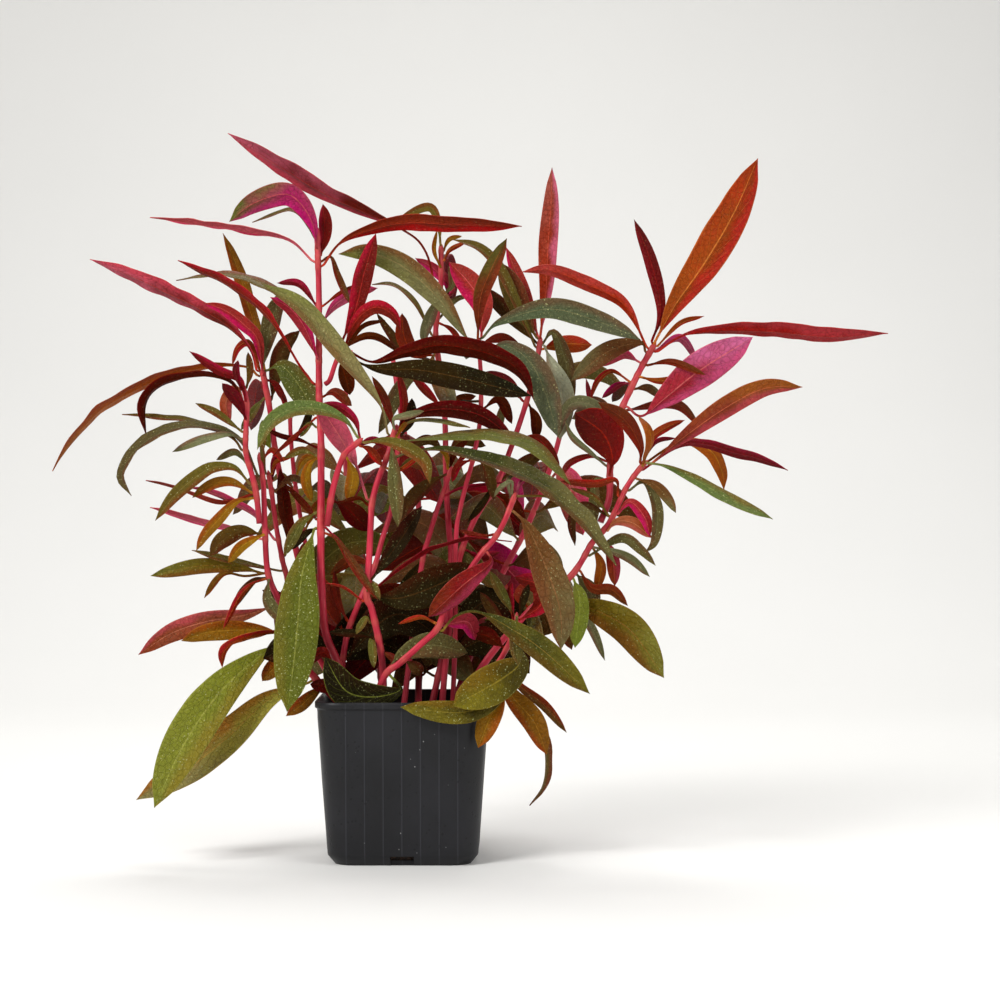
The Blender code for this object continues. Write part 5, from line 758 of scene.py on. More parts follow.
class Blade:
    """One leaf in space: its midrib and, at any share of it, its sideways and upward directions."""

    def __init__(self, leaf, stem_route, seat, lean, belly):
        self.leaf = leaf
        self.seat = seat
        root = stem_route.place(seat.distance)
        depth = root.y / MM
        lengths = [0.0]
        for a, b in zip(leaf.sights, leaf.sights[1:]):
            lengths.append(lengths[-1] + math.dist(a, b))
        points = [root]
        for sight, length in zip(leaf.sights[1:], lengths[1:]):
            share = length / lengths[-1]
            points.append(seen(*sight, depth - lean * share - belly * 4 * share * (1 - share)))
        out = stem_route.sideways(seat.distance, math.tau * (seat.side + 0.5) / STEM_SIDES)
        self.out = out
        radius = stem_radius(leaf.stem, seat.distance / stem_route.length) * NODE_SWELL
        if leaf.name:
            steep = out.cross((points[1] - root).normalized()).length
            radius += TOUCH_GAP + STALK_HALF_WIDTH * steep
        points[0] = root + out * radius
        self.route = Route(points)
        self.length = self.route.length
        self.width = max(leaf.shown * MM, self.length / MOST_SLENDER)
        self.normals = self.set_normals()

    def set_normals(self):
        """Upward directions at even shares: natural at the middle, rolled about the midrib until
        the view shows the wanted width and face, and carried along the midrib without twist."""
        headings = [self.route.heading(self.length * i / (FRAME_COUNT - 1)) for i in range(FRAME_COUNT)]
        middle = headings[FRAME_COUNT // 2]
        natural = UP - UP.dot(middle) * middle
        if natural.length < UPRIGHT:
            natural = self.out - self.out.dot(middle) * middle
        natural.normalize()
        side = middle.cross(natural)
        drawn = middle - middle.dot(TOWARD_EYE) * TOWARD_EYE
        drawn = drawn.normalized() if drawn.length > TINY else Vector((1, 0, 0))

        def cost(degrees):
            turn = math.radians(degrees)
            normal = natural * math.cos(turn) + side * math.sin(turn)
            edge = middle.cross(normal)
            flat = edge - edge.dot(TOWARD_EYE) * TOWARD_EYE
            shown = self.width * (flat - flat.dot(drawn) * drawn).length
            wrong = normal.dot(TOWARD_EYE) * self.leaf.face < -FACE_SLACK
            missed = abs(shown - self.leaf.shown * MM) / self.width
            return missed + abs(degrees) * ROLL_COST + WRONG_FACE_COST * wrong

        best = math.radians(min(range(ROLL_STEP - 180, 181, ROLL_STEP), key=cost))
        normals = [None] * FRAME_COUNT
        normals[FRAME_COUNT // 2] = natural * math.cos(best) + side * math.sin(best)
        for step in (1, -1):
            i = FRAME_COUNT // 2
            while 0 <= i + step < FRAME_COUNT:
                turn = headings[i].rotation_difference(headings[i + step])
                normals[i + step] = turn @ normals[i]
                i += step
        return normals

    def frame(self, share):
        """Place, sideways and upward directions at a share of the length."""
        place = self.route.place(share * self.length)
        heading = self.route.heading(share * self.length)
        spot = share * (len(self.normals) - 1)
        low = min(int(spot), len(self.normals) - 2)
        normal = self.normals[low].lerp(self.normals[low + 1], spot - low)
        normal = (normal - normal.dot(heading) * heading).normalized()
        return place, heading.cross(normal), normal

    def ring(self, share, spare=0.0):
        """Four corners round the blade: ridge, right edge, underside, left edge."""
        place, side, up = self.frame(share)
        half = blade_half_width(share, self.width, self.leaf.stalk) + spare
        rise = up * half * math.sin(LEAF_FOLD)
        reach = side * half * math.cos(LEAF_FOLD)
        thick = up * (LEAF_THICKNESS / 2 * (THICK_AT_BASE - THINNING * share) + spare)
        return [place + thick, place + reach + rise, place - thick, place - reach + rise]

    def shares(self, first):
        """Where the rings of this blade lie; a long or bent blade has more of them."""
        straight = (self.route.place(self.length) - self.route.place(0)).length / self.length
        if self.leaf.name:
            inner = LARGE_RINGS
        elif straight > SPIKE_STRAIGHT and self.length < SHORT_BLADE and self.width < NARROW_BLADE:
            inner = []
        else:
            inner = next(rings for least, rings in SMALL_RINGS if straight > least)
        return ([0.0] if first else []) + inner

    def rings(self, first=True, spare=0.0):
        return [self.ring(share, spare) for share in self.shares(first)]

    def tip(self):
        return self.route.place(self.length)


print("rings on a large leaf", len(LARGE_RINGS))

# %% [markdown]
# ## Find each leaf on its CAD solid
# The solids were nudged nearer or farther until none touched. Each possible nudge is tried here
# until the corners of the leaf's first ring and its tip are found among the solid's own corners.

# %% Match leaves to the CAD
# How far a leaf may be moved from its wanted lean, in mm, until it is clear of the others: the tip
# first, then the belly between base and tip
LEAN_TRIES = [(0, 0), (6, 0), (-6, 0), (0, 7), (0, -7), (12, 0), (-12, 0), (10, 8), (-10, -8),
              (18, 0), (-18, 0), (0, 14), (0, -14), (18, 12), (-18, -12), (26, 0), (-26, 0),
              (12, 20), (-12, -20), (36, 10), (-36, -10), (48, 0), (-48, 0), (30, 30), (-30, -30),
              (0, 22), (0, -22), (24, -18), (-24, 18), (60, 0), (-60, 0), (14, -10), (-14, 10)]
# The dense part of the plant as the view shows it: (across, down) round its outline. A leaf grown
# by rule keeps behind it.
DENSE_OUTLINE = [
    (245, 610), (228, 520), (236, 420), (262, 372), (280, 310), (322, 262), (400, 250), (440, 246),
    (500, 262), (530, 300), (590, 325), (640, 352), (640, 400), (640, 470), (640, 520), (600, 566),
    (590, 620), (560, 652), (520, 690), (300, 690), (262, 660)]
# Leaves grown by rule, for the sides that the view hides. Each rule: the stems that carry its pairs
# of leaves; where the first and the last pair may sit and how far apart pairs are, in mm along the
# stem; the least and greatest length and width of a leaf in mm, and share of its length that it
# rises; how far it heads away from the view, from -1 to 1, at least; and its tones.
Rule = namedtuple("Rule", "stems first last step long wide rise away tones")
MIXED_TONES = ["olive_dark", "olive", "crimson", "green", "deep_red", "grey_green", "magenta",
               "brown_olive"]
# Dark tones for the low inner leaves: partly their own colour and partly painted shade, for the shade deep
# in the clump
DARK_AND_SHADED_TONES = ["dark_green", "olive_dark", "dark_green", "deep_red", "maroon", "brown_olive"]
UPPER_TONES = ["olive", "olive_dark", "green", "grey_green", "brown_olive", "dark_green"]
RULES = [
    Rule(["stem_rear_left", "stem_rear_middle", "stem_rear_right"],
         56, 150, 18, (56, 84), (15, 21), (0.0, 0.5), -1.0, MIXED_TONES),
    Rule(["stem_rear_left", "stem_rear_middle", "stem_rear_right", "stem_middle_back",
          "stem_behind_centre", "stem_middle_right"],
         8, 50, 12, (44, 70), (17, 24), (0.1, 1.1), -0.6, DARK_AND_SHADED_TONES),
    Rule(["stem_middle_back", "stem_thin_left", "stem_back_left", "stem_right_upper",
          "stem_middle_right", "stem_behind_centre"],
         60, 260, 60, (52, 88), (8, 12), (0.0, 0.5), 0.2, MIXED_TONES),
]
RULE_SEED = 7
RULE_TRIES = 14
TURN_SCATTER = 0.7
LEAST_DROOP, MOST_DROOP = 0.2, 0.9
TIP_REACH = 0.95
TIP_FALL = 0.7
CORNER_REACH = 0.03 * MM


def inside_outline(sight):
    """Whether pixels lie inside the dense part's outline."""
    across, down = sight
    inside = False
    for (ax, ay), (bx, by) in zip(DENSE_OUTLINE, DENSE_OUTLINE[1:] + DENSE_OUTLINE[:1]):
        if (ay > down) != (by > down) and across < ax + (down - ay) * (bx - ax) / (by - ay):
            inside = not inside
    return inside


def corner_tree(node):
    """A search tree of the corners of one CAD node."""
    corners = node.data.vertices
    tree = KDTree(len(corners))
    for i, corner in enumerate(corners):
        tree.insert(corner.co, i)
    tree.balance()
    return tree


class Clump:
    """The plant as the CAD has it: every stem's route and every blade found on its solid."""

    def __init__(self):
        self.routes = routes
        self.nodes = {name: Nodes(route) for name, route in routes.items()}
        self.blades = []
        self.corners = {name: corner_tree(node) for name, node in frame["nodes"].items()}

    def fits(self, blade):
        tree = self.corners[blade.leaf.name or blade.leaf.stem]
        marks = sum(blade.rings(first=False)[:1], []) + [blade.tip()]
        return all(tree.find(mark)[2] < CORNER_REACH for mark in marks)

    def seat_of(self, leaf):
        """The side of a node that a leaf grows from."""
        route = self.routes[leaf.stem]
        wanted = route.nearest(leaf.sights[0])
        depth = route.place(wanted).y / MM
        lengths = [math.dist(a, b) for a, b in zip(leaf.sights, leaf.sights[1:])]
        toward = seen(*leaf.sights[1], depth - (leaf.lean + leaf.belly) * lengths[0] / sum(lengths))
        return self.nodes[leaf.stem].seat(wanted, toward)

    def settle(self, leaf, seat):
        """Keeps the leaf with the nudge that the CAD solid has."""
        for more, belly in LEAN_TRIES:
            blade = Blade(leaf, self.routes[leaf.stem], seat, leaf.lean + more, leaf.belly + belly)
            if self.fits(blade):
                self.blades.append(blade)
                return
        print("not found on the CAD:", leaf.stem, leaf.sights[-1])


def leaf_by_rule(dice, clump, rule, stem, at, heading_angle):
    """One leaf grown by rule: it leaves a stem at a distance along it, arching out and down."""
    route = clump.routes[stem]
    root = route.place(at)
    length = dice.uniform(*rule.long) * MM
    rise = dice.uniform(*rule.rise)
    droop = dice.uniform(LEAST_DROOP, MOST_DROOP)
    out = Vector((math.cos(heading_angle), math.sin(heading_angle), 0))
    middle = root + (out + UP * rise) * length / 2
    tip = root + out * length * TIP_REACH + UP * length * (rise - droop) * TIP_FALL
    if not (inside_outline(sight_of(middle)) and inside_outline(sight_of(tip))):
        return None
    lean = (root.y - tip.y) / MM
    tone = dice.choice(rule.tones)
    face = UPPER if tone in UPPER_TONES else UNDER
    sights = [sight_of(root), sight_of(middle), sight_of(tip)]
    leaf = Leaf(stem, sights, dice.uniform(*rule.wide), lean, face, tone)
    return Blade(leaf, route, clump.seat_of(leaf), lean, 0)


def grow_pair(dice, clump, rule, stem, at, quarter):
    """Two opposite leaves, each turned a little until it finds room."""
    for half_turn in (0, math.pi):
        for _ in range(RULE_TRIES):
            angle = quarter + half_turn + dice.uniform(-TURN_SCATTER, TURN_SCATTER)
            if math.sin(angle) < rule.away:
                continue
            blade = leaf_by_rule(dice, clump, rule, stem, at, angle)
            if blade and clump.fits(blade):
                clump.blades.append(blade)
                break
            if blade:
                clump.nodes[stem].give_up(blade.seat)


def grow_by_rule(clump):
    """Fills the sides that the view hides with pairs of leaves, each pair turned a quarter from the
    one below it."""
    dice = random.Random(RULE_SEED)
    for rule in RULES:
        for stem in rule.stems:
            top = min(rule.last * MM, clump.routes[stem].length - 2 * NODE_HALF)
            at = rule.first * MM
            quarter = dice.uniform(0, math.pi)
            while at < top:
                grow_pair(dice, clump, rule, stem, at, quarter)
                quarter += math.pi / 2
                at += rule.step * MM


clump = Clump()
seated = [(leaf, clump.seat_of(leaf)) for leaf in LARGE_LEAVES + SMALL_LEAVES]
for leaf, seat in seated:
    clump.settle(leaf, seat)
print("leaves found by view", len(clump.blades))
grow_by_rule(clump)
print("leaves in all", len(clump.blades))

# %% [markdown]
# ## Helpers for meshes
# A `Shell` collects corners, faces and per-corner values, and becomes one mesh object that rides
# on the CAD model.

# %% Mesh helpers
class Shell:
    """Corners and faces of one piece, with named values at its corners."""

    def __init__(self):
        self.corners, self.faces, self.flat, self.values = [], [], [], {}
        self.count = 0

    def add(self, corners, faces, flat, **values):
        """Adds a closed body; flat says for each face whether it is shaded flat."""
        self.corners.append(corners)
        self.faces += [[corner + self.count for corner in face] for face in faces]
        self.flat += flat
        for name, numbers in values.items():
            self.values.setdefault(name, []).append(numbers)
        self.count += len(corners)

    def build(self, name, material, slot, *replaced):
        """Makes the object, lets it ride on the CAD body and hides the CAD parts that it stands in for."""
        mesh = bpy.data.meshes.new(name)
        mesh.from_pydata(np.concatenate(self.corners).tolist(), [], self.faces)
        mesh.polygons.foreach_set("use_smooth", [not flat for flat in self.flat])
        for key, numbers in self.values.items():
            layer = mesh.attributes.new(key, "FLOAT", "POINT")
            layer.data.foreach_set("value", np.concatenate(numbers).astype(np.float32))
        mesh.materials.append(material)
        piece = bpy.data.objects.new(name, mesh)
        bpy.context.scene.collection.objects.link(piece)
        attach(piece, "root")
        if replaced:
            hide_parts(*replaced)
        return piece


def loft(levels):
    """Corners and faces of a body that runs from one ring to the next, with a cap at each end."""
    around = len(levels[0])
    faces = []
    for i in range(len(levels) - 1):
        for j in range(around):
            k = (j + 1) % around
            faces.append([i * around + j, i * around + k, (i + 1) * around + k, (i + 1) * around + j])
    faces.append(list(range(around))[::-1])
    faces.append([(len(levels) - 1) * around + j for j in range(around)])
    return np.concatenate(levels), faces


def smooth_but_caps(faces):
    """Which faces of a loft are shaded flat: only its two caps."""
    return [False] * (len(faces) - 2) + [True, True]


print("helpers ready")

# %% [markdown]
# ## Helpers for materials
# Every material is made of shader nodes. `Graph` keeps their code short: each method adds one
# node and returns its output.

# %% Shader helpers
class Graph:
    """A material under construction."""

    def __init__(self, name):
        self.material = bpy.data.materials.new(name)
        self.material.use_nodes = True
        self.tree = self.material.node_tree
        self.tree.nodes.clear()

    def add(self, kind, out, settings=(), **inputs):
        made = self.tree.nodes.new(kind)
        for key, value in dict(settings).items():
            setattr(made, key, value)
        for key, value in inputs.items():
            socket = made.inputs[int(key[1:])] if key[0] == "i" and key[1:].isdigit() \
                else made.inputs[key.replace("_", " ")]
            if isinstance(value, bpy.types.NodeSocket):
                self.tree.links.new(value, socket)
            else:
                socket.default_value = value
        return made.outputs[out]

    def maths(self, operation, a, b=0.0):
        return self.add("ShaderNodeMath", 0, {"operation": operation}, i0=a, i1=b)

    def total(self, start, *terms):
        """start and every value times its share, added up."""
        added = start
        for value, share in terms:
            added = self.maths("ADD", added, self.maths("MULTIPLY", value, share))
        return added

    def product(self, *values):
        made = values[0]
        for value in values[1:]:
            made = self.maths("MULTIPLY", made, value)
        return made

    def most(self, *values):
        """The greatest of some values."""
        made = values[0]
        for value in values[1:]:
            made = self.maths("MAXIMUM", made, value)
        return made

    def attribute(self, name):
        return self.add("ShaderNodeAttribute", "Fac", {"attribute_name": name})

    def place(self):
        return self.add("ShaderNodeTexCoord", "Object")

    def noise(self, scale, detail, place=None):
        return self.add("ShaderNodeTexNoise", 0, Scale=scale, Detail=detail,
                        Vector=place or self.place())

    def dots(self, scale, low, high):
        """1 at the middle of scattered dots, 0 away from them."""
        far = self.add("ShaderNodeTexVoronoi", "Distance", Scale=scale, Vector=self.place())
        return self.step(far, high, low)

    def step(self, value, low, high):
        """0 at low, 1 at high, with an even curve between; low may be the larger."""
        return self.add("ShaderNodeMapRange", 0, {"interpolation_type": "SMOOTHSTEP"}, i0=value,
                        i1=low, i2=high, i3=0.0, i4=1.0)

    def mix(self, share, a, b):
        return self.add("ShaderNodeMix", 2, {"data_type": "RGBA"}, i0=share, i6=a, i7=b)

    def cover(self, colour, mask, strength, coat):
        """A colour with another one laid over it where the mask is 1."""
        return self.mix(self.product(mask, strength), colour, paint(*coat))

    def bump(self, height, distance, strength):
        return self.add("ShaderNodeBump", 0, Height=height, Distance=distance, Strength=strength)

    def surface(self, **inputs):
        return self.add("ShaderNodeBsdfPrincipled", 0, **inputs)

    def finish(self, shader):
        out = self.tree.nodes.new("ShaderNodeOutputMaterial")
        self.tree.links.new(shader, out.inputs["Surface"])
        return self.material


# The curve by which a screen's values, 0 to 255, become light
SCREEN_TOP = 255
DARK_END, DARK_SLOPE = 0.04045, 12.92
CURVE_LIFT, CURVE_POWER = 0.055, 2.4


def paint(red, green, blue):
    """A colour given as 0 to 255 on a screen, as the light values that shaders use."""
    def light(value):
        value /= SCREEN_TOP
        if value <= DARK_END:
            return value / DARK_SLOPE
        return ((value + CURVE_LIFT) / (1 + CURVE_LIFT)) ** CURVE_POWER
    return (light(red), light(green), light(blue), 1)


print("mid grey as light", round(paint(128, 128, 128)[0], 3))

# %% [markdown]
# ## Leaf colours
# One leaf of this plant is never one colour: it shifts from base to tip, one half blushes, the rib
# and side veins stand out, and pale specks, painted glints of water drops, sit on the upper face. A
# tone holds those colours, and one material mixes them with noise at three sizes. Vertex values
# along and across the leaf say where each point lies, so the pattern follows the leaf however it bends.

# %% Table of tones
# The colours of the upper face at base and tip, of the underside at base and tip, of the blush and
# of the rib; and how strongly the upper face is dotted with painted glints of water drops
Tone = namedtuple("Tone", "upper upper_tip under under_tip blush rib dots", defaults=(0.1,))
TONES = {
    "crimson": Tone((116, 30, 22), (108, 28, 22), (132, 36, 26), (112, 26, 18),
                    (176, 40, 58), (202, 70, 66)),
    "deep_red": Tone((88, 38, 18), (80, 30, 14), (118, 20, 6), (92, 16, 4), (134, 26, 22), (176, 52, 36)),
    "magenta": Tone((118, 58, 36), (108, 48, 30), (172, 60, 64), (152, 46, 50),
                    (200, 48, 108), (228, 112, 120)),
    "pink": Tone((140, 74, 56), (126, 60, 44), (190, 92, 112), (170, 70, 84),
                 (212, 74, 124), (236, 140, 148)),
    "rose": Tone((108, 68, 38), (122, 70, 32), (142, 46, 36), (138, 66, 34), (172, 60, 76), (210, 112, 96)),
    "orange_red": Tone((118, 70, 28), (132, 60, 26), (156, 72, 32), (158, 56, 32),
                       (176, 48, 52), (220, 140, 80)),
    "salmon": Tone((154, 90, 58), (140, 72, 38), (172, 94, 70), (150, 62, 40),
                   (188, 94, 92), (216, 146, 112)),
    "gold": Tone((150, 106, 34), (130, 88, 30), (158, 80, 24), (142, 62, 22),
                 (156, 72, 24), (186, 140, 60), 0.3),
    "olive": Tone((104, 92, 36), (98, 78, 28), (140, 56, 38), (122, 48, 30),
                  (124, 60, 36), (144, 118, 72), 0.6),
    "olive_dark": Tone((90, 64, 20), (80, 48, 14), (104, 34, 18), (80, 24, 10),
                       (96, 34, 18), (108, 70, 40), 0.3),
    "olive_orange": Tone((112, 94, 20), (120, 118, 48), (150, 66, 30), (142, 56, 26),
                         (118, 66, 22), (148, 108, 50), 0.5),
    "brown_olive": Tone((110, 72, 36), (108, 100, 62), (132, 50, 32), (104, 42, 22),
                        (112, 62, 34), (144, 100, 64), 0.5),
    "brown": Tone((100, 56, 22), (90, 60, 22), (116, 42, 22), (106, 54, 22),
                  (134, 42, 30), (170, 82, 52), 0.2),
    "green": Tone((96, 94, 36), (90, 78, 30), (140, 80, 54), (122, 56, 34),
                  (118, 84, 40), (140, 132, 74), 0.9),
    "fresh_green": Tone((128, 136, 52), (116, 130, 48), (140, 86, 54), (122, 64, 34),
                        (116, 114, 44), (156, 164, 84), 0.7),
    "dotted_green": Tone((94, 100, 30), (94, 100, 30), (140, 80, 54), (122, 56, 34),
                         (110, 100, 34), (140, 140, 66), 1.2),
    "green_dark_tip": Tone((62, 66, 20), (108, 100, 58), (130, 64, 42), (104, 46, 28),
                           (104, 56, 30), (122, 108, 66), 0.9),
    "yellow_green": Tone((74, 64, 16), (118, 106, 34), (150, 102, 42), (140, 74, 32),
                         (116, 84, 26), (146, 126, 52), 0.8),
    "grey_green": Tone((98, 92, 52), (94, 80, 44), (128, 64, 42), (112, 56, 32),
                       (104, 70, 46), (126, 118, 78), 1.0),
    "pale": Tone((130, 134, 94), (112, 112, 72), (154, 98, 76), (138, 80, 56),
                 (132, 94, 74), (164, 150, 114), 0.8),
    "khaki": Tone((152, 144, 92), (132, 136, 72), (150, 66, 46), (132, 56, 36),
                  (128, 92, 56), (164, 146, 96), 0.9),
    "dark_green": Tone((42, 32, 10), (34, 22, 6), (74, 24, 12), (54, 18, 8),
                       (62, 24, 10), (78, 52, 26), 0.25),
    "maroon": Tone((66, 34, 12), (56, 24, 8), (88, 30, 8), (70, 20, 4), (92, 24, 16), (132, 44, 30)),
    "bent_magenta": Tone((118, 88, 38), (106, 88, 32), (180, 56, 96), (98, 110, 44),
                         (196, 44, 112), (220, 112, 104)),
    "pink_edged": Tone((104, 38, 24), (96, 38, 24), (108, 22, 14), (184, 92, 110),
                       (190, 74, 92), (200, 70, 70)),
    "speckled": Tone((78, 84, 28), (84, 82, 28), (122, 56, 34), (112, 46, 28),
                     (88, 72, 28), (122, 118, 62), 1.5),
    # The blackish look is a dark leaf with painted shade: darker than its own colour, for the shade in the
    # centre of the clump
    "blackish": Tone((46, 30, 6), (22, 17, 3), (74, 24, 12), (54, 18, 8), (34, 20, 5), (80, 52, 26), 0.2),
    "olive_tipped": Tone((100, 56, 22), (90, 60, 22), (112, 44, 22), (88, 82, 32),
                         (130, 46, 32), (168, 84, 52), 0.2),
    # The spire's blush is painted sheen: a pink lamp-lit half beside an orange underside half
    "spire": Tone((118, 70, 28), (132, 60, 26), (156, 54, 34), (160, 86, 74),
                  (204, 110, 138), (208, 96, 78)),
    "crinkled": Tone((118, 58, 36), (108, 48, 30), (178, 58, 64), (208, 112, 152),
                     (206, 90, 128), (226, 126, 122)),
    "rose_tipped": Tone((108, 68, 38), (122, 70, 32), (132, 52, 38), (148, 84, 38),
                        (174, 70, 84), (208, 112, 86)),
    "orange_brown": Tone((118, 88, 38), (106, 82, 32), (168, 84, 32), (170, 110, 66),
                         (140, 52, 28), (186, 116, 64), 0.2),
    "dark_crimson": Tone((80, 30, 16), (70, 24, 12), (68, 20, 10), (56, 14, 6),
                         (104, 26, 24), (150, 50, 44)),
    "margined": Tone((34, 30, 12), (28, 22, 8), (74, 24, 12), (54, 18, 8),
                     (40, 24, 8), (132, 136, 62), 0.3),
    "arched": Tone((124, 120, 78), (102, 100, 46), (140, 56, 38), (122, 48, 30),
                   (124, 72, 44), (150, 130, 86), 0.5),
    "soft_olive": Tone((106, 112, 54), (108, 108, 50), (140, 56, 38), (122, 48, 30),
                       (112, 80, 42), (140, 132, 76), 0.6),
    "soft_green": Tone((102, 120, 62), (104, 116, 60), (140, 80, 54), (122, 56, 34),
                       (118, 92, 46), (148, 146, 86), 0.8),
    "long_green": Tone((132, 140, 50), (128, 134, 52), (140, 80, 54), (122, 56, 34),
                       (140, 124, 44), (166, 168, 84), 0.9),
    # The orange_green look is painted light: its colour is made much paler than the leaf's own, to lift the
    # shade where it faces away from the lamps
    "orange_green": Tone((178, 176, 78), (142, 136, 84), (166, 104, 44), (160, 90, 40),
                         (176, 120, 50), (190, 160, 80), 0.7),
    "bright_crimson": Tone((116, 30, 22), (108, 28, 22), (174, 62, 40), (176, 74, 66),
                           (184, 78, 70), (212, 92, 66)),
    "light_magenta": Tone((118, 58, 36), (108, 48, 30), (206, 110, 122), (194, 78, 98),
                          (220, 110, 132), (232, 130, 130)),
    "pale_bright": Tone((176, 180, 150), (142, 140, 108), (154, 98, 76), (138, 80, 56),
                        (150, 120, 96), (188, 184, 150), 0.6),
    "blue_green": Tone((84, 94, 64), (90, 92, 66), (128, 64, 42), (112, 56, 32),
                       (104, 76, 52), (126, 122, 84), 0.9),
    "low_olive": Tone((58, 60, 18), (100, 90, 28), (150, 66, 30), (142, 56, 26),
                      (84, 54, 18), (140, 110, 52), 0.4),
}
# Large leaves whose look differs from the tone that their slot has
LOOK_OF_LEAF = {
    "leaf_bent_magenta_top": "bent_magenta", "leaf_longest_crimson_top_left": "pink_edged",
    "leaf_far_left_crimson": "pink_edged", "leaf_dark_speckled_left": "speckled",
    "leaf_blackish_centre": "blackish", "leaf_brown_upright_centre": "olive_tipped",
    "leaf_red_spire": "spire", "leaf_crinkled_pink_right": "crinkled",
    "leaf_rose_brown_right": "rose_tipped", "leaf_long_orange_bow_left": "orange_brown",
    "leaf_crimson_bow_centre": "dark_crimson", "leaf_dark_curled_front_rim": "margined",
    "leaf_arched_olive_middle": "arched", "leaf_olive_bow_centre": "soft_olive",
    "leaf_fresh_green_right": "soft_green", "leaf_pale_green_bow_left": "soft_green",
    "leaf_long_green_low_left": "long_green", "leaf_orange_green_low_left": "orange_green",
    "leaf_far_right_crimson": "bright_crimson", "leaf_crimson_right_to_middle": "bright_crimson",
    "leaf_magenta_centre": "light_magenta", "leaf_pale_hanging": "pale_bright",
    "leaf_blue_green_upper_right": "blue_green", "leaf_grey_green_hanging": "blue_green",
    "leaf_olive_orange_low_right": "low_olive",
}
# The record's slots are fewer than the tones: these go with a near one
SLOT_OF_TONE = {
    "pink": "leaf_magenta", "salmon": "leaf_orange_red", "olive_dark": "leaf_olive",
    "fresh_green": "leaf_green", "dotted_green": "leaf_green", "green_dark_tip": "leaf_green",
}
print("tones", len(TONES))

# %% [markdown]
# ## The leaf material
# The steps below go from large to small: base to tip, blush, ribs and veins, specks (painted glints
# of water drops), then the fine value noise. The same noises drive roughness and bump, so the gloss
# breaks up where the colour does. A share of light goes through the blade, as in any thin leaf.

# %% Leaf material
# The rib, as shares of half a leaf's width and of its length
RIB_WIDTH = 0.075
RIB_NARROWING = 0.6
RIB_EDGE = 0.45
STALK_SPAN = (0.10, 0.02)
# Side veins: how many, how they slant and wander, and how wide they are and how far they reach
VEINS_PER_LEAF = 11
VEIN_SLANT = 2.6
VEIN_WANDER = 0.8
VEIN_WIDTH = 0.085
VEIN_FADE = (1.0, 0.55)
RIM_SPAN = (0.90, 1.0)
# How strongly the rib's colour shows in each
VEIN_SHARE, RIB_SHARE, RIM_SHARE, STALK_SHARE = 0.24, 0.72, 0.5, 0.9
# Noises and cells to the metre
PATCHES_PER_METRE = 75
GRAINS_PER_METRE = 650
NET_PER_METRE = 330
NET_WIDTH = 0.10
CELLS_PER_METRE = 1000
# Where the tip's colour starts and ends, and what bends that line
TIP_SPAN = (0.80, 1.50)
TIP_AT_EDGE, TIP_PATCHES = 0.15, 0.9
# The same for the blush, which leans to one side
BLUSH_SPAN = (0.55, 1.15)
BLUSH_TO_SIDE, BLUSH_AT_EDGE, BLUSH_PATCHES = 0.55, 0.25, 1.1
BLUSH_STRENGTH = 0.75
# Pale dots, large and small, painted as the glints of water drops, and the noise that gathers them
DROP_GLINT = (186, 188, 132)
SPECKS_PER_METRE = 430
SPECK_SIZE, SMALL_SPECK_SIZE = (0.10, 0.20), (0.12, 0.24)
SMALL_SPECK_STRENGTH = 0.6
SPECK_CROWDS_PER_METRE = 160
SPECK_CROWD_SPAN = (0.30, 0.52)
SPECKS_ON_UPPER, SPECKS_ANYWHERE = 0.7, 0.1
# Light and dark: from leaf to leaf, and from the noises
BASE_VALUE = 0.44
CHANCE_VALUE, PATCH_VALUE, GRAIN_VALUE, NET_VALUE = 0.30, 0.6, 0.34, -0.11
HUE_START, HUE_CHANCE = 0.49, 0.02
SATURATION = 1.06
# Relief and gloss
GRAIN_RISE, PATCH_RISE, CELL_RISE, NET_RISE, VEIN_RISE = 0.45, 0.9, 0.45, -0.5, -0.6
RELIEF_DEPTH, RELIEF_STRENGTH = 0.8 * MM, 0.75
LEAF_ROUGHNESS, GRAIN_ROUGHNESS = 0.38, 0.30
DARK_TONE = 100
DARK_GLOSS = 0.06
LEAF_GLOSS = 0.17
# Light that passes through the blade
THROUGH_SHARE = 0.24
THROUGH_SATURATION, THROUGH_VALUE = 1.2, 1.5


def rib_lines(graph, along, edge):
    """1 on the rib and stalk, less on the side veins and the rim; and the side veins alone."""
    rib_half = graph.total(RIB_WIDTH, (along, -RIB_NARROWING * RIB_WIDTH))
    rib = graph.step(graph.maths("DIVIDE", edge, rib_half), 1.0, RIB_EDGE)
    stalk = graph.step(along, *STALK_SPAN)
    slant = graph.total(0.0, (along, VEINS_PER_LEAF), (edge, -VEIN_SLANT),
                        (graph.noise(PATCHES_PER_METRE, 1), VEIN_WANDER))
    wave = graph.maths("ABSOLUTE", graph.maths("SUBTRACT", graph.maths("FRACT", slant), 0.5))
    vein = graph.product(graph.step(wave, VEIN_WIDTH, 0.0), graph.step(edge, *VEIN_FADE))
    lines = graph.most(graph.product(vein, VEIN_SHARE), graph.product(rib, RIB_SHARE),
                       graph.product(graph.step(edge, *RIM_SPAN), RIM_SHARE),
                       graph.product(stalk, STALK_SHARE))
    return lines, vein


def drop_glint_mask(graph, upper, dots):
    """1 at the middle of the pale dots, painted glints of water drops, that gather on the upper face."""
    large = graph.dots(SPECKS_PER_METRE, *SPECK_SIZE)
    small = graph.dots(2 * SPECKS_PER_METRE, *SMALL_SPECK_SIZE)
    crowds = graph.step(graph.noise(SPECK_CROWDS_PER_METRE, 2), *SPECK_CROWD_SPAN)
    return graph.product(graph.most(large, graph.product(small, SMALL_SPECK_STRENGTH)), crowds,
                         graph.total(SPECKS_ANYWHERE, (upper, SPECKS_ON_UPPER * dots)))


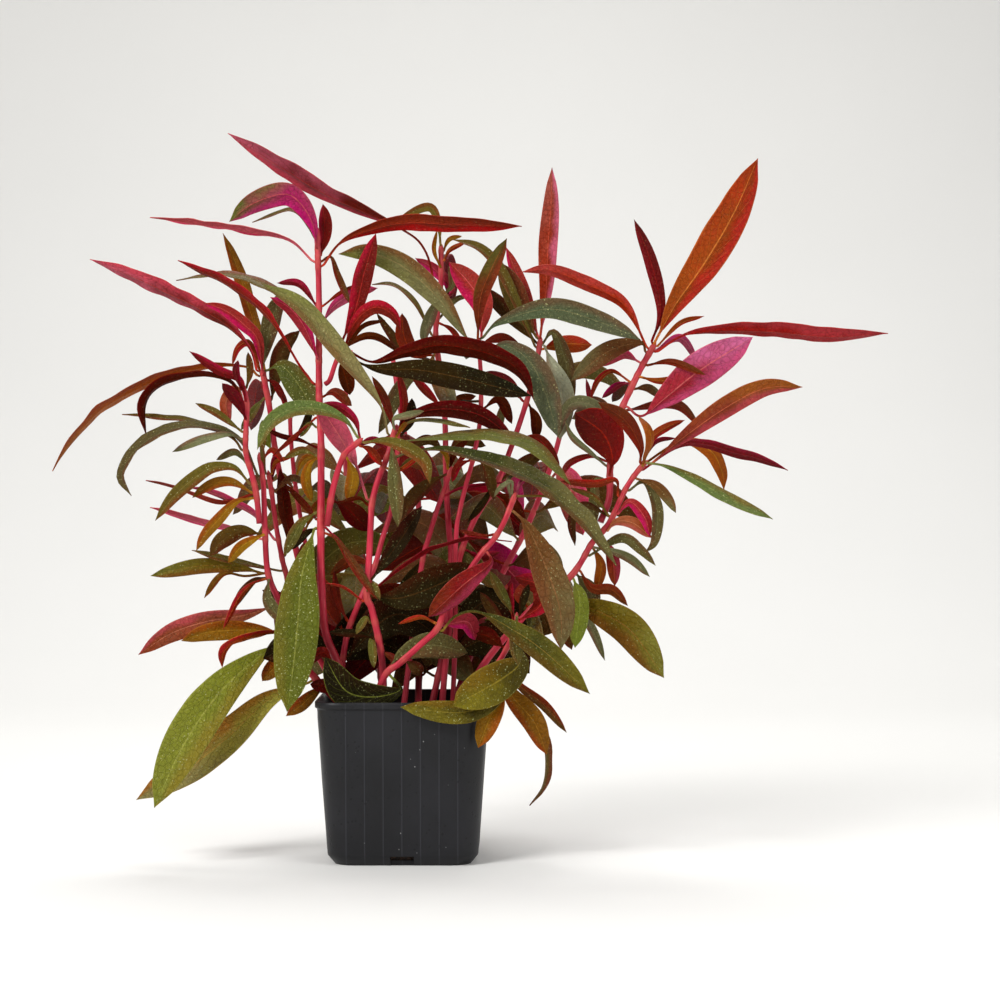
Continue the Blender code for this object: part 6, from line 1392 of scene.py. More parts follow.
def leaf_material(name, tone):
    """Upper face and underside in one material; the mesh says which side and place each corner is."""
    graph = Graph("leaf_" + name)
    along, across = graph.attribute("along"), graph.attribute("across")
    upper, chance, side = graph.attribute("upper"), graph.attribute("chance"), graph.attribute("side")
    edge = graph.maths("ABSOLUTE", across)
    patches = graph.noise(PATCHES_PER_METRE, 4)
    grain = graph.noise(GRAINS_PER_METRE, 3)
    cells = graph.add("ShaderNodeTexVoronoi", "Distance", Scale=CELLS_PER_METRE, Vector=graph.place())
    net = graph.add("ShaderNodeTexVoronoi", "Distance", {"feature": "DISTANCE_TO_EDGE"},
                    Scale=NET_PER_METRE, Vector=graph.place())
    net = graph.step(net, NET_WIDTH, 0.0)
    toward_tip = graph.total(along, (edge, TIP_AT_EDGE), (patches, TIP_PATCHES))
    tip = graph.step(toward_tip, *TIP_SPAN)
    face = graph.mix(upper, graph.mix(tip, paint(*tone.under), paint(*tone.under_tip)),
                     graph.mix(tip, paint(*tone.upper), paint(*tone.upper_tip)))
    lean = graph.total(0.0, (graph.product(across, side), BLUSH_TO_SIDE), (edge, BLUSH_AT_EDGE),
                       (patches, BLUSH_PATCHES))
    face = graph.cover(face, graph.step(lean, *BLUSH_SPAN), BLUSH_STRENGTH, tone.blush)
    lines, vein = rib_lines(graph, along, edge)
    colour = graph.mix(lines, face, paint(*tone.rib))
    # Painted highlight: pale dots where water drops glint on the upper face
    colour = graph.mix(drop_glint_mask(graph, upper, tone.dots), colour, paint(*DROP_GLINT))
    value = graph.total(BASE_VALUE, (chance, CHANCE_VALUE), (patches, PATCH_VALUE),
                        (grain, GRAIN_VALUE), (net, NET_VALUE))
    colour = graph.add("ShaderNodeHueSaturation", 0, Hue=graph.total(HUE_START, (chance, HUE_CHANCE)),
                       Saturation=SATURATION, Value=value, Color=colour)
    height = graph.total(0.0, (grain, GRAIN_RISE), (patches, PATCH_RISE), (cells, CELL_RISE),
                         (net, NET_RISE), (vein, VEIN_RISE))
    gloss = DARK_GLOSS if max(tone.upper + tone.under) < DARK_TONE else LEAF_GLOSS
    skin = graph.surface(Base_Color=colour, Specular_IOR_Level=gloss,
                         Roughness=graph.total(LEAF_ROUGHNESS, (grain, GRAIN_ROUGHNESS)),
                         Normal=graph.bump(height, RELIEF_DEPTH, RELIEF_STRENGTH))
    glow = graph.add("ShaderNodeHueSaturation", 0, Saturation=THROUGH_SATURATION,
                     Value=THROUGH_VALUE, Color=colour)
    through = graph.add("ShaderNodeBsdfTranslucent", 0, Color=glow)
    return graph.finish(graph.add("ShaderNodeMixShader", 0, i0=THROUGH_SHARE, i1=skin, i2=through))


leaf_materials = {name: leaf_material(name, tone) for name, tone in TONES.items()}
print("leaf materials", len(leaf_materials))

# %% [markdown]
# ## Leaf shapes
# A leaf is a thin closed sheet. Its two halves fold up from the rib, its edges wave, and the sheet
# swells a little between its side veins. The rib stands out under it.

# %% Leaf sheets
SHEET_THICKNESS = 0.36 * MM
THIN_AT_EDGE = 0.4
# The rib stands out under the sheet, less toward the tip, and leaves a groove above
RIB_DEPTH = 0.55 * MM
RIB_AT_BASE = 1.15
RIB_REACH = 0.13
GROOVE_DEPTH, GROOVE_REACH = 0.12 * MM, 0.10
RIPPLE_LENGTH = 11 * MM
SAG_LENGTH = 16 * MM
SAG_SEED = 7
# Rows and columns of a large leaf's sheet and of a small one's
ROWS = {True: 56, False: 34}
COLUMNS = {True: 16, False: 10}
# Rows lie closer at base and tip: this share of them is spread evenly
EVEN_SHARE = 0.6
TIP_START, TIP_ROUNDNESS, TIP_LEFT = 0.9, 0.35, 0.02
THINNEST = 0.12 * MM
FOLD_ROUNDNESS = 0.012
SWELL_POWER, SWELL_MEAN, SWELL_FROM_RIB = 0.6, 0.6, 5
# How single leaves differ: least and most of each
FOLD_RANGE, DROOP_RANGE = (0.7, 1.5), (-0.05, 0.25)
WAVE_RANGE, SAG_RANGE = (0.7, 2.0), (0.3, 0.9)
FULL_WAVE_WIDTH = 12 * MM
SEED_RANGE, ROLL_RANGE = (0, 90), (-10, 10)
SOFT_PUCKER = 0.18 * MM
PUCKER = {"leaf_crinkled_pink_right": 0.75 * MM, "leaf_broad_yellow_green_rim": 0.6 * MM}
# The half that blushes, where the photo shows which
# On the red spire the pink half is painted sheen, the lamp-lit half of an orange underside
BLUSH_SIDE = {"leaf_red_spire": -1, "leaf_longest_crimson_top_left": 1, "leaf_far_left_crimson": -1,
              "leaf_crinkled_pink_right": -1}


def leaf_look(blade, dice):
    """How this one leaf differs from the next: folds, waves and puckers."""
    side = dice.choice((-1, 1))
    return {
        "fold": LEAF_FOLD * dice.uniform(*FOLD_RANGE),
        "droop": dice.uniform(*DROOP_RANGE),
        "wave": dice.uniform(*WAVE_RANGE) * MM * min(1.0, blade.width / FULL_WAVE_WIDTH),
        "sag": dice.uniform(*SAG_RANGE) * MM,
        "seed": dice.uniform(*SEED_RANGE),
        "pucker": PUCKER.get(blade.leaf.name, SOFT_PUCKER),
        "roll": math.radians(dice.uniform(*ROLL_RANGE)),
        "chance": dice.random(),
        "side": BLUSH_SIDE.get(blade.leaf.name, side),
    }


def unevenness(look, distance, across, half):
    """How far a row of a leaf rises and sinks: long soft waves at its edges, a slight sag between."""
    seed = look["seed"]
    edges = [noise.noise(Vector((distance / RIPPLE_LENGTH, hand * 3, seed))) for hand in (-1, 1)]
    waves = np.where(across > 0, edges[1], edges[0]) * look["wave"] * across ** 2
    sags = [noise.noise(Vector((distance / SAG_LENGTH, reach * half / SAG_LENGTH, seed + SAG_SEED)))
            for reach in across]
    return waves + np.array(sags) * look["sag"]


def sheet_half_width(blade, share):
    """Half the sheet's width, which ends in a rounded point."""
    half = max(blade_half_width(share, blade.width, blade.leaf.stalk), THINNEST)
    if share > TIP_START:
        half *= max(0.0, (1 - share) / (1 - TIP_START)) ** TIP_ROUNDNESS + TIP_LEFT
    return half


def row_rise(blade, look, share, half, across):
    """How high each corner of a row lies over the midrib: fold, droop, waves, puckers and groove."""
    edge = np.abs(across)
    body = min(1.0, half / (blade.width / 2))
    rounded = np.sqrt(edge ** 2 + FOLD_ROUNDNESS) - math.sqrt(FOLD_ROUNDNESS)
    rise = rounded * half * math.sin(look["fold"]) - look["droop"] * half * edge ** 3
    rise += unevenness(look, share * blade.length, across, half) * body
    swell = np.abs(np.sin(math.pi * (share * VEINS_PER_LEAF - edge * VEIN_SLANT)))
    rise += (look["pucker"] * body * (swell ** SWELL_POWER - SWELL_MEAN) * (1 - edge ** 3)
             * np.minimum(1, edge * SWELL_FROM_RIB))
    return rise - GROOVE_DEPTH * np.exp(-(edge / GROOVE_REACH) ** 2)


def sheet(blade, look):
    """Corners of the upper and lower face of a leaf, row by row, and where each corner lies."""
    large = blade.leaf.name is not None
    rows, columns = ROWS[large], COLUMNS[large]
    across = np.linspace(-1, 1, columns + 1)
    edge = np.abs(across)
    upper, lower, along = [], [], []
    for row in range(rows + 1):
        even = row / rows
        share = EVEN_SHARE * even + (1 - EVEN_SHARE) * (0.5 - 0.5 * math.cos(math.pi * even))
        place, side, up = blade.frame(share)
        if row == 0:
            place = place - blade.out * (TOUCH_GAP + STALK_HALF_WIDTH)
        turn = look["roll"] * share
        side, up = (side * math.cos(turn) + up * math.sin(turn),
                    up * math.cos(turn) - side * math.sin(turn))
        half = sheet_half_width(blade, share)
        rise = row_rise(blade, look, share, half, across)
        rib = RIB_DEPTH * (RIB_AT_BASE - share) * np.exp(-(edge / RIB_REACH) ** 2)
        deep = SHEET_THICKNESS * (1 - THIN_AT_EDGE * edge) + rib
        reach = across * half * math.cos(look["fold"])
        top = np.array(place) + np.outer(reach, side) + np.outer(rise, up)
        upper.append(top)
        lower.append(top - np.outer(deep, up))
        along.append(np.full(columns + 1, share))
    return np.concatenate(upper), np.concatenate(lower), np.concatenate(along), np.tile(across, rows + 1)


def sheet_faces(rows, columns):
    """Faces of a closed sheet: the upper grid, the lower grid, and the rim that joins them."""
    wide = columns + 1
    lower = (rows + 1) * wide
    faces, rim = [], []
    for i in range(rows):
        for j in range(columns):
            a = i * wide + j
            faces.append([a, a + 1, a + wide + 1, a + wide])
            faces.append([lower + a, lower + a + wide, lower + a + wide + 1, lower + a + 1])
    for i in range(rows):
        a, b = i * wide, (i + 1) * wide
        rim.append([a, b, lower + b, lower + a])
        a, b = a + columns, b + columns
        rim.append([b, a, lower + a, lower + b])
    for j in range(columns):
        a, b = j, rows * wide + j
        rim.append([a + 1, a, lower + a, lower + a + 1])
        rim.append([b, b + 1, lower + b + 1, lower + b])
    return faces + rim, [False] * len(faces) + [True] * len(rim)


SHEET_FACES = {large: sheet_faces(ROWS[large], COLUMNS[large]) for large in (True, False)}
LEAF_SEED = 12


def add_leaf(shell, blade, dice):
    """Adds one leaf to a shell."""
    look = leaf_look(blade, dice)
    upper, lower, along, across = sheet(blade, look)
    faces, flat = SHEET_FACES[blade.leaf.name is not None]
    count = len(upper)
    shell.add(np.concatenate([upper, lower]), faces, flat,
              along=np.concatenate([along, along]), across=np.concatenate([across, across]),
              upper=np.concatenate([np.ones(count), np.zeros(count)]),
              chance=np.full(2 * count, look["chance"]), side=np.full(2 * count, look["side"]))


def slot_of(tone):
    """The record's slot for a tone; a few tones share one."""
    return SLOT_OF_TONE.get(tone, "leaf_" + tone)


dice = random.Random(LEAF_SEED)
groups = {}
for blade in clump.blades:
    leaf = blade.leaf
    key = leaf.name or leaf.stem + "_leaves_" + leaf.tone
    groups.setdefault(key, []).append(blade)
for key, blades in groups.items():
    shell = Shell()
    for blade in blades:
        add_leaf(shell, blade, dice)
    leaf = blades[0].leaf
    shell.build(key + ("_blade" if leaf.name else ""),
                leaf_materials[LOOK_OF_LEAF.get(leaf.name, leaf.tone)], slot_of(leaf.tone),
                leaf.name or leaf.stem)
print("leaf pieces", len(groups))

# %% [markdown]
# ## Stems
# A stem is a tube with soft grooves that swells at each node. It is pink red, with paler streaks
# that run along it, painted shade that darkens its foot, and a paler, greener tint at the nodes.
# Vertex values carry the place along and around the tube, so that the streaks stay on it where it bends.

# %% Stems
TUBE_SIDES = 16
TUBE_STEP = 1.6 * MM
FEWEST_ROWS = 8
# A tube has two shallow grooves, swells at its nodes and its foot, and narrows at its end
GROOVE_SHARE = 0.05
SWELL_SHARE, SWELL_REACH = 0.15, 1.7 * MM
FOOT_SHARE, FOOT_REACH = 0.25, 4 * MM
END_LENGTH, END_LEFT = 3 * MM, 0.05 * MM
# Streaks run along the stem: noise to the metre along it, and round it
STREAK_STRETCH = 55
STREAKS = 1.6
PALE_STREAKS, DARK_STREAKS = (0.52, 0.74), (0.44, 0.28)
STREAK_STRENGTH = 0.6
STEM_PATCHES_PER_METRE, STEM_PATCH_SPAN = 60, (0.30, 0.70)
STEM_GRAINS_PER_METRE = 900
STEM_RED, STEM_PINK = (164, 26, 44), (192, 40, 64)
STREAK_PINK, STREAK_RED = (214, 84, 92), (122, 14, 22)
NODE_TAN, NODE_STRENGTH = (190, 104, 76), 0.3
# Painted shade at the foot of each stem: its dark red, where it fades along the stem, and how strong it is
FOOT_SHADE_RED, FOOT_SHADE_SPAN, FOOT_SHADE_STRENGTH = (112, 18, 24), (0.35, 0.0), 0.5
STEM_ROUGHNESS, STEM_GRAIN_ROUGHNESS, STEM_GLOSS = 0.34, 0.26, 0.28
STEM_GRAIN_RISE, STEM_RELIEF_DEPTH, STEM_RELIEF_STRENGTH = 0.3, 0.5 * MM, 0.6


def stem_material():
    """Red to pink, with streaks along it, paler at the nodes and with painted shade at the foot."""
    graph = Graph("stem_red")
    around = graph.add("ShaderNodeCombineXYZ", 0, i0=graph.attribute("round_x"),
                       i1=graph.attribute("round_y"),
                       i2=graph.product(graph.attribute("distance"), STREAK_STRETCH))
    streaks = graph.noise(STREAKS, 3, around)
    patches = graph.step(graph.noise(STEM_PATCHES_PER_METRE, 3), *STEM_PATCH_SPAN)
    grain = graph.noise(STEM_GRAINS_PER_METRE, 2)
    colour = graph.mix(patches, paint(*STEM_RED), paint(*STEM_PINK))
    colour = graph.cover(colour, graph.step(streaks, *PALE_STREAKS), STREAK_STRENGTH, STREAK_PINK)
    colour = graph.cover(colour, graph.step(streaks, *DARK_STREAKS), STREAK_STRENGTH, STREAK_RED)
    colour = graph.cover(colour, graph.attribute("knot"), NODE_STRENGTH, NODE_TAN)
    # Painted shade: each stem is darkened toward its foot, low in the clump
    foot = graph.step(graph.attribute("along"), *FOOT_SHADE_SPAN)
    colour = graph.cover(colour, foot, FOOT_SHADE_STRENGTH, FOOT_SHADE_RED)
    height = graph.total(streaks, (grain, STEM_GRAIN_RISE))
    return graph.finish(graph.surface(
        Base_Color=colour, Specular_IOR_Level=STEM_GLOSS,
        Roughness=graph.total(STEM_ROUGHNESS, (grain, STEM_GRAIN_ROUGHNESS)),
        Normal=graph.bump(height, STEM_RELIEF_DEPTH, STEM_RELIEF_STRENGTH)))


def tube(name, route, knots):
    """Corners and faces of one stem, and the values that its material reads."""
    rows = max(FEWEST_ROWS, round(route.length / TUBE_STEP))
    angles = np.linspace(0, math.tau, TUBE_SIDES, endpoint=False)
    grooves = 1 + GROOVE_SHARE * np.cos(2 * angles)
    on_medium = STEMS[name].foot is not None
    rings, closeness, along = [], [], []
    for row in range(rows + 1):
        distance = route.length * row / rows
        near = max([math.exp(-((distance - knot) / SWELL_REACH) ** 2) for knot in knots] or [0.0])
        foot = math.exp(-distance / FOOT_REACH) * FOOT_SHARE if on_medium else 0.0
        radius = stem_radius(name, row / rows) * (1 + SWELL_SHARE * near + foot)
        left = route.length - distance
        if left < END_LENGTH:
            radius *= math.sqrt(max(left, END_LEFT) / END_LENGTH)
        place = np.array(route.place(distance))
        one = np.array(route.sideways(distance, 0.0))
        two = np.array(route.sideways(distance, math.pi / 2))
        if distance == 0 and on_medium:
            one[2] = two[2] = 0.0
        ring = np.outer(np.cos(angles), one) + np.outer(np.sin(angles), two)
        rings.append(place + radius * grooves[:, None] * ring)
        closeness.append(np.full(TUBE_SIDES, near))
        along.append(np.full(TUBE_SIDES, row / rows))
    corners, faces = loft(rings)
    along = np.concatenate(along)
    values = {"knot": np.concatenate(closeness), "along": along, "distance": along * route.length,
              "round_x": np.tile(np.cos(angles), rows + 1), "round_y": np.tile(np.sin(angles), rows + 1)}
    return corners, faces, values


red_stem = stem_material()
for name, route in routes.items():
    corners, faces, values = tube(name, route, list(clump.nodes[name].taken))
    shell = Shell()
    shell.add(corners, faces, smooth_but_caps(faces), **values)
    shell.build(name + "_tube", red_stem, "stem_red", name)
print("stems dressed", len(routes))

# %% [markdown]
# ## The pot
# The pot is grown as one run of rounded squares: up the ribbed outside, over the lip, and down
# the inside. A Boolean cuts the drain notches.

# %% Pot
# The pot, a tapered square with rounded corners and a thin wall
POT_RIM = 90 * MM
POT_FOOT = 77 * MM
POT_HEIGHT = 84 * MM
POT_WALL = 1.2 * MM
POT_FLOOR = 2.0 * MM
POT_CORNER = 14 * MM
FOOT_BEVEL_HEIGHT = 5 * MM
FOOT_BEVEL_DEPTH = 3.5 * MM
LIP_HEIGHT = 3.5 * MM
LIP_DEPTH = 0.8 * MM
NOTCH_WIDTH = 12 * MM
NOTCH_HEIGHT = 5 * MM
NOTCH_REACH = 8 * MM
CORNER_STEPS = 12
SIDE_STEPS = 160
RIB_SPACING = 9.5 * MM
RIBS_ON_SIDE = 7
RIB_HEIGHT = 0.30 * MM
RIB_HALF_WIDTH = 0.45 * MM
RIB_SQUARENESS = 4
# How round the moulded edges are, and the small steps beside them
EDGE_ROUNDING = 0.35 * MM
BEVEL_ROUNDING, BEVEL_BELOW, BEVEL_ABOVE = 0.25 * MM, 0.5 * MM, 0.3 * MM
LIP_ROOT, LIP_ROOT_DROP = 0.05 * MM, 0.1 * MM
FOOT_ROUNDING_HEIGHT = 0.2 * MM
# The ribbed part: its distance from bevel and lip, its levels, and the share in which ribs fade
RIB_MARGIN = 1 * MM
RIB_LEVELS = (0.0, 0.03, 0.06, 0.5, 0.94, 0.97, 1.0)
RIB_FADE = 0.05
PLASTIC_BLACK, PLASTIC_WORN, PLASTIC_WORN_SPAN = (17, 17, 20), (27, 27, 31), (0.35, 0.75)
PLASTIC_GRAINS_PER_METRE, SMUDGES_PER_METRE = 2600, 28
# A painted highlight up each rib: its grey, how strongly it shows, and where it fades toward the corners
RIB_HIGHLIGHT_GREY, RIB_HIGHLIGHT_STRENGTH, RIB_HIGHLIGHT_END = (58, 58, 64), 0.5, (0.40 * POT_RIM, 0.34 * POT_RIM)
WET_BLACK, WET_STRENGTH, WET_RISE = (5, 5, 7), 0.8, -0.8
WET_PER_METRE, WET_SIZE, WET_CROWDS_PER_METRE, WET_CROWD_SPAN = 330, (0.12, 0.26), 45, (0.42, 0.60)
DUST_GREY, DUST_STRENGTH, DUST_RISE = (190, 190, 190), 0.6, 1.5
DUST_PER_METRE, DUST_SIZE, DUST_CROWDS_PER_METRE, DUST_CROWD_SPAN = 190, (0.03, 0.08), 60, (0.50, 0.62)
PLASTIC_ROUGHNESS, SMUDGE_ROUGHNESS, PLASTIC_GLOSS = 0.34, 0.26, 0.3
PLASTIC_GRAIN_RISE, PLASTIC_RELIEF_DEPTH, PLASTIC_RELIEF_STRENGTH = 0.4, 0.2 * MM, 0.5


def pot_half(height):
    """Half the pot's outer width at a height."""
    return (POT_FOOT + (POT_RIM - 2 * LIP_DEPTH - POT_FOOT) * height / POT_HEIGHT) / 2


def level(half, height, ribs=0.0):
    """Corners of a rounded square; ribs is how strongly the upright ribs stand out of it."""
    corner = POT_CORNER * half / (POT_RIM / 2)
    flat = half - corner
    points = []
    for quarter in range(4):
        turn = math.pi / 2 * quarter
        outline = []
        for step in range(SIDE_STEPS):
            x = -flat + 2 * flat * step / SIDE_STEPS
            nearest = round(x / RIB_SPACING)
            off = (x - nearest * RIB_SPACING) / RIB_HALF_WIDTH
            proud = RIB_HEIGHT * ribs * math.exp(-off ** RIB_SQUARENESS)
            outline.append((x, -half - (proud if abs(nearest) <= RIBS_ON_SIDE // 2 else 0)))
        for step in range(CORNER_STEPS):
            angle = math.pi / 2 * (step / CORNER_STEPS - 1)
            outline.append((flat + corner * math.cos(angle), -flat + corner * math.sin(angle)))
        for x, y in outline:
            points.append((x * math.cos(turn) - y * math.sin(turn),
                           x * math.sin(turn) + y * math.cos(turn), height))
    return np.array(points)


def pot_levels():
    """Rounded squares from the foot up the outside, over the lip and down the inside."""
    lip_foot = POT_HEIGHT - LIP_HEIGHT
    rim = POT_RIM / 2
    foot = pot_half(0) - FOOT_BEVEL_DEPTH
    inner = pot_half(POT_HEIGHT) - POT_WALL
    levels = [level(foot, 0.0),
              level(foot + EDGE_ROUNDING, FOOT_ROUNDING_HEIGHT),
              level(pot_half(FOOT_BEVEL_HEIGHT) - BEVEL_ROUNDING, FOOT_BEVEL_HEIGHT - BEVEL_BELOW),
              level(pot_half(FOOT_BEVEL_HEIGHT), FOOT_BEVEL_HEIGHT + BEVEL_ABOVE)]
    for share in RIB_LEVELS:
        height = (FOOT_BEVEL_HEIGHT + RIB_MARGIN
                  + share * (lip_foot - FOOT_BEVEL_HEIGHT - 2 * RIB_MARGIN))
        ribs = min(1.0, share / RIB_FADE, (1 - share) / RIB_FADE)
        levels.append(level(pot_half(height), height, ribs))
    return levels + [
        level(pot_half(lip_foot) + LIP_ROOT, lip_foot - LIP_ROOT_DROP),
        level(rim - EDGE_ROUNDING, lip_foot),
        level(rim, lip_foot + EDGE_ROUNDING),
        level(rim, POT_HEIGHT - EDGE_ROUNDING),
        level(rim - EDGE_ROUNDING, POT_HEIGHT),
        level(inner + EDGE_ROUNDING, POT_HEIGHT),
        level(inner, POT_HEIGHT - EDGE_ROUNDING),
        level(pot_half(FOOT_BEVEL_HEIGHT) - POT_WALL, FOOT_BEVEL_HEIGHT),
        level(foot - POT_WALL, POT_FLOOR)]


def notch_mesh(turn):
    """A box that cuts a drain notch through the foot of one side of the pot."""
    bm = bmesh.new()
    bmesh.ops.create_cube(bm, size=1)
    outer = POT_FOOT / 2 + NOTCH_REACH / 2
    for corner in bm.verts:
        corner.co = Vector((corner.co.x * NOTCH_WIDTH, outer - NOTCH_REACH * (corner.co.y + 0.5),
                            NOTCH_HEIGHT * (corner.co.z * 2)))
    bmesh.ops.rotate(bm, verts=bm.verts, matrix=Matrix.Rotation(turn, 3, "Z"))
    bmesh.ops.recalc_face_normals(bm, faces=bm.faces)
    return bm


def rib_highlight_lines(graph):
    """1 along the upright ribs of every side, where a painted highlight runs, and 0 between them and near
    the corners.
    """
    place = graph.tree.nodes.new("ShaderNodeSeparateXYZ")
    graph.tree.links.new(graph.place(), place.inputs[0])
    reach = graph.maths("MINIMUM", graph.maths("ABSOLUTE", place.outputs[0]),
                        graph.maths("ABSOLUTE", place.outputs[1]))
    spot = graph.maths("FRACT", graph.maths("ADD", graph.maths("DIVIDE", reach, RIB_SPACING), 0.5))
    off = graph.product(graph.maths("ABSOLUTE", graph.maths("SUBTRACT", spot, 0.5)), RIB_SPACING)
    return graph.product(graph.step(off, RIB_HALF_WIDTH, 0.0), graph.step(reach, *RIB_HIGHLIGHT_END))


def pot_material():
    """Black plastic with a thin painted highlight up each rib, smudges and a few specks of dust."""
    graph = Graph("pot_plastic")
    grain = graph.noise(PLASTIC_GRAINS_PER_METRE, 2)
    smudges = graph.noise(SMUDGES_PER_METRE, 4)
    colour = graph.mix(graph.step(smudges, *PLASTIC_WORN_SPAN), paint(*PLASTIC_BLACK),
                       paint(*PLASTIC_WORN))
    # Painted highlight: a paler line up each rib
    colour = graph.cover(colour, rib_highlight_lines(graph), RIB_HIGHLIGHT_STRENGTH, RIB_HIGHLIGHT_GREY)
    wet = graph.product(graph.dots(WET_PER_METRE, *WET_SIZE),
                        graph.step(graph.noise(WET_CROWDS_PER_METRE, 3), *WET_CROWD_SPAN))
    colour = graph.cover(colour, wet, WET_STRENGTH, WET_BLACK)
    dust = graph.product(graph.dots(DUST_PER_METRE, *DUST_SIZE),
                         graph.step(graph.noise(DUST_CROWDS_PER_METRE, 3), *DUST_CROWD_SPAN))
    colour = graph.cover(colour, dust, DUST_STRENGTH, DUST_GREY)
    height = graph.total(0.0, (grain, PLASTIC_GRAIN_RISE), (dust, DUST_RISE), (wet, WET_RISE))
    return graph.finish(graph.surface(
        Base_Color=colour, Specular_IOR_Level=PLASTIC_GLOSS,
        Roughness=graph.total(PLASTIC_ROUGHNESS, (smudges, SMUDGE_ROUGHNESS)),
        Normal=graph.bump(height, PLASTIC_RELIEF_DEPTH, PLASTIC_RELIEF_STRENGTH)))


corners, faces = loft(pot_levels())
shell = Shell()
shell.add(corners, faces, smooth_but_caps(faces))
pot = shell.build("pot_shell", pot_material(), "pot_plastic", "pot")
for side in range(4):
    cutter_mesh = bpy.data.meshes.new(f"notch_cutter_{side + 1}")
    cutter_shape = notch_mesh(side * math.pi / 2)
    cutter_shape.to_mesh(cutter_mesh)
    cutter = bpy.data.objects.new(cutter_mesh.name, cutter_mesh)
    bpy.context.scene.collection.objects.link(cutter)
    cut = pot.modifiers.new("notch", "BOOLEAN")
    cut.operation, cut.solver, cut.object = "DIFFERENCE", "EXACT", cutter
    bpy.context.view_layer.update()
    notched = bpy.data.meshes.new_from_object(pot.evaluated_get(bpy.context.evaluated_depsgraph_get()))
    pot.modifiers.clear()
    pot.data = notched
    bpy.data.objects.remove(cutter)
print("faces of the pot", len(pot.data.polygons))

# %% [markdown]
# ## The growing medium
# A block fills the pot. Its top is a fine grid that noise makes lumpy, with loose crumbs on it.

# %% Growing medium
GRID_STEPS = 90
# The top is lumpy, and sinks beside the wall
COARSE_LUMPS, FINE_LUMPS = 0.12 / MM, 0.7 / MM
COARSE_HEIGHT, FINE_HEIGHT = 0.9, 0.5
LUMP_MIDDLE, LUMP_HEIGHT = 0.7, 0.8 * MM
SHOULDER_START, SHOULDER_DROP = 0.93, 1.6 * MM
WALL_ROOM = 0.4 * MM
# The corners of the block are drawn in, to fit the pot's rounded ones
CORNER_START, CORNER_DRAW = 0.7, 0.256
CRUMBS = 320
CRUMB_SEED = 5
CRUMB_MARGIN, CRUMB_LIFT = 4 * MM, 0.1 * MM
CRUMB_SIZES = ((0.5, 1.5), (0.4, 1.2), (0.3, 0.8))
CRUMB_ROUGHNESS, CRUMB_DETAIL, CRUMB_SEED_RANGE = 0.35, 1.6, (0, 100)
PEAT_DARK, PEAT_BROWN, PEAT_STRAW = (28, 20, 15), (62, 44, 32), (110, 84, 60)
PEAT_SPAN, STRAW_SPAN, STRAW_STRENGTH = (0.35, 0.65), (0.60, 0.75), 0.6
PEAT_COARSE_PER_METRE, PEAT_FINE_PER_METRE, PEAT_FINE_RISE = 420, 1500, 0.5
PEAT_ROUGHNESS, PEAT_RELIEF_DEPTH, PEAT_RELIEF_STRENGTH = 0.85, 1.5 * MM, 0.8


def lump(x, y):
    """The height of the uneven top at a place, in metres below its highest."""
    point = Vector((x, y, 0))
    height = (noise.noise(point * COARSE_LUMPS) * COARSE_HEIGHT
              + noise.noise(point * FINE_LUMPS) * FINE_HEIGHT)
    return (LUMP_MIDDLE - height) * LUMP_HEIGHT


def medium_material():
    """Dark peat with brown and straw-coloured crumbs."""
    graph = Graph("medium_peat")
    coarse, fine = graph.noise(PEAT_COARSE_PER_METRE, 5), graph.noise(PEAT_FINE_PER_METRE, 3)
    colour = graph.mix(graph.step(coarse, *PEAT_SPAN), paint(*PEAT_DARK), paint(*PEAT_BROWN))
    colour = graph.cover(colour, graph.step(fine, *STRAW_SPAN), STRAW_STRENGTH, PEAT_STRAW)
    height = graph.total(coarse, (fine, PEAT_FINE_RISE))
    return graph.finish(graph.surface(
        Base_Color=colour, Roughness=PEAT_ROUGHNESS,
        Normal=graph.bump(height, PEAT_RELIEF_DEPTH, PEAT_RELIEF_STRENGTH)))


def crumb(dice):
    """One crumb: a small ball pushed out of round, resting on the medium."""
    bm = bmesh.new()
    bmesh.ops.create_icosphere(bm, subdivisions=2, radius=1)
    inside = pot_half(MEDIUM_TOP) - POT_WALL - CRUMB_MARGIN
    x, y = dice.uniform(-inside, inside), dice.uniform(-inside, inside)
    size = Vector([dice.uniform(*least_and_most) for least_and_most in CRUMB_SIZES]) * MM
    turn = Matrix.Rotation(dice.uniform(0, math.tau), 3, "Z") @ Matrix.Rotation(dice.uniform(-1, 1), 3, "X")
    seed = dice.uniform(*CRUMB_SEED_RANGE)
    for corner in bm.verts:
        swell = 1 + CRUMB_ROUGHNESS * noise.noise(corner.co * CRUMB_DETAIL + Vector((seed, 0, 0)))
        shaped = Vector(corner.co[i] * size[i] * swell for i in range(3))
        corner.co = turn @ shaped + Vector((x, y, MEDIUM_TOP + CRUMB_LIFT))
    return bm


def bmesh_arrays(bm):
    bm.verts.ensure_lookup_table()
    return (np.array([corner.co[:] for corner in bm.verts]),
            [[corner.index for corner in face.verts] for face in bm.faces])


def past(value, start):
    """0 up to start, and from there up to 1 at 1."""
    return max(0.0, abs(value) - start) / (1 - start)


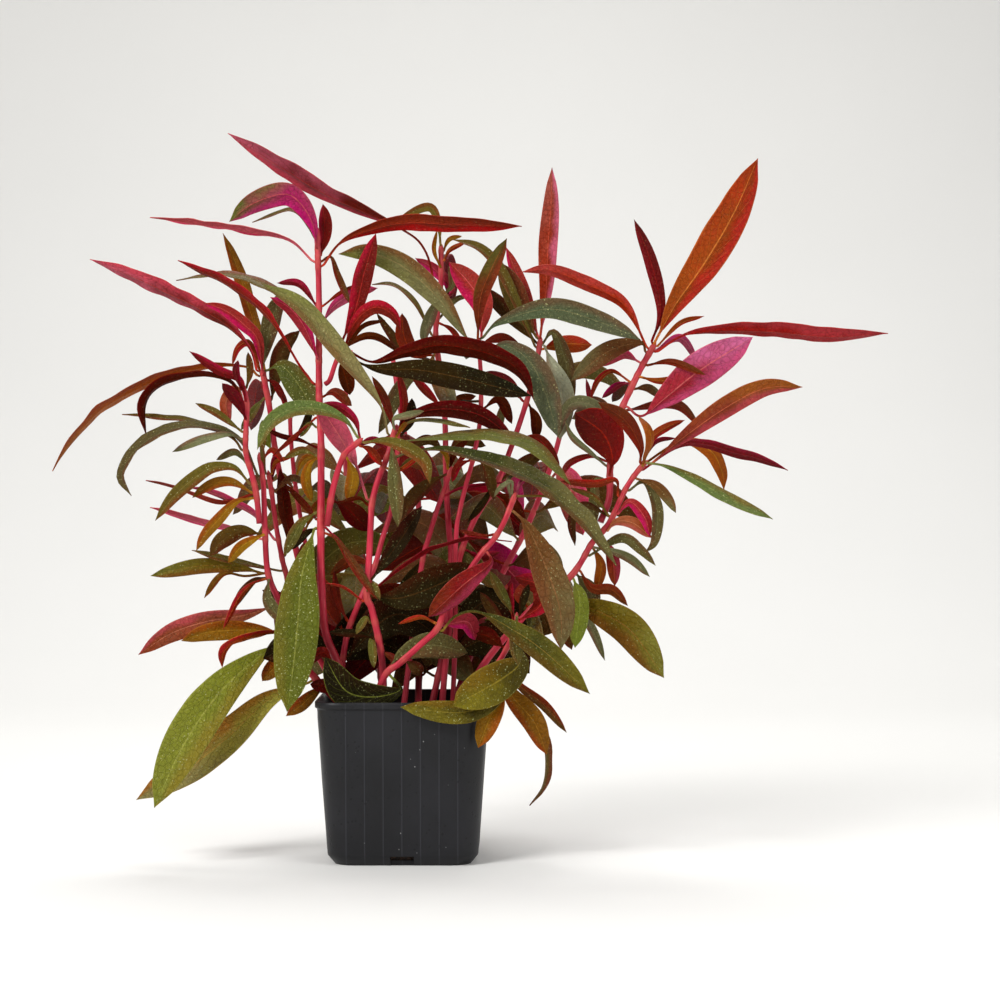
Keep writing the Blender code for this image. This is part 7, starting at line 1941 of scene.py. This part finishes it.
def medium_block():
    """A closed block whose top is a grid."""
    half = pot_half(MEDIUM_TOP) - POT_WALL - TOUCH_GAP - WALL_ROOM
    foot = pot_half(0) - FOOT_BEVEL_DEPTH - POT_WALL - TOUCH_GAP
    steps = [2 * i / GRID_STEPS - 1 for i in range(GRID_STEPS + 1)]
    top, bottom = [], []
    for x in steps:
        for y in steps:
            bend = 1 - CORNER_DRAW * past(x, CORNER_START) * past(y, CORNER_START)
            across, back = x * half * bend, y * half * bend
            shoulder = past(max(abs(x), abs(y)), SHOULDER_START) * SHOULDER_DROP
            top.append((across, back, MEDIUM_TOP - lump(across, back) - shoulder))
            bottom.append((x * foot * bend, y * foot * bend, POT_FLOOR + TOUCH_GAP))
    return np.array(top + bottom)


dice = random.Random(CRUMB_SEED)
shell = Shell()
faces, flat = sheet_faces(GRID_STEPS, GRID_STEPS)
shell.add(medium_block(), [face[::-1] for face in faces], flat)
for _ in range(CRUMBS):
    bm = crumb(dice)
    corners, faces = bmesh_arrays(bm)
    bm.free()
    shell.add(corners, faces, [False] * len(faces))
shell.build("growing_medium_crumbs", medium_material(), "medium", "growing_medium")
print("crumbs", CRUMBS)

# %% [markdown]
# ## Floor, light and camera
# A pale floor curves up into a backdrop. Three soft lamps light the plant, and the camera stands
# where the eye of the view is.

# %% Floor and backdrop
PAPER, PAPER_PALE, PAPER_ROUGHNESS = (226, 225, 222), (232, 231, 228), 0.9
FLOOR_HALF, FLOOR_FRONT, WALL_BACK, WALL_TOP = 3.0, -3.0, 1.6, 3.0
BEND_RADIUS, BEND_START, BEND_STEPS = 0.8, 0.1, 16


def stage_material():
    graph = Graph("stage_paper")
    colour = graph.mix(graph.noise(3, 2), paint(*PAPER), paint(*PAPER_PALE))
    return graph.finish(graph.surface(Base_Color=colour, Roughness=PAPER_ROUGHNESS))


def backdrop():
    """A floor that turns up into a wall in a wide curve."""
    bend_at = WALL_BACK - BEND_RADIUS
    profile = [(FLOOR_FRONT, 0.0), (bend_at, 0.0)]
    profile += [(bend_at + BEND_RADIUS * math.sin(angle), BEND_RADIUS - BEND_RADIUS * math.cos(angle))
                for angle in np.linspace(BEND_START, math.pi / 2, BEND_STEPS)]
    profile.append((WALL_BACK, WALL_TOP))
    corners = [(x, y, z) for y, z in profile for x in (-FLOOR_HALF, FLOOR_HALF)]
    faces = [[2 * i, 2 * i + 1, 2 * i + 3, 2 * i + 2] for i in range(len(profile) - 1)]
    mesh = bpy.data.meshes.new("stage")
    mesh.from_pydata(corners, [], faces)
    mesh.polygons.foreach_set("use_smooth", [True] * len(faces))
    mesh.materials.append(stage_material())
    made = bpy.data.objects.new("stage", mesh)
    bpy.context.scene.collection.objects.link(made)


backdrop()
print("stage ready")

# %% Lamps
WHITE = (1, 1, 1, 1)
WORLD_LIGHT = 0.35
LAMP_AIM = Vector((0.02, 0, 0.2))
# Each lamp: where it is and how wide in metres, and its power in watts
LAMPS = {
    "key_left": ((-0.9, -1.0, 1.1), 0.6, 22),
    "fill_right": ((1.2, -0.9, 0.7), 0.9, 9),
    "top_back": ((0.1, 0.7, 1.5), 0.7, 16),
}


def lamp(name, place, width, power):
    """A square soft lamp that looks at the middle of the plant."""
    light = bpy.data.lights.new(name, "AREA")
    light.size, light.energy = width, power
    made = bpy.data.objects.new(name, light)
    made.location = place
    aim = LAMP_AIM - Vector(place)
    made.rotation_euler = aim.to_track_quat("-Z", "Y").to_euler()
    bpy.context.scene.collection.objects.link(made)


for name, setting in LAMPS.items():
    lamp(name, *setting)
world = bpy.data.worlds.new("studio")
bpy.context.scene.world = world
world.use_nodes = True
world.node_tree.nodes["Background"].inputs["Color"].default_value = WHITE
world.node_tree.nodes["Background"].inputs["Strength"].default_value = WORLD_LIGHT
# The usual view transform greys the reds and pinks of the leaves
bpy.context.scene.view_settings.view_transform = "Standard"
print("lamps", len(LAMPS))

# %% Camera
SENSOR = 36
view = bpy.data.cameras.new("camera")
view.sensor_width = SENSOR
view.lens = PIXELS_PER_METRE * -EYE.y / (2 * VIEW_MIDDLE) * SENSOR
camera = bpy.data.objects.new("camera", view)
camera.location = EYE
camera.rotation_euler = (math.pi / 2, 0, 0)
bpy.context.scene.collection.objects.link(camera)
bpy.context.scene.camera = camera
print("lens in mm", round(view.lens, 1))
